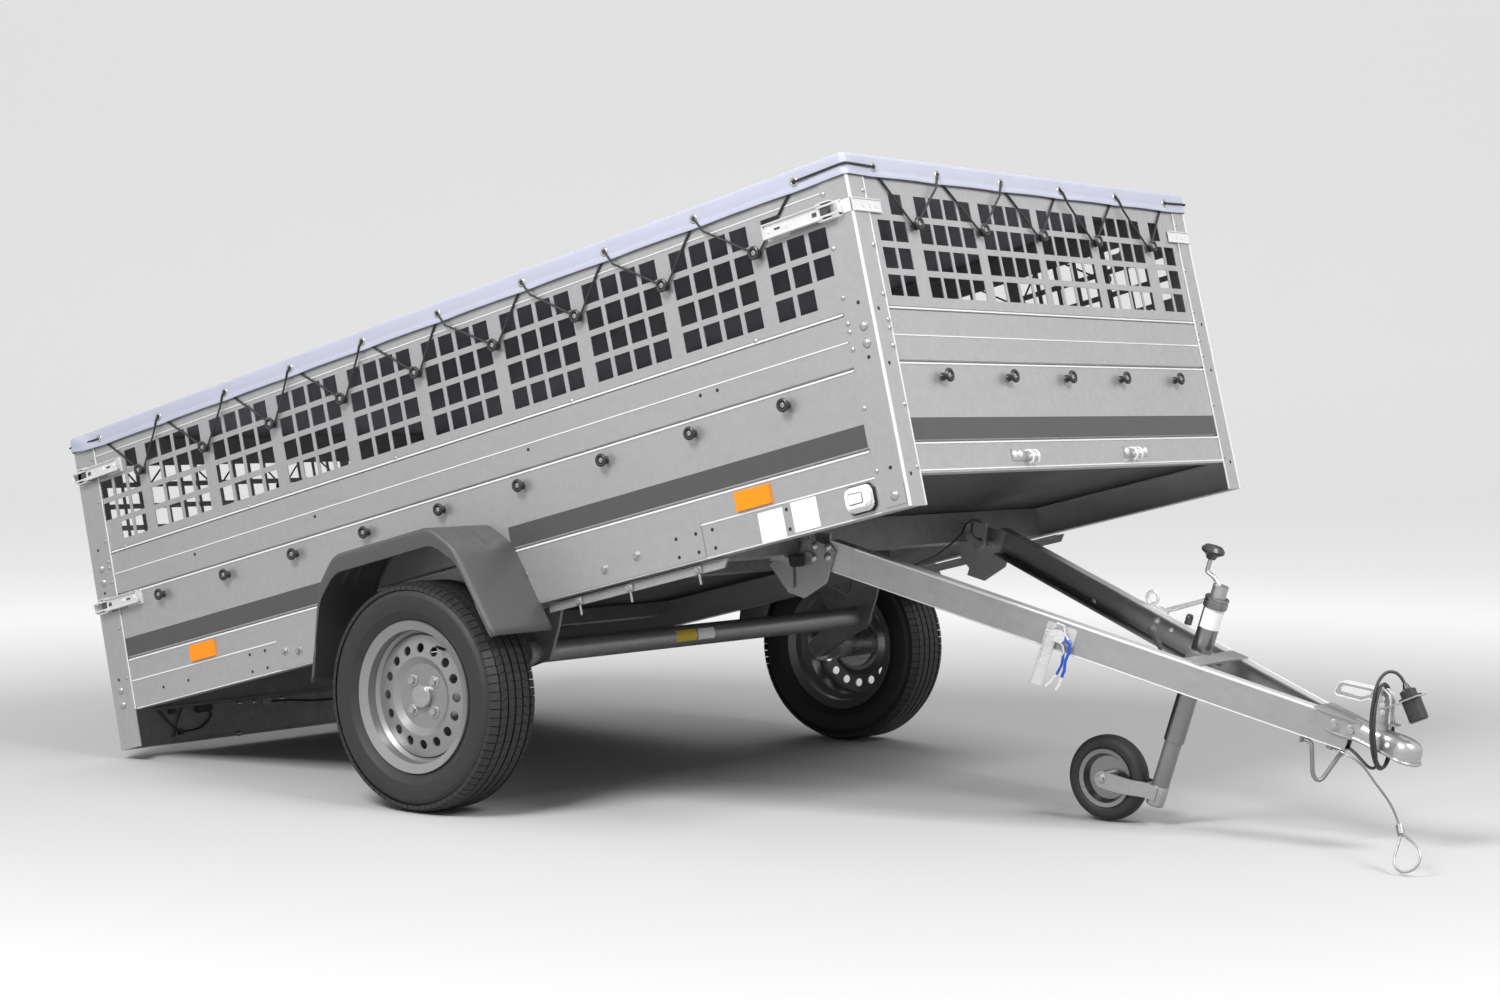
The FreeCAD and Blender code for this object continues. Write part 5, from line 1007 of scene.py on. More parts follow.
@dataclass
class Cover:
    """The flat cover with its skirt, eyelets and elastic lacing."""

    half_width: float = 747.3
    front: float = 1386.0
    rear: float = -1333.0
    top: float = 935.0
    skirt: float = 47.0
    corner: float = 13.0
    rear_corner: float = 24.0
    eyelet_level: float = 907.0
    cloth: float = 1.2
    cord_radius: float = 2.6
    sag: float = 9.0
    long_steps: int = 220
    short_steps: int = 120
    corner_steps: int = 8
    gap: float = 3.0
    stem: float = 10.5
    stem_out: float = 5.5
    hem: float = 7.5
    hem_proud: float = 1.2
    swell: float = 1.6
    ripple: float = 0.6
    roll: float = 3.2
    pull_reach: float = 55.0
    bag_reach: float = 150.0
    insets: tuple[float, ...] = (4, 8, 14, 26, 45, 75, 120, 190, 280, 390, 510, 620, 700, 735)

    def rim(self, inset: float) -> list[Flat]:
        """Give the points of a rounded rectangle inside the cover's edge.

        Args:
            inset: how far inside the edge it lies.

        Returns:
            Its points in x and y, always as many.
        """
        x0, x1, half = self.rear + inset, self.front - inset, self.half_width - inset
        ahead, behind = (max(radius - inset * 0.5, 2.0) for radius in (self.corner, self.rear_corner))
        corners = ((x1 - ahead, -half + ahead, -90, ahead), (x1 - ahead, half - ahead, 0, ahead),
                   (x0 + behind, half - behind, 90, behind), (x0 + behind, -half + behind, 180, behind))
        points: list[Flat] = []
        for index, (x, y, turn, radius) in enumerate(corners):
            for step in range(self.corner_steps + 1):
                angle = math.radians(turn + 90 * step / self.corner_steps)
                points.append((x + radius * math.cos(angle), y + radius * math.sin(angle)))
            after = corners[(index + 1) % 4]
            straight = self.long_steps if index % 2 else self.short_steps
            last = points[-1]
            angle = math.radians(after[2])
            goal = (after[0] + after[3] * math.cos(angle), after[1] + after[3] * math.sin(angle))
            points += [(last[0] + (goal[0] - last[0]) * s / straight, last[1] + (goal[1] - last[1]) * s / straight)
                       for s in range(1, straight)]
        return points

    def pull(self, x: float, y: float) -> float:
        """Say how hard the lacing pulls the skirt in at a place, from 0 to 1."""
        places, way = (SIDE_EYELETS, x) if abs(abs(y) - self.half_width) < 30 else (END_EYELETS, y)
        return max(math.exp(-((way - place) / self.pull_reach) ** 2) for place in places)

    def bag(self, x: float, y: float) -> float:
        """Say how far a place belongs to a folded rear corner, from 0 to 1."""
        return max(0.0, 1 - math.hypot(x - self.rear, abs(y) - self.half_width) / self.bag_reach)

    def skirt_rows(self) -> list[list[Point]]:
        """Give the rows of the skirt, from the hem up to the top's edge."""
        rows = []
        for drop in (self.skirt + 1.5, self.skirt, self.skirt - 7, self.skirt - 9, 33, 27, 21, 15, 10, 5, 2, 0.6):
            row = []
            share = drop / self.skirt
            curl = max(0.0, 1 - drop / 6.0)
            hem = self.hem_proud if drop >= self.skirt - self.hem else 0.0
            for (x, y), (ix, iy) in zip(self.rim(0), self.rim(40)):
                inward = Vector((ix - x, iy - y)).normalized()
                bag, pull = self.bag(x, y), self.pull(x, y)
                fold = 6.0 + 4.0 * math.sin(11 * bag + 2.5 * share)
                swell = self.swell * (1 - pull) * math.sin(math.pi * min(share, 1))
                swell += bag * (5.5 + fold * math.sin(math.pi * min(share * 0.9, 1))) * min(1.0, share * 8) + hem
                ripple = self.ripple * math.sin(x * 0.045) * math.cos(y * 0.05) * share
                shift = -swell + ripple + self.roll * curl * curl
                lift = (5.0 + 3.0 * math.sin(9 * bag)) * bag * share - 1.6 * pull * share
                row.append((x + inward.x * shift, y + inward.y * shift, self.top - drop + lift))
            rows.append(row)
        return rows

    def top_rows(self) -> list[list[Point]]:
        """Give the rows of the top, from its edge to its middle."""
        rows = []
        for inset in self.insets:
            row = []
            for x, y in self.rim(inset):
                inner = max(0.0, inset - 26) / 700
                soft = self.sag * math.sin(min(inner, 1.0) * math.pi / 2)
                crease = 1.3 * math.exp(-inset / 60.0) * self.pull(x, y) * min(inset / 14, 1)
                wave = 0.8 * math.sin(x * 0.011 + 1.3) * math.sin(y * 0.013) * min(inner * 4, 1)
                row.append((x, y, self.top - soft - crease + wave - (0.4 if inset < 6 else 0)))
            rows.append(row)
        return rows

    def cloth_piece(self) -> None:
        former = Former().skin(self.skirt_rows() + self.top_rows(), ring=True)
        former.bm.faces.new(former.bm.verts[:][-len(self.rim(0)):])
        bmesh.ops.recalc_face_normals(former.bm, faces=former.bm.faces[:])
        piece = former.facing((0, 0, 1)).done("cover_cloth_sheet", COVER_CLOTH, "bed", "cover_fabric", 60)
        thickened(piece, self.cloth)
        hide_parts("cover")

    def skirt_out(self, wall: Wall) -> float:
        """Give how far the skirt's face stands out of a wall."""
        return (self.half_width if wall.out[1] else (self.front if wall.out[0] > 0 else -self.rear)) - wall.face

    def eyelets(self) -> None:
        """Set a bright ring round each eyelet, with a dark disc in its hole: painted shade."""
        spots = [Spot(wall.at(way, self.eyelet_level, self.skirt_out(wall) + 0.4), wall.out)
                 for wall in WALLS for way in wall.eyelets]
        REPEATER.set("cover_eyelets", EYELET, spots, BRIGHT_ZINC, "bed", "bright_zinc")
        holes = [Spot(spot.foot, spot.out, 1.1) for spot in spots]
        REPEATER.set("cover_eyelet_holes", HOLE_SHADE_DISC, holes, HOLE_SHADE, "bed", "black_plastic")

    def leg(self, wall: Wall, eyelet: float, knob: float, outside: bool) -> list[Point]:
        """Give one leg of the lacing, from an eyelet down to a knob's stem.

        Args:
            wall: the side that it runs on.
            eyelet: the eyelet's place along the side.
            knob: the knob's place along the side.
            outside: whether it leaves the eyelet on the skirt's outer face.

        Returns:
            Its points.
        """
        skirt, level = self.skirt_out(wall), self.eyelet_level
        away = 1.0 if knob > eyelet else -1.0
        stem = wall.at(knob - away * self.stem, KNOB_LEVELS[1] + 4, self.stem_out)
        if outside:
            return [wall.at(eyelet, level, skirt + self.gap), wall.at(eyelet + away * 8, level - 8, skirt + 4.2),
                    wall.at(eyelet + away * 22, level - 34, skirt + 3.6), stem]
        drop = 36
        middle = eyelet + (knob - eyelet) * drop / (level - KNOB_LEVELS[1])
        return [wall.at(eyelet, level - 1, 3.6), wall.at(middle, level - drop, 3.2), stem]

    def round_knob(self, wall: Wall, knob: float, way: float) -> list[Point]:
        """Give the part of the lacing that goes under a knob's stem."""
        return [wall.at(knob + way * self.stem * math.cos(a), KNOB_LEVELS[1] + self.stem * math.sin(a), self.stem_out)
                for a in (-math.radians(degrees) for degrees in range(30, 151, 30))]

    def wall_line(self, wall: Wall) -> list[Point]:
        """Give the lacing of one side, from its first eyelet to its last."""
        first, last = (wall.at(way, self.eyelet_level, self.skirt_out(wall) + self.gap)
                       for way in (wall.eyelets[0], wall.eyelets[-1]))
        points, middle = [first], len(wall.knobs) // 2
        for index, knob in enumerate(wall.knobs):
            down = self.leg(wall, wall.eyelets[index], knob, outside=index > middle)
            up = self.leg(wall, wall.eyelets[index + 1], knob, outside=index < middle)
            points += down + self.round_knob(wall, knob, -1.0) + up[::-1]
        return [*points, last]

    def lacing(self) -> None:
        """Make the elastic that goes once round the cover."""
        points: list[Point] = []
        for wall in WALLS:
            points += self.wall_line(wall)
            reach = (self.front if wall.along[0] > 0 else -self.rear) if wall.along[0] else self.half_width
            points += [wall.at(reach + past, self.eyelet_level + 2, self.skirt_out(wall) + out)
                       for past, out in ((-10, 3.2), (1.2, 1.2), (3.2, -10))]
        former = Former().tube([*points, points[0]], self.cord_radius, 8)
        former.done("cover_lacing", ELASTIC, "bed", "black_plastic", 80)

    def build(self) -> None:
        """Make the cover with all that is on it."""
        self.cloth_piece()
        self.eyelets()
        self.lacing()


@dataclass
class Boards:
    """What the body's boards, posts and rails carry: stripes, labels, plates, knobs and fasteners."""

    film: float = 0.4
    plate: float = 2.6
    post: float = 2.5
    sink: float = 0.5
    side_run: Flat = (-1238.0, 1304.0)
    end_run: Flat = (-678.0, 678.0)
    side_folds: Flats = ((237.6, 0.8), (295.2, 1.1), (472.2, 1.1), (534.6, 0.7), (595.2, 1.1), (864.6, 0.8))
    end_folds: Flats = ((295.2, 1.0), (472.2, 1.0), (534.6, 0.7), (595.2, 1.0), (236, 0.8))
    # The cross-section of the bright wedge that paints a fold's highlight.
    highlight_wedge: Flats = ((-1, 2.3), (0.2, 2.3), (2, -0.6), (1.8, -1.8), (-1, -2.2))
    mesh_screw_levels: tuple[float, ...] = (860, 739, 630, 573, 555, 516, 387, 250)
    plate_bolts: Flats = ((511, 198), (613, 209), (-560, 200), (-612, 209))
    plate_holes: Flats = ((737, 222), (737, 180), (796, 222), (796, 180))
    rail_holes: Flats = (
        (843, 222), (843, 180), (1057, 222), (1057, 178), (-750, 223), (-750, 178), (-690, 223), (-690, 178),
        (-1113, 200), (-1008, 200), (880, 521), (930, 521), (340, 521), (-420, 521), (-900, 521))
    bar_bolts: tuple[float, ...] = (400, 560, 770)
    rear_wires: tuple[tuple[float, Points], ...] = (
        (2.6, ((0, -604, 158), (2, -590, 140), (3, -572, 116), (3, -553, 99), (3, -530, 91), (3, -500, 91),
               (3, -468, 95), (2, -440, 110), (0, -420, 128), (0, -430, 148), (0, -460, 155))),
        (2.2, ((0, -520, 158), (2, -535, 140), (3, -548, 122), (3, -560, 92), (0, -566, 78))),
        (3.2, ((-2, -190, 147), (0, -120, 144), (0, -40, 135), (0, 60, 131), (0, 240, 134), (0, 420, 140),
               (-2, 540, 140))))
    rear_clips: tuple[tuple[Point, Point, float], ...] = (
        ((-4, -474, 138), (10, -418, 162), 4), ((-4, -548, 82), (6, -532, 100), 2),
        ((-4, -568, 142), (5, -546, 156), 2))
    front_wires: tuple[tuple[float, Points], ...] = (
        (2.4, ((800, -360, 92), (790, -300, 88), (780, -240, 74), (774, -196, 56), (770, -172, 62), (776, -160, 84),
               (790, -176, 104), (800, -200, 120))),
        (2.6, ((802, -200, 124), (812, -60, 104), (828, 40, 106), (850, 110, 122), (850, 178, 146), (850, 240, 172),
               (850, 268, 196), (850, 299, 206), (850, 330, 204), (844, 352, 190), (838, 340, 176))),
        (2.2, ((850, 299, 200), (850, 286, 176), (848, 300, 160), (844, 330, 156), (840, 348, 166))))

    def both(self, places: Sequence[Flat], face: float = POST_FACE) -> list[Spot]:
        """Give the same spots on the right and the left side."""
        return pairs([(x, face, z) for x, z in places], (0, 1, 0))

    def ends(self, y: float, z: float, front: bool) -> list[Spot]:
        """Give the same spot right and left on the front or the rear posts."""
        return pairs([(BED_FRONT + self.post if front else BED_REAR - self.post, y, z)], (1.0 if front else -1.0, 0, 0))

    def stripes(self) -> None:
        """Lay the bare grey stripes on the sides and the front."""
        former = Former()
        for x0, x1 in ((-1240.0, -240.0), (232.0, 1302.0)):
            former.block((x0, HALF_WIDTH - self.sink, 305), (x1, HALF_WIDTH + self.film, 355))
        former.mirrored().block((BED_FRONT - self.sink, -678, 303), (BED_FRONT + self.film, 678, 352))
        former.done("stripes", STRIPE, "bed", "galvanised_steel")

    def post_edges(self) -> None:
        """Lay bright strips and a bright rod along the corner posts' folded edges: painted highlights."""
        former = Former()
        face = BED_FRONT + self.post
        # Painted highlights: bright lines on the posts' corners and sheet edges, where the light catches them.
        former.tube([(face - 1.6, POST_FACE - 1.6, z) for z in (POST_LOW, POST_HIGH)], 2.6, 12)
        for x0, x1, y0, y1 in ((face - 0.4, face + 0.8, 735, 740), (face - 2, face + 1.0, 678.6, 683),
                               (BED_REAR + 82, BED_REAR + 85.6, POST_FACE - 2, POST_FACE + 1.0),
                               (BED_REAR - 3.2, BED_REAR - 0.5, 679.2, 681.2)):
            former.block((x0, y0, POST_LOW), (x1, y1, POST_HIGH), 0.5)
        former.mirrored().done("post_edges", ZINC_AND_PAINTED_HIGHLIGHT, "bed", "galvanised_steel")

    def fold_lines(self) -> None:
        """Run a bright wedge along each fold of the boards and a bright rod along the rail's lower edge: painted
        highlights.
        """
        former, face = Former(), HALF_WIDTH
        # Each wedge is a painted highlight on the lower lip of a fold.
        for level, size in self.side_folds:
            former.skin([[(x, face + out * size, level + rise * size) for out, rise in self.highlight_wedge]
                         for x in self.side_run], ring=True, caps=True)
        former.tube([(x, face - 0.6, 162) for x in self.side_run], 1.6, 8)
        former.mirrored()
        for level, size in self.end_folds:
            former.skin([[(BED_FRONT + out * size, y, level + rise * size) for out, rise in self.highlight_wedge]
                         for y in self.end_run], ring=True, caps=True)
        former.done("fold_lines", ZINC_AND_PAINTED_HIGHLIGHT, "bed", "galvanised_steel")

    def labels(self) -> None:
        """Lay the blank labels on the right rail."""
        former = Former()
        for x0, x1, z in ((976, 1046, 163), (1070, 1141, 167)):
            former.block((x0, -HALF_WIDTH - 0.35, z), (x1, -HALF_WIDTH + self.sink, z + 67))
        former.done("rail_labels", LABEL, "bed", "galvanised_steel")

    def plates(self) -> None:
        """Bolt the stiffening plates on the rails and hang the flat bars under them."""
        near, far = HALF_WIDTH - 0.4, HALF_WIDTH + self.plate
        former = Former()
        former.plate([(270, 163), (814, 163), (814, 244), (798, 257), (270, 257)], "y", near, far, 0.8)
        former.plate([(-640, 163), (-250, 163), (-250, 257), (-628, 257), (-640, 244)], "y", near, far, 0.8)
        former.plate([(300, 134), (842, 134), (856, 153), (300, 153)], "y", 716, 722, 0.8)
        former.block((300, 700, 150), (842, 722, 154), 0.8)
        former.mirrored().done("stiffening_plates", BOARD_STEEL, "bed", "galvanised_steel")
        corners = Former().block((1320, POST_FACE - self.sink, 168), (1376, POST_FACE + 2, 213), 0.9)
        corners.mirrored().done("corner_plates", BOARD_STEEL, "bed", "bright_zinc")

    def fasteners(self) -> None:
        """Set the rivets and bolts, and dark discs in the open holes: painted shade."""
        rivets: list[Spot] = []
        for z in self.mesh_screw_levels:
            rivets += self.both([(1313, z), (-1256, z)]) + self.ends(688, z - 6, True) + self.ends(688, z - 6, False)
        rivets += self.both([(x, 600) for x in (-1180, -660, -100, 500, 1060)], HALF_WIDTH)
        domes = self.both([(x, z) for z in (559, 521) for x in (1352, -1290)])
        domes += self.both([(1348, 190)], POST_FACE + 2) + self.both([(-1290, 220), (-1290, 180)])
        # The holes get dark discs: painted shade.
        plated, holes = (self.both(places, HALF_WIDTH + self.plate) for places in (self.plate_bolts, self.plate_holes))
        holes += self.both(self.rail_holes, HALF_WIDTH)
        for z in (611, 491, 250):
            holes += self.both([(1350, z), (-1292, z)]) + self.ends(716, z - 20, True)
        for name, form, spots in (("rivets", RIVET, rivets), ("post_bolts", DOME, domes),
                                  ("plate_bolts", BOLT, plated)):
            REPEATER.set(name, form, spots, BRIGHT_ZINC, "bed", "bright_zinc")
        REPEATER.set("open_holes", HOLE_SHADE_DISC, holes, HOLE_SHADE, "bed", "black_plastic")

    def wires(self) -> None:
        """Run the thin wires under the body: at the rear beam and along the pivot beam."""
        rear = BED_REAR + 7
        former = Former()
        for radius, route in self.rear_wires:
            former.tube([(rear + x, y, z) for x, y, z in route], radius, 8)
        for (x0, y0, z0), (x1, y1, z1), bevel in self.rear_clips:
            former.block((rear + x0, y0, z0), (rear + x1, y1, z1), bevel)
        for radius, route in self.front_wires:
            former.tube(route, radius, 8)
        former.done("body_wires", SHEATH, "bed", "cable_sheath")
        plate = Former().block((BED_REAR + 2.3, -226, 136), (BED_REAR + 5, -194, 158), 0.8)
        plate.done("wire_plate", BRIGHT_ZINC, "bed", "bright_zinc")
        bolts = [Spot((BED_REAR + self.post, y, z), (1, 0, 0), 0.8)
                 for y, z in ((-309, 152), (-254, 150), (-150, 152), (-330, 66))]
        REPEATER.set("beam_bolts", DOME, bolts, BRIGHT_ZINC, "bed", "bright_zinc")

    def hanging_bolts(self) -> None:
        """Hang the bolts of the floor bars, thread down."""
        heads = pairs([(x, 727, 143) for x in self.bar_bolts], (0, 1, 0), 0.85)
        REPEATER.set("bar_bolts", BOLT, heads, BRIGHT_ZINC, "bed", "bright_zinc")
        former = Former()
        for x in self.bar_bolts:
            former.block((x - 11, 718, 135), (x + 11, 727.5, 152), 1.5)
            former.lathe([(3.2, 0), (3.2, 24), (2.2, 26)], (x, 724, 136), (0, 0, -1), 12)
        former.mirrored().done("bar_threads", BRIGHT_ZINC, "bed", "bright_zinc")

    def knobs(self) -> None:
        """Set the cover's knobs with their screws."""
        low, high = KNOB_LEVELS
        on_bed = [Spot(wall.at(way, level, 0), wall.out)
                  for wall in (RIGHT, LEFT, FRONT) for way in wall.knobs for level in KNOB_LEVELS]
        on_bed += [Spot(REAR.at(way, high, 0), REAR.out) for way in REAR.knobs]
        on_gate = [Spot(REAR.at(way, low, 0), REAR.out) for way in REAR.knobs]
        for name, spots, body, node in (("bed", on_bed, "bed", "knobs"),
                                        ("gate", on_gate, "tailgate", "tailgate_knobs")):
            piece = REPEATER.set(name + "_knob_set", KNOB, spots, BLACK_PLASTIC, body, "black_plastic")
            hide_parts(node)
            REPEATER.set(name + "_knob_screws", KNOB_SCREW, spots, BRIGHT_ZINC, body, "bright_zinc")

    def build(self) -> None:
        """Dress all the boards."""
        for step in (self.stripes, self.post_edges, self.fold_lines, self.labels, self.plates, self.fasteners,
                     self.hanging_bolts, self.wires, self.knobs):
            step()


@dataclass
class DrawLatch:
    """One draw latch of the left side: base plate, channelled lever, bail and hook.

    Args:
        catch: where its catch stands along the body.
        back: where the lever's end lies.
        level: its height.
    """

    catch: float
    back: float
    level: float

    def way(self, distance: float) -> float:
        """Give the place at a distance from the catch."""
        return self.catch + math.copysign(distance, self.back - self.catch)

    def bar(self, former: Former, span: Flat, out: Flat, rise: Flat, bevel: float = 0.8) -> None:
        """Add a block of the latch: its span from the catch, out of the post, and from the latch's middle."""
        near, far = sorted(self.way(distance) for distance in span)
        former.block((near, POST_FACE + out[0], self.level + rise[0]), (far, POST_FACE + out[1], self.level + rise[1]),
                     bevel)

    def shape(self, bright: Former, dark: Former) -> list[Spot]:
        """Build the latch into a bright and a dark mesh.

        Args:
            bright: the mesh of its plated parts.
            dark: the mesh of its pivot, and of its slots, whose darkness is painted shade.

        Returns:
            The spots of its rivets, on both sides of the body.
        """
        length = abs(self.back - self.catch)
        base, lift, tab = (length - 62, length), (length - 52, length - 8), (4, 52)
        for span, out, half, bevel in ((base, (-2.6, 1.6), 20, 0.6), (lift, (1.2, 13.2), 11, 0.8),
                                       (tab, (-0.3, 2.4), 18.5, 0.8), ((54, length - 2), (12.6, 14.2), 16, 0.4),
                                       ((length - 4, length), (12.6, 19), 14.5, 1.2), ((-5, 4), (2.3, 16.5), 12, 1.5)):
            self.bar(bright, span, out, (-half, half), bevel)
        for span, out, lows, bevel in (((46, length), (12.6, 20.5), (-17.0, 13.6), 1.2),
                                       ((22, 60), (1.5, 18.5), (-20.8, 17.4), 1.0)):
            for low in lows:
                self.bar(bright, span, out, (low, low + 3.4), bevel)
        # The thin dark plates are slots: painted shade.
        for span, out, half, bevel in (((33, 53), (2.2, 15.5), 15.5, 1.0), ((63, 76), (14.0, 14.5), 5, 0.1),
                                       ((length - 48, length - 32), (14.0, 14.5), 2.6, 0.1)):
            self.bar(dark, span, out, (-half, half), bevel)
        path = [(self.way(s), POST_FACE + 17.2, self.level + z)
                for s, z in ((57, -11), (7, -11), (3.5, -9.6), (2.2, -6), (2.2, 6), (3.5, 9.6), (7, 11), (57, 11))]
        bright.tube(path, 2.6, 10)
        return pairs([(self.way(distance), POST_FACE + 14, self.level) for distance in (length - 16, length - 62)],
                     (0, 1, 0), 0.95)


@dataclass
class Latches:
    """The draw latches of the body with their catches, and the front hooks' rods."""

    upper: float = 820.0
    lower: float = 455.0
    half: float = 15.0
    reach: float = 634.0
    hook_pitch: Flat = (222.0, 246.0)

    def catch_plate(self, former: Former, face: float, turn: float) -> None:
        """Add a ribbed catch plate that wraps the left corner.

        Args:
            former: the mesh it goes into.
            face: where the post's face lies.
            turn: 1 at the front, -1 at the rear.
        """
        around = POST_FACE + 2.4
        parts = [((-0.3, 2.2), (self.reach, around), (-self.half, self.half), 0.6),
                 ((-34, 2.2), (POST_FACE - 0.3, around), (-self.half, self.half), 0.6)]
        parts += [((1.5, 5.2), (self.reach, 739), (low, low + 2.6), 0.9) for low in (-self.half, self.half - 2.6)]
        parts += [((1.5, 3.8), (y, y + 8), (-5, 5), 1.0) for y in (650, 674, 698)]
        for ways, (y0, y1), (z0, z1), bevel in parts:
            near, far = sorted(face + turn * way for way in ways)
            former.block((near, y0, self.upper + z0), (far, y1, self.upper + z1), bevel)

    def build(self) -> None:
        """Make all the latches."""
        bright, dark = Former(), Former()
        rivets: list[Spot] = []
        rear = BED_REAR - 2.5
        for catch, back, level in ((1360, 1147, self.upper), (rear, -1135, self.upper), (rear, -1139, self.lower)):
            rivets += DrawLatch(catch, back, level).shape(bright, dark)
        self.catch_plate(bright, BED_FRONT + 2.5, 1.0)
        self.catch_plate(bright, rear, -1.0)
        piece = bright.mirrored().done("draw_latches", LATCH_ZINC, "bed", "bright_zinc")
        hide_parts("box_latches")
        dark.mirrored().done("latch_pivots", DARK_STEEL_AND_SLOT_SHADE, "bed", "bright_zinc")
        REPEATER.set("latch_rivets", RIVET, rivets, ZINC_AND_PAINTED_HIGHLIGHT, "bed", "bright_zinc")
        self.hooks()

    def hooks(self) -> None:
        """Make the front hooks: bent rods with bolts on small plates."""
        face = BED_FRONT
        plates = Former().block((face - 0.3, 196, 251), (face + 2.8, 304, 279), 0.8).mirrored()
        piece = plates.done("hook_plates", BOARD_STEEL, "bed", "bright_zinc")
        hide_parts("front_hooks")
        rods = Former()
        bend = ((2, 272), (9, 272), (16, 269), (19.5, 262), (19.5, 252), (16, 245), (9, 243))
        for y in self.hook_pitch:
            rods.tube([(face + out, y, z) for out, z in bend], 3.6, 12)
        rods.tube([(face + 17, y, 258) for y in (214, 256)], 3.4, 12)
        rods.mirrored().done("hook_rods", LATCH_ZINC, "bed", "bright_zinc")
        bolts = pairs([(face + 2.8, y, 265) for y in (205, 272, 294)], (1, 0, 0), 0.85)
        REPEATER.set("hook_bolts", DOME, bolts, LATCH_ZINC, "bed", "bright_zinc")


class Lamps:
    """Rear lamp clusters and front marker lamps."""

    housing: Flats = ((447, 80), (455, 72), (660, 72), (668, 80), (668, 146), (660, 154), (455, 154),
                                 (447, 146))
    marker: Flats = ((1222, 182), (1234, 170), (1288, 170), (1300, 182), (1300, 220), (1290, 232),
                                (1232, 232), (1222, 222))
    rim: Flats = ((1225, 184), (1236, 173), (1286, 173), (1297, 184), (1297, 218), (1288, 229), (1234, 229),
                             (1225, 220))
    lens: Flats = ((1232, 186), (1240, 178), (1286, 178), (1296, 188), (1296, 218), (1288, 226), (1240, 226),
                              (1232, 218))
    panes: tuple[tuple[Finish, str, float, float], ...] = (
        (RED_LENS, "red_lenses", 455, 560), (AMBER_LENS, "amber_lenses", 601, 660),
        (CLEAR_LENS, "clear_lenses", 563, 598))

    def build(self) -> None:
        """Make the housings and the lenses."""
        rear, face = BED_REAR, HALF_WIDTH
        base = Former().plate(self.housing, "x", rear - 13, rear, 2.5).plate(self.marker, "y", face - 0.4, face + 5, 1)
        piece = base.mirrored().done("lamp_housings", BLACK_PLASTIC, "bed", "lamp_plastic")
        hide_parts("lamps")
        for finish, name, y0, y1 in self.panes:
            pane = Former().plate([(y0, 80), (y1, 80), (y1, 146), (y0, 146)], "x", rear - 25, rear - 12, 3)
            if finish is CLEAR_LENS:
                pane.plate(self.rim, "y", face + 4.5, face + 14, 3).plate(self.lens, "y", face + 11, face + 27, 4)
                pane.plate([(1244, 190), (1282, 190), (1282, 214), (1244, 214)], "y", face + 26, face + 29, 1.5)
            pane.mirrored().done(name, finish, "bed", "lamp_plastic")


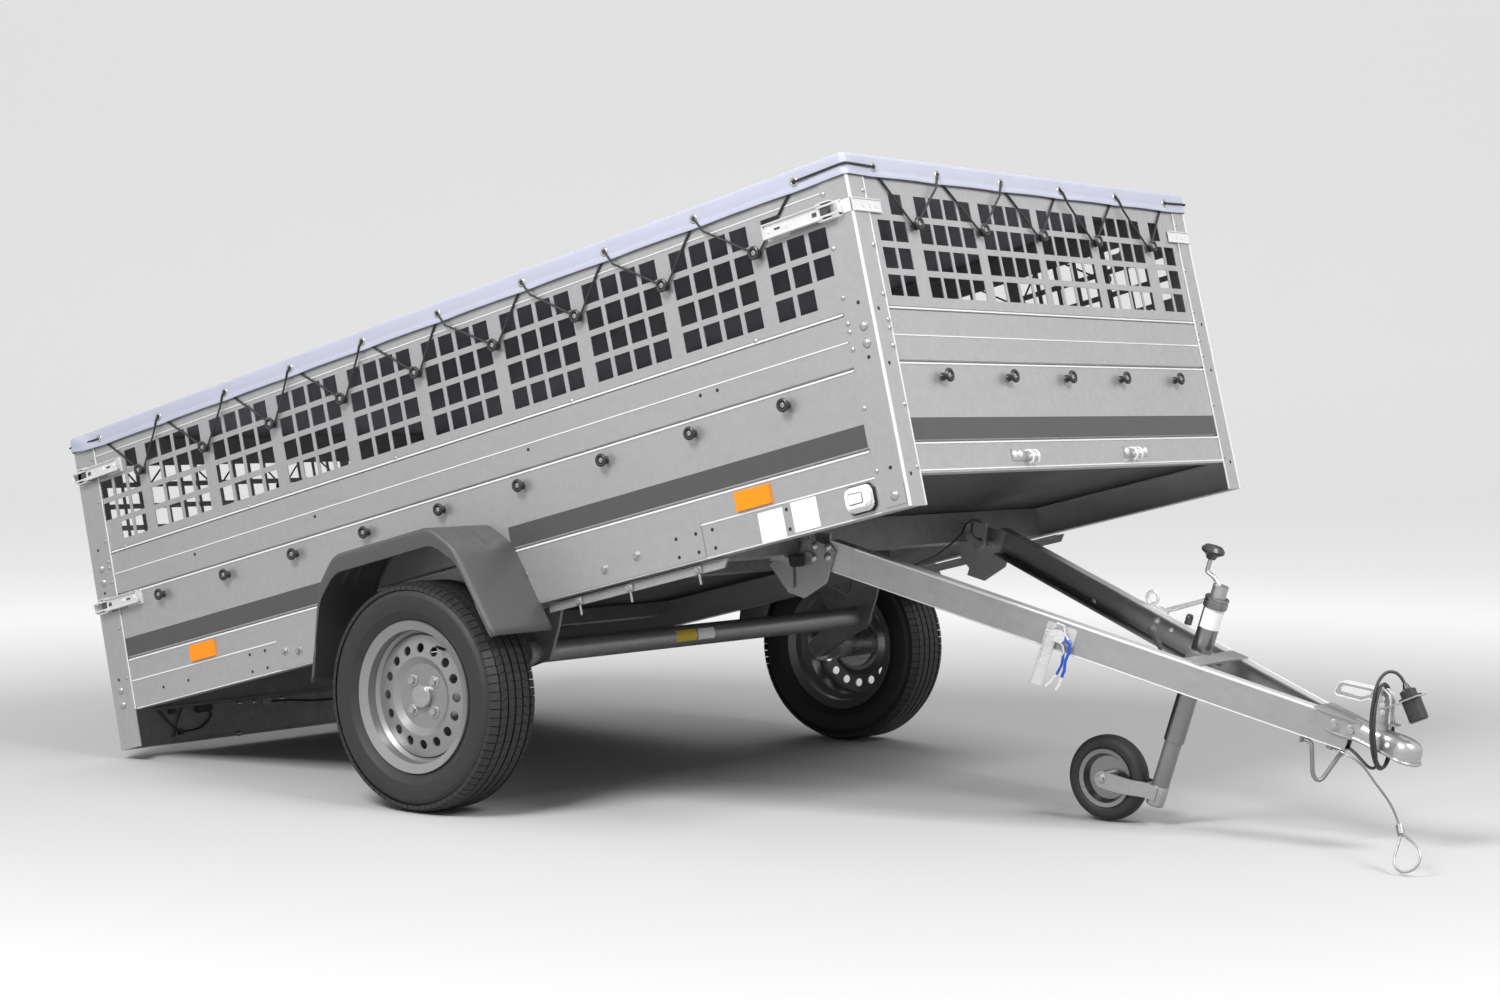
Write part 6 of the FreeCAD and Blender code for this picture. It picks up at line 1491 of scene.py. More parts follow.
@dataclass
class Fender:
    """Moulded plastic fenders with a rolled lip and ribbed legs."""

    inner: float = 740.0
    outer: float = 941.5
    sheet: float = 3.0
    outline: Flats = ((-317, 92.5), (-237, 317.5), (-167, 379.5), (167, 379.5), (237, 317.5), (317, 92.5))
    opening: Flats = ((-309, 93), (-236, 279), (-170, 333), (170, 333), (236, 279), (309, 93))
    corner: float = 26.0
    roll: float = 10.0
    legs: tuple[Flat, Flat] = ((0.17, 0.42), (0.58, 0.83))
    grooves: Flat = (0.42, 0.62)
    press: float = 5.0
    widths: tuple[float, ...] = (0.0, 0.1, 0.2, 0.3, 0.37, 0.385, 0.4, 0.42, 0.44, 0.455, 0.47, 0.52, 0.57, 0.585, 0.6,
                                 0.62, 0.64, 0.655, 0.67, 0.75, 0.88, 1.0)

    def rounded(self, line: Sequence[Flat], steps: int = 8, run: int = 10) -> list[Flat]:
        """Round the corners of an open line and divide its runs evenly.

        Args:
            line: its corners.
            steps: points in each rounded corner.
            run: points along each run.

        Returns:
            The points of the rounded line.
        """
        points = [Vector(point) for point in line]
        result = [points[0]]
        for before, at, after in zip(points, points[1:], points[2:]):
            back, on = (before - at).normalized(), (after - at).normalized()
            start, end = at + back * self.corner, at + on * self.corner
            last = result[-1]
            result += [last.lerp(start, step / run) for step in range(1, run)]
            for step in range(steps + 1):
                share = step / steps
                result.append((start.lerp(at, share)).lerp(at.lerp(end, share), share))
        last = result[-1]
        result += [last.lerp(points[-1], step / run) for step in range(1, run + 1)]
        return [tuple(point) for point in result]

    def rib(self, way: float, share: float) -> float:
        """Give how deep the two grooves of each leg press in.

        Args:
            way: the distance across the fender, from 0 at the body to 1 at the lip.
            share: the share of the arch's length.

        Returns:
            The depth in millimetres.
        """
        inside = any(low < share < high for low, high in self.legs)
        edge = min(abs(share - end) for leg in self.legs for end in leg)
        fade = min(1.0, edge / 0.02) if inside else 0.0
        return self.press * fade * sum(math.exp(-((way - middle) / 0.03) ** 4) for middle in self.grooves)

    def shell(self) -> Former:
        """Build the left fender as one skin: foot, arch, rolled edge and lip."""
        arch, lip = self.rounded(self.outline), self.rounded(self.opening)
        normals = [self.normal(arch, index) for index in range(len(arch))]
        foot, flat_end = self.inner + 0.3, self.outer - self.roll

        def line(y: float, presses: Sequence[float]) -> list[Point]:
            return [(x - out[0] * press, y, z - out[1] * press) for (x, z), out, press in zip(arch, normals, presses)]

        rows = [[(x + (lx - x) * 0.25, foot, z + (lz - z) * 0.25) for (x, z), (lx, lz) in zip(arch, lip)]]
        for width in self.widths:
            presses = [self.rib(width, index / (len(arch) - 1)) for index in range(len(arch))]
            rows.append(line(foot + (flat_end - self.inner) * width, presses))
        for degrees in (22, 45, 68, 90):
            angle = math.radians(degrees)
            rows.append(line(flat_end + self.roll * math.sin(angle), [self.roll * (1 - math.cos(angle))] * len(arch)))
        rim = line(0.0, [self.roll] * len(arch))
        for share in (0.35, 0.7, 0.94, 1.0):
            y = self.outer - (self.sheet if share == 1.0 else 0.0)
            rows.append([(x + (lx - x) * share, y, z + (lz - z) * share) for (x, _, z), (lx, lz) in zip(rim, lip)])
        former = Former().skin(rows)
        former.bm.normal_update()
        centre = Vector((0, self.inner + 60, 150))
        outward = sum((face.calc_center_median() - centre).dot(face.normal) * face.calc_area()
                      for face in former.bm.faces)
        return former if outward >= 0 else former.flipped()

    @staticmethod
    def normal(line: Sequence[Flat], index: int) -> Flat:
        """Give the outward normal of the arch at one of its points."""
        (x0, z0), (x1, z1) = line[max(index - 1, 0)], line[min(index + 1, len(line) - 1)]
        length = math.hypot(x1 - x0, z1 - z0)
        return (-(z1 - z0) / length, (x1 - x0) / length)

    def build(self) -> None:
        """Make both fenders."""
        for side, name in NAMED_SIDES:
            former = self.shell() if side > 0 else self.shell().swapped()
            piece = former.done("moulded_fender_" + name, FENDER_PLASTIC, "bed", "fender_plastic", 50)
            thickened(piece, self.sheet)
            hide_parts("fender_" + name)


@dataclass
class Wheels:
    """Road wheels: tyres with tread, rims with bolts and valves, and the jockey wheel's tyre."""

    track: float = 854.0
    radius: float = 273.5
    bead: float = 164.5
    pitches: int = 84
    groove: float = 7.0
    face: float = 881.5
    bolt_circle: float = 50.0
    bolts: int = 4
    sidewall: Flats = (
        (186, 62.5), (190, 65.5), (194, 67), (203, 74), (206, 75.8), (209, 75.6), (219, 78.2), (231, 78.5), (238, 77.6),
        (241, 78.0), (244, 76.8), (252, 72.5), (259, 66), (264, 58))
    blocks: tuple[tuple[float, float, float, float], ...] = (
        (-74, -52, 0.0, 1.3), (-47, -27, 4.0, 0.8), (-22, -3, 2.0, 0.5), (3, 22, -2.0, 0.5), (27, 47, -4.0, 0.8),
        (52, 74, 0.0, 1.3))
    small_tyre: Flats = ((66, 17), (73, 23.6), (76, 24.6), (84, 24.6), (88, 24.2), (93, 21), (96.5, 17),
                                    (99, 11), (99.8, 4))

    @staticmethod
    def ring(half: Sequence[Flat], centre: Point, placement: Placement, steps: int) -> Former:
        """Turn a tyre from one half of its profile, given as radii and distances out of its middle."""
        profile = [(radius, -away) for radius, away in half] + [(radius, away) for radius, away in half[::-1]]
        return Former(placement).lathe(profile, centre, (0, 1, 0), steps, hollow=True)

    def carcass(self, side: float) -> Former:
        """Build the tyre of one side without its tread blocks."""
        low = self.radius - self.groove
        half = [(self.bead, 54), (self.bead + 10, 60), *self.sidewall, (low, 52), (low, 33.2), (low - 0.4, 33),
                (low - 0.4, 11), (low, 10.8)]
        return self.ring(half, (0, side * self.track, 0), BED, 96)

    @staticmethod
    def drop(y: float, shoulder: bool) -> float:
        """Give how far the tread's crown falls off at a distance from its middle."""
        return 9.0 * max(0.0, (abs(y) - 56) / 18) ** 1.5 if shoulder else 1.2 * (abs(y) / 50) ** 2

    def tread_form(self) -> bpy.types.Object:
        """Build one pitch of the tread, centred on the wheel's axis and standing along z."""
        former = Former(SCENE)
        low, high = self.radius - self.groove - 2, self.radius
        reach = math.pi * self.radius / self.pitches
        for y0, y1, skew, gap in self.blocks:
            first, last = (self.drop(y, abs(y0 + y1) / 2 > 55) for y in (y0, y1))
            former.skin([[(x + skew, y0, low - first), (x + skew, y0, high - first), (x - skew, y1, high - last),
                          (x - skew, y1, low - last)] for x in (gap - reach, reach - gap)], ring=True, caps=True)
        return former.object("tread_pitch")

    def tread_tree(self) -> Nodes:
        """Build the tree that turns one tread pitch round the wheel."""
        nodes = Nodes.group("tread_round_wheel", "GeometryNodeTree",
                            {"Hub": "Geometry", "Form": "Object", "Count": "Int", "Finish": "Material"},
                            {"Tread": "Geometry"})
        start, end = nodes.ends()
        form = nodes.add("GeometryNodeObjectInfo", {"As Instance": True})
        spread = nodes.add("GeometryNodeDuplicateElements", domain="POINT")
        turn = nodes.sum("MULTIPLY", spread.outputs["Duplicate Index"], 2 * math.pi / self.pitches)
        about, as_turn = nodes.add("ShaderNodeCombineXYZ"), nodes.add("FunctionNodeEulerToRotation")
        copies = nodes.add("GeometryNodeInstanceOnPoints")
        real, dress = nodes.add("GeometryNodeRealizeInstances"), nodes.add("GeometryNodeSetMaterial")
        nodes.join((start.outputs["Hub"], spread.inputs["Geometry"]),
                   (start.outputs["Count"], spread.inputs["Amount"]), (turn, about.inputs["Y"]),
                   (about.outputs[0], as_turn.inputs[0]), (spread.outputs["Geometry"], copies.inputs["Points"]),
                   (start.outputs["Form"], form.inputs["Object"]),
                   (form.outputs["Geometry"], copies.inputs["Instance"]),
                   (as_turn.outputs[0], copies.inputs["Rotation"]), (copies.outputs[0], real.inputs[0]),
                   (real.outputs[0], dress.inputs["Geometry"]),
                   (start.outputs["Finish"], dress.inputs["Material"]), (dress.outputs[0], end.inputs["Tread"]))
        return nodes

    def tread(self) -> None:
        """Set the tread blocks round both tyres."""
        nodes = self.tread_tree()
        for side, name in NAMED_SIDES:
            mesh = bpy.data.meshes.new("hub_point")
            mesh.from_pydata([BED.at((0, side * self.track, 0))], [], [])
            values = {"Form": self.tread_form(), "Count": self.pitches, "Finish": SHOP.material(TYRE_RUBBER)}
            settled(nodes.run("tread_" + name, mesh, values), "wheel_" + name)

    def trim(self) -> None:
        """Add the wheel bolts, valves and hub caps."""
        for side, name in NAMED_SIDES:
            angles = [math.radians(360 * index / self.bolts + 32) for index in range(self.bolts)]
            spots = [Spot((self.bolt_circle * math.cos(a), side * self.face, self.bolt_circle * math.sin(a)),
                          (0, side, 0), 1.25) for a in angles]
            REPEATER.set("wheel_bolts_" + name, BOLT, spots, BRIGHT_ZINC, "wheel_" + name, "bright_zinc")
            valve = Former().lathe([(4, 0), (4.4, 14), (3.4, 16), (3.4, 30), (2.4, 31)],
                                   (96, side * (self.face + 6), 96), (0.25, side, 0.25), 14)
            valve.done("valve_" + name, BLACK_PLASTIC, "wheel_" + name, "black_tyre")
            cap = Former().lathe([(28.8, 0), (28.8, 9), (26.5, 12.4), (20, 12.8), (18.4, 11.4), (4, 11.4)],
                                 (0, side * self.face, 0), (0, side, 0), 40)
            cap.done("hub_cap_" + name, BRIGHT_ZINC, "wheel_" + name, "bright_zinc")

    def jockey(self) -> None:
        """Make the jockey wheel's solid tyre."""
        former = self.ring(self.small_tyre, jockey_centre(), SCENE, 72)
        piece = former.done("solid_jockey_tyre", TYRE_RUBBER, "jockey_wheel", "black_tyre")
        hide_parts("jockey_tyre")

    def build(self) -> None:
        """Make all the tyres and the wheels' trim."""
        for side, name in NAMED_SIDES:
            piece = self.carcass(side).done("carcass_" + name, TYRE_RUBBER, "wheel_" + name, "black_tyre", 40)
            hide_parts("tyre_" + name)
        self.tread()
        self.trim()
        self.jockey()


def jockey_centre() -> Point:
    """Give the middle of the jockey wheel in the model, in millimetres."""
    return tuple((low + high) / 2 / MM for low, high in zip(*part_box("jockey_tyre")))


@dataclass
class Drawbar:
    """Fasteners, buffers, labels and small lines of the drawbar, the pivot and the axle."""

    shoe_bolts: Flats = ((3.5, 29), (42, 40), (10, 2), (48, 18))
    axle: Flat = (168.0, 59.0)
    sticker_radius: float = 28.3
    stickers: tuple[tuple[Finish, str, float, float], ...] = (
        (YELLOW_LABEL, "yellow_sticker", -152, -72), (LABEL, "pale_sticker", -64, 2))

    def shoes(self) -> None:
        """Bolt the shoes to the arms."""
        spots = pairs([(x, 389, z) for x, z in self.shoe_bolts], (0, 1, 0), 0.95)
        REPEATER.set("shoe_bolts", DOME, spots, BRIGHT_ZINC, "drawbar", "bright_zinc", BAR)
        front = pairs([(1206, 29.2, 35), (1241, 18.6, 35)], (0.295, 0.956, 0), 1.05)
        REPEATER.set("neck_bolts", BOLT, front, BRIGHT_ZINC, "drawbar", "bright_zinc", BAR)

    def arm_edges(self) -> None:
        """Run painted highlights along both arms' folds, and painted sheen over their top flanges."""
        # Bright rods on the arms' edges: painted highlights.
        edges = Former(BAR).tube([on_arm(x, -2.0, 54.6) for x in (66, 400, 800, 1174)], 3.2, 10)
        edges.tube([on_arm(x, -1.6, -12.9) for x in (30, 400, 800, 1250)], 2.2, 10)
        edges.mirrored().done("arm_folds", ZINC_AND_PAINTED_HIGHLIGHT, "drawbar", "galvanised_steel")
        # Thin pale sheets on the top flanges: painted sheen from the light above.
        ends = ((62, -2), (1174, -2), (1174, -30), (62, -34))
        top_sheen = Former(BAR).skin([[on_arm(x, out, z) for x, out in ends] for z in (56.3, 56.9)], ring=True, caps=True)
        top_sheen.mirrored().done("arm_tops", PALE_ZINC_AND_PAINTED_SHEEN, "drawbar", "galvanised_steel")

    def buffers(self) -> None:
        """Set the rubber buffers between the stop brackets and the shoes."""
        former = Former().plate([(796, 130), (822, 126), (826, 150), (812, 158), (796, 158)], "y", 395, 424, 3)
        former.mirrored().done("stop_buffers", TYRE_RUBBER, "bed", "black_plastic")

    def labels(self) -> None:
        """Add the blank stickers round the axle."""
        (x, z), radius = self.axle, self.sticker_radius
        for finish, name, y0, y1 in self.stickers:
            angles = [math.radians(a) for a in (-35, -20, -5, 10, 25)]
            former = Former().skin([[(x + radius * math.cos(a), y, z + radius * math.sin(a)) for a in angles]
                                    for y in (y0, y1)])
            former.facing((1, 0, 0)).done(name, finish, "bed", "galvanised_steel")

    def build(self) -> None:
        """Dress the drawbar."""
        self.shoes()
        self.arm_edges()
        self.buffers()
        self.labels()


def on_arm(along: float, out: float, level: float) -> Point:
    """Give a place on the left arm: along it from its rear end, out of its web, at a level."""
    turn = math.radians(ARM_SPLAY)
    return (ARM_REAR[0] + along * math.cos(turn) + out * math.sin(turn),
            ARM_REAR[1] - along * math.sin(turn) + out * math.cos(turn), level)


@dataclass
class Coupling:
    """The ball coupling: cheeks and saddle on the arms, stamped head, handle dressing, loop and clip."""

    rear: float = 1239.0
    ball: float = 1366.0
    low: float = 17.0
    neck: float = 20.0
    wide: float = 27.0
    dome: float = 36.0
    sheet: float = 3.5
    nod: float = 0.025
    rise_start: float = 1280.0
    rise_run: float = 75.0
    rear_height: float = 0.86
    levels: Flats = ((0, 17), (0, 30), (0.4, 38), (2, 47), (6, 54.5), (12, 60), (20, 63.5), (28, 65.4),
                                (34, 66))
    handle_outline: Flats = ((1290, 52), (1316, 52), (1316, 78), (1304, 128), (1297, 140), (1283, 146),
                                        (1262, 140), (1188, 127), (1179, 121), (1175, 101), (1181, 94), (1240, 103),
                                        (1257, 116), (1265, 112), (1284, 78))
    panel: Flats = ((1190, 106), (1238, 112), (1256, 124), (1258, 133), (1192, 121), (1187, 116))
    plug_seat: Point = (1339.7, 0.0, 148.7)
    seat_hole: float = 21.8
    seat_half: float = 28.0
    seat_foot: float = 50.0
    seat_sheet: float = 3.0

    def plan(self) -> list[Flat]:
        """Give the head's outline from above, from its left rear round the front to its right rear."""
        half = [(self.rear + step / 8 * 100, self.neck + (self.wide - self.neck) * step / 8) for step in range(9)]
        for degrees in (*range(115, 5, -10), 0):
            angle = math.radians(degrees)
            half.append((self.ball + self.dome * math.cos(angle), self.dome * math.sin(angle)))
        return half + [(x, -y) for x, y in half[-2::-1]]

    def row(self, inset: float, height: float, inner: float) -> list[Point]:
        """Give one level line of the head.

        Args:
            inset: how far it lies inside the outline at the dome.
            height: its height at the dome.
            inner: how far inside the outer face it lies.

        Returns:
            Its points.
        """
        keep = (1 - inset / self.dome) * (1 - inner / self.dome)
        points = []
        for x, y in self.plan():
            share = min(max((x - self.rise_start) / self.rise_run, 0), 1)
            tall = self.rear_height + (1 - self.rear_height) * share * share * (3 - 2 * share)
            lift = max(self.low + (height - self.low) * tall - inner, self.low) + self.nod_at(x)
            ahead = max(0.0, x - self.ball)
            along = self.ball + ahead * keep if ahead else x + (inner if x < self.rear + 1 else 0)
            points.append((along, y * keep, lift))
        return points

    def nod_at(self, x: float) -> float:
        """Give how far the head is raised at a place, because its nose points down a little."""
        return (self.ball + self.dome - x) * self.nod

    def head(self) -> None:
        """Make the stamped head with its rolled edge, open below for the ball."""
        rows = [self.row(inset, height, self.sheet) for inset, height in self.levels[::-1]]
        rows += [self.row(inset, height, 0.0) for inset, height in self.levels]
        edge = [(x, y * 1.04, self.low + 1.5 + self.nod_at(x)) for x, y in self.plan()[1:-1]]
        former = Former(BAR).skin(rows, ring=True, caps=True).tube(edge, 3.6, 12)
        piece = former.done("coupling_head_shell", BRIGHT_ZINC, "drawbar", "bright_zinc", 50)
        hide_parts("coupling_head")
        rivets = pairs([(1300, 23.9, 42), (1332, 25.6, 39)], (0, 1, 0), 1.1)
        rivets = [Spot(spot.foot, (0, spot.out[1], 0.15), spot.size) for spot in rivets]
        REPEATER.set("head_rivets", RIVET, rivets, ZINC_AND_PAINTED_HIGHLIGHT, "drawbar", "bright_zinc", BAR)

    def saddle(self) -> None:
        """Make the cheeks on the arms' webs, the saddle on top and the bridge to the head."""
        outline = ((1174.8, 40), (1192, 30), (1215, 17), (1262, 17), (1262, 56.5), (1174.8, 56.5))
        former = Former(BAR)
        former.skin([[on_arm(x, out, z) for x, z in outline] for out in (-0.2, 4.0)], ring=True, caps=True)
        former.tube([on_arm(1206, 2.6, 20), on_arm(1222, 3.2, 17.4), on_arm(1262, 3.4, 17.8), (1262, 21.6, 20.6),
                     (1280, 23.6, 21)], 3.2, 10)
        former.mirrored()
        former.plate([(1154, -46), (1179, -46), (1259, -21), (1259, 21), (1179, 46), (1154, 46)], "z", 56.4, 60.5, 1.2)
        former.plate([(1239, -20.5), (1262, -20.5), (1262, 20.5), (1239, 20.5)], "z", 40, 57, 1.0)
        former.done("coupling_saddle", ARM_STEEL, "drawbar", "bright_zinc")

    def holder(self, former: Former) -> None:
        """Add the plate with a hole that the plug is parked in.

        Args:
            former: the mesh it goes into.
        """
        centre, axis, up = Vector(self.plug_seat), Vector((0.669, 0, -0.743)), Vector((0.743, 0, 0.669))
        angles = sorted([2 * math.pi * step / 32 for step in range(32)] + [math.radians(a) for a in (240.75, 299.25)])
        rows = []
        for side, rise in ((math.cos(a), math.sin(a)) for a in angles):
            tall = self.seat_half if rise > 0 else self.seat_foot
            reach = min(self.seat_half / max(abs(side), 1e-6), tall / max(abs(rise), 1e-6))
            spoke = Vector((0, 1, 0)) * side + up * rise
            rows.append([centre + spoke * away + axis * deep
                         for away, deep in ((reach, 0), (reach, self.seat_sheet), (self.seat_hole, self.seat_sheet),
                                            (self.seat_hole, 0))])
        former.skin(rows, ring=True, loop=True)

    def handle(self) -> None:
        """Make the handle with its rolled rims, pressed panel, trigger, rivets and the plug's plate."""
        former = Former(BAR).plate(self.handle_outline, "y", -10, 10, 1.2)
        former.plate([(1284, 72), (1334, 80), (1334, 84), (1284, 77)], "y", -13, 13, 1.0)
        self.holder(former)
        piece = former.done("handle_body", BRIGHT_ZINC, "drawbar", "bright_zinc")
        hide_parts("coupling_handle")
        rims = Former(BAR)
        for side in SIDES:
            rims.tube([(x, side * 10.2, z) for x, z in self.handle_outline[2:]], 2.2, 10)
            rims.plate(self.panel, "y", *sorted((side * 9.6, side * 11.6)), 0.7)
        rims.done("handle_rims", LATCH_ZINC, "drawbar", "bright_zinc")
        rivets = pairs([(1284, 10, 126), (1288, 10, 113), (1294, 10, 98)], (0, 1, 0), 1.15)
        REPEATER.set("handle_rivets", RIVET, rivets, ZINC_AND_PAINTED_HIGHLIGHT, "drawbar", "bright_zinc", BAR)

    def loop(self) -> None:
        """Make the bent support loop under the arms and the safety wire's clip."""
        path = [(1142, -31, -21), (1160, -31, -21), (1168, -30, -24), (1172, -29, -32), (1184, -14, -86),
                (1188, -10, -96), (1195, -7, -102), (1202, -4, -101), (1207, -1, -94), (1222, 12, -34),
                (1228, 15, -18)]
        former = Former(BAR).tube(path, 5.0, 14)
        for x, y, z in ((1146, -31, -21), (1224, 13, -27)):
            former.block((x - 4, y - 9, z - 9), (x + 4, y + 9, z + 9), 2)
        former.block((1198, -21, -23.5), (1212, -3, -14.6), 1.2)
        piece = former.done("support_rod", MID_STEEL, "drawbar", "galvanised_steel")
        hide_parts("support_loop")

    def build(self) -> None:
        """Make the whole coupling."""
        self.head()
        self.saddle()
        self.handle()
        self.loop()


@dataclass
class Jockey:
    """What the jockey wheel's column carries: blank label, ribs, lever and grip, wheel nut."""

    column: float = 838.5
    label_radius: float = 24.12
    label_levels: Flat = (119.0, 166.0)
    fork_sheet: float = 4.6
    fork_runs: tuple[tuple[float, float, float, float], ...] = (
        (690.7, 33.5, -306.5, -304), (692.4, 33.5, -312.5, -298), (697, 33.5, -319.5, -291.2),
        (703, 33.5, -323.5, -287.6), (708.5, 33.5, -325, -286.2), (722, 33.5, -325, -285.4),
        (770, 33.5, -317, -279), (788, 31.5, -312.5, -276),
        (806, 26, -308, -272), (822, 23, -305, -270), (846, 23, -303, -271))

    def turned(self, former: Former, profile: Sequence[Flat], level: float = 0.0, steps: int = 40) -> Former:
        """Add a form turned round the column."""
        return former.lathe(profile, (self.column, 0, level), (0, 0, 1), steps)

    def label(self) -> None:
        """Wrap the blank label round the column."""
        angles, radius = [math.radians(a) for a in range(-122, 19, 4)], self.label_radius
        former = Former(BAR).skin([[(self.column + radius * math.cos(a), radius * math.sin(a), level) for a in angles]
                                   for level in self.label_levels])
        former.facing((0.6, -0.8, 0)).done("column_label", LABEL, "jockey_column", "galvanised_steel")

    def lever(self) -> None:
        """Make the clamp's screw with its teardrop grip."""
        rod = Former(BAR).tube([(808, -2, 30), (792, -8, 22), (776, -18, 20), (764, -26, 26), (757, -28, 36)], 4.2, 12)
        piece = rod.done("clamp_screw", BRIGHT_ZINC, "drawbar", "bright_zinc")
        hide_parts("clamp_lever")
        profile = [(4.4, 0), (5.8, 6), (6.8, 18), (9.0, 32), (11.2, 44), (11.8, 52), (10.0, 59), (5.6, 63.5), (1.5, 65)]
        grip = Former(BAR).lathe(profile, (758, -27.5, 32), (-0.67, -0.05, 0.74), 24)
        grip.done("clamp_grip", FENDER_PLASTIC, "drawbar", "black_plastic")

    def ribs(self) -> None:
        """Add the cap's ribs."""
        former = Former(BAR)
        for level in (169, 176, 186):
            self.turned(former, [(26.6, 0), (28.2, 1.2), (28.2, 3.2), (26.6, 4.4)], level, 36)
        former.done("cap_ribs", POLISHED, "jockey_column", "bright_zinc")

    def fork(self) -> None:
        """Make the fork: two eyed plates that draw in to a collar round the inner tube, and the axle."""
        half = self.fork_sheet / 2
        former = Former(BAR).skin([[(u, y - half, low), (u, y + half, low), (u, y + half, high), (u, y - half, high)]
                                   for u, y, low, high in self.fork_runs], ring=True, caps=True)
        self.turned(former.mirrored(), [(19, -316), (21.2, -314), (21.6, -300), (21.6, -272), (20.6, -270)])
        former.block((811, -22, -306), (818, 22, -272), 1)
        former.lathe([(6, -42), (6, 42)], (708.5, 0, -304.8), (0, 1, 0), 20)
        piece = former.done("fork_plates", ARM_STEEL, "jockey_fork", "galvanised_steel")
        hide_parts("jockey_fork")
        stem = self.turned(Former(BAR), [(19, -318), (20, -316), (20, 99), (19, 100)])
        piece = stem.done("inner_stem", MID_STEEL, "jockey_column", "galvanised_steel")
        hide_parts("jockey_inner_tube")

    def nut(self) -> None:
        """Put nuts and washers on the jockey wheel's axle."""
        x, y, z = jockey_centre()
        spots = [Spot((x, y + side * 35.8, z), (0, side, 0)) for side in SIDES]
        REPEATER.set("jockey_nuts", BOLT, spots, BRIGHT_ZINC, "jockey_fork", "bright_zinc", SCENE)

    def build(self) -> None:
        """Dress the column and its clamp."""
        self.label()
        self.lever()
        self.ribs()
        self.fork()
        self.nut()


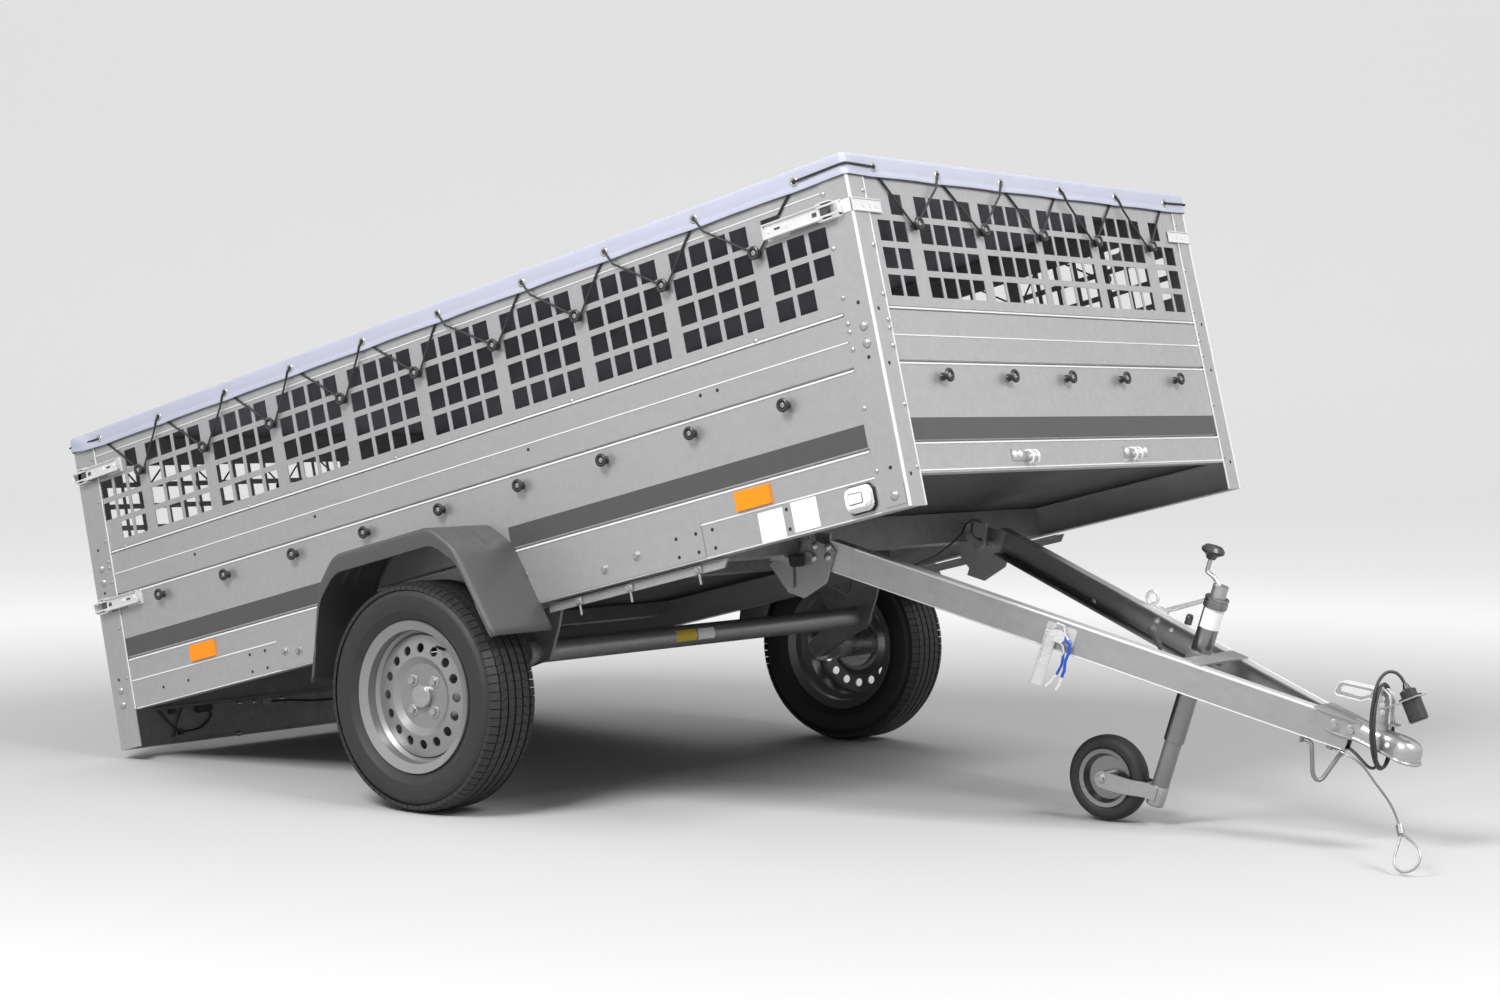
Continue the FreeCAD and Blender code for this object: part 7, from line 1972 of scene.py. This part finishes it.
class ArmLatches:
    """The drawbar's own latches: the open one on the right arm, the closed one on the left, and the blue tag."""

    @staticmethod
    def slab(former: Former, outline: Sequence[Flat], out: Flat) -> None:
        """Add a flat piece: its outline along the left arm and up, and its span out of the arm's web."""
        former.skin([[on_arm(x, away, z) for x, z in outline] for away in out], ring=True, caps=True)

    def open_latch(self) -> None:
        """Make the right arm's latch, its blade hanging down."""
        base, former = Former(BAR), Former(BAR)
        self.slab(base, ((549, 3), (620, 3), (620, 42), (616, 45), (553, 45), (549, 42)), (-0.2, 2.6))
        for out in ((2.4, 5.2), (17.0, 19.6)):
            self.slab(former, ((562, 10), (594, 8), (600, 18), (598, 34), (586, 38), (566, 34)), out)
        self.slab(former, ((552, 28), (580, 32), (578, -102), (550, -104)), (7.0, 9.4))
        for edge in (((554, 26), (552, -102)), ((578, 28), (576, -101))):
            former.tube([on_arm(x, 10.4, z) for x, z in edge], 2.4, 10)
        former.tube([on_arm(570, out, 20) for out in (2, 12, 23)], 4.0, 12)
        former.tube([on_arm(x, 12, z) for x, z in ((566, 34), (574, 50), (590, 48), (596, 30), (608, 20))], 3.0, 10)
        former.tube([on_arm(x, 15, z) for x, z in ((586, 14), (600, 4), (606, -10), (602, -22))], 2.6, 10)
        piece = former.swapped().done("open_latch", LATCH_ZINC, "drawbar", "bright_zinc")
        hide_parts("arm_latches")
        base.swapped().done("open_latch_base", PALE_ZINC_AND_PAINTED_SHEEN, "drawbar", "bright_zinc")

    def closed_latch(self) -> None:
        """Make the left arm's latch, its lever raised and its ring over the arm."""
        former = Former(BAR)
        self.slab(former, ((549, 3), (620, 3), (620, 62), (549, 62)), (-0.2, 2.6))
        self.slab(former, ((575, 28), (612, 28), (616, 62), (590, 66), (575, 60)), (2.4, 9.0))
        x, y, z = on_arm(558, 0.5, 76)
        angles = [2 * math.pi * step / 24 for step in range(25)]
        former.tube([(x + 15 * math.cos(a), y, z + 15 * math.sin(a)) for a in angles], 4.2, 10)
        for out in (3.0, 13.0):
            former.tube([on_arm(600, out, 58), on_arm(628, out, 73), on_arm(734, out, 141)], 3.0, 10)
        self.slab(former, ((598, 56), (632, 72), (735, 138), (732, 146), (602, 66)), (4.0, 12.0))
        former.done("closed_latch", LATCH_ZINC, "drawbar", "bright_zinc")
        profile = [(9.5 if step % 2 else 8.0, 2.0 * step) for step in range(11)] + [(7.0, 24)]
        stub = Former(BAR).lathe(profile, on_arm(680, 12, 56), (0, 0, 1), 20)
        stub.done("latch_stub", BLACK_PLASTIC, "drawbar", "black_plastic")

    def tag(self) -> None:
        """Make the blue tag that hangs beside the open latch."""
        tag = Former(BAR)
        tag.tube([(594, -224, 26), (612, -222, 22), (628, -217, 12), (632, -215, -5), (629, -216, -28),
                  (633, -215, -50), (632, -216, -66)], 3.6, 10)
        tag.tube([(600, -223, 22), (614, -221, 6), (622, -219, -16), (624, -218, -40), (619, -219, -64)], 3.0, 10)
        tag.done("blue_tag", BLUE_TAG, "drawbar", "black_plastic")
        ends = Former(BAR).tube([(632, -216, -66), (631, -216, -84), (627, -217, -99)], 3.0, 10)
        ends.tube([(619, -219, -64), (611, -222, -84), (603, -224, -99)], 2.6, 10)
        ends.done("tag_ends", LABEL, "drawbar", "black_plastic")

    def build(self) -> None:
        """Make both latches, the tag and the bolts on the far arm."""
        self.open_latch()
        self.closed_latch()
        self.tag()
        inner = [Spot(foot, (-0.295, -0.956, 0), size)
                 for foot, size in (((608, 206, 34), 0.9), ((658, 190.6, 29), 0.6), ((395, 272, -5), 0.8))]
        REPEATER.set("far_arm_bolts", DOME, inner, ZINC_AND_PAINTED_HIGHLIGHT, "drawbar", "bright_zinc", BAR)


class CadFinishes:
    """Gives the CAD nodes that stay in sight their finishes."""

    by_finish: tuple[tuple[Finish, tuple[str, ...]], ...] = (
        (BOARD_STEEL, ("side_rail_left", "side_rail_right", "side_board_left", "side_board_right", "mesh_board_left",
                       "mesh_board_right", "mesh_board_front", "mesh_board_rear", "corner_posts", "front_board",
                       "tailgate")),
        (ARM_STEEL, ("arm_left", "arm_right", "jockey_clamp", "shoes", "pivot_brackets", "tailgate_hinges",
                     "hinge_brackets")),
        (FRAME_STEEL, ("frame_beams", "axle_plates", "swing_arms", "lamp_beam")),
        (MID_STEEL, ("axle_tube",)),
        (POLISHED, ("jockey_outer_tube", "jockey_rim")),
        (BRIGHT_ZINC, ("tailgate_catches", "pivot_bolts", "jockey_crank", "hub_left", "hub_right",
                       "wire_ferrule")),
        (RIM_PAINT, ("rim_left", "rim_right")),
        (BLACK_PLASTIC, ("crank_knob", "plug")),
        (SHEATH, ("arm_cable",)),
        (REFLECTOR, ("reflectors",)),
        (FLOOR_BOARD, ("floor_panel",)),
    )

    def build(self) -> None:
        """Assign the finishes to the nodes' material slots."""
        for finish, names in self.by_finish:
            for name in names:
                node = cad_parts[name]
                for slot in node.material_slots:
                    slot.material = SHOP.material(finish)
                LOG.info("%s in %s", name, finish.name)


REPEATER = Repeater()


def main() -> None:
    """Build the studio, the cords and every sub-assembly in order."""
    logging.basicConfig(level=logging.INFO, format="%(name)s: %(message)s")
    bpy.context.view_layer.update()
    for part in (Studio(), Lead(), SafetyWire(), Cover(), Boards(), Latches(), Lamps(), Fender(), Wheels(),
                 Drawbar(), Coupling(), Jockey(), ArmLatches(), CadFinishes()):
        LOG.info("building %s", type(part).__name__)
        part.build()


if __name__ == "__main__":
    main()
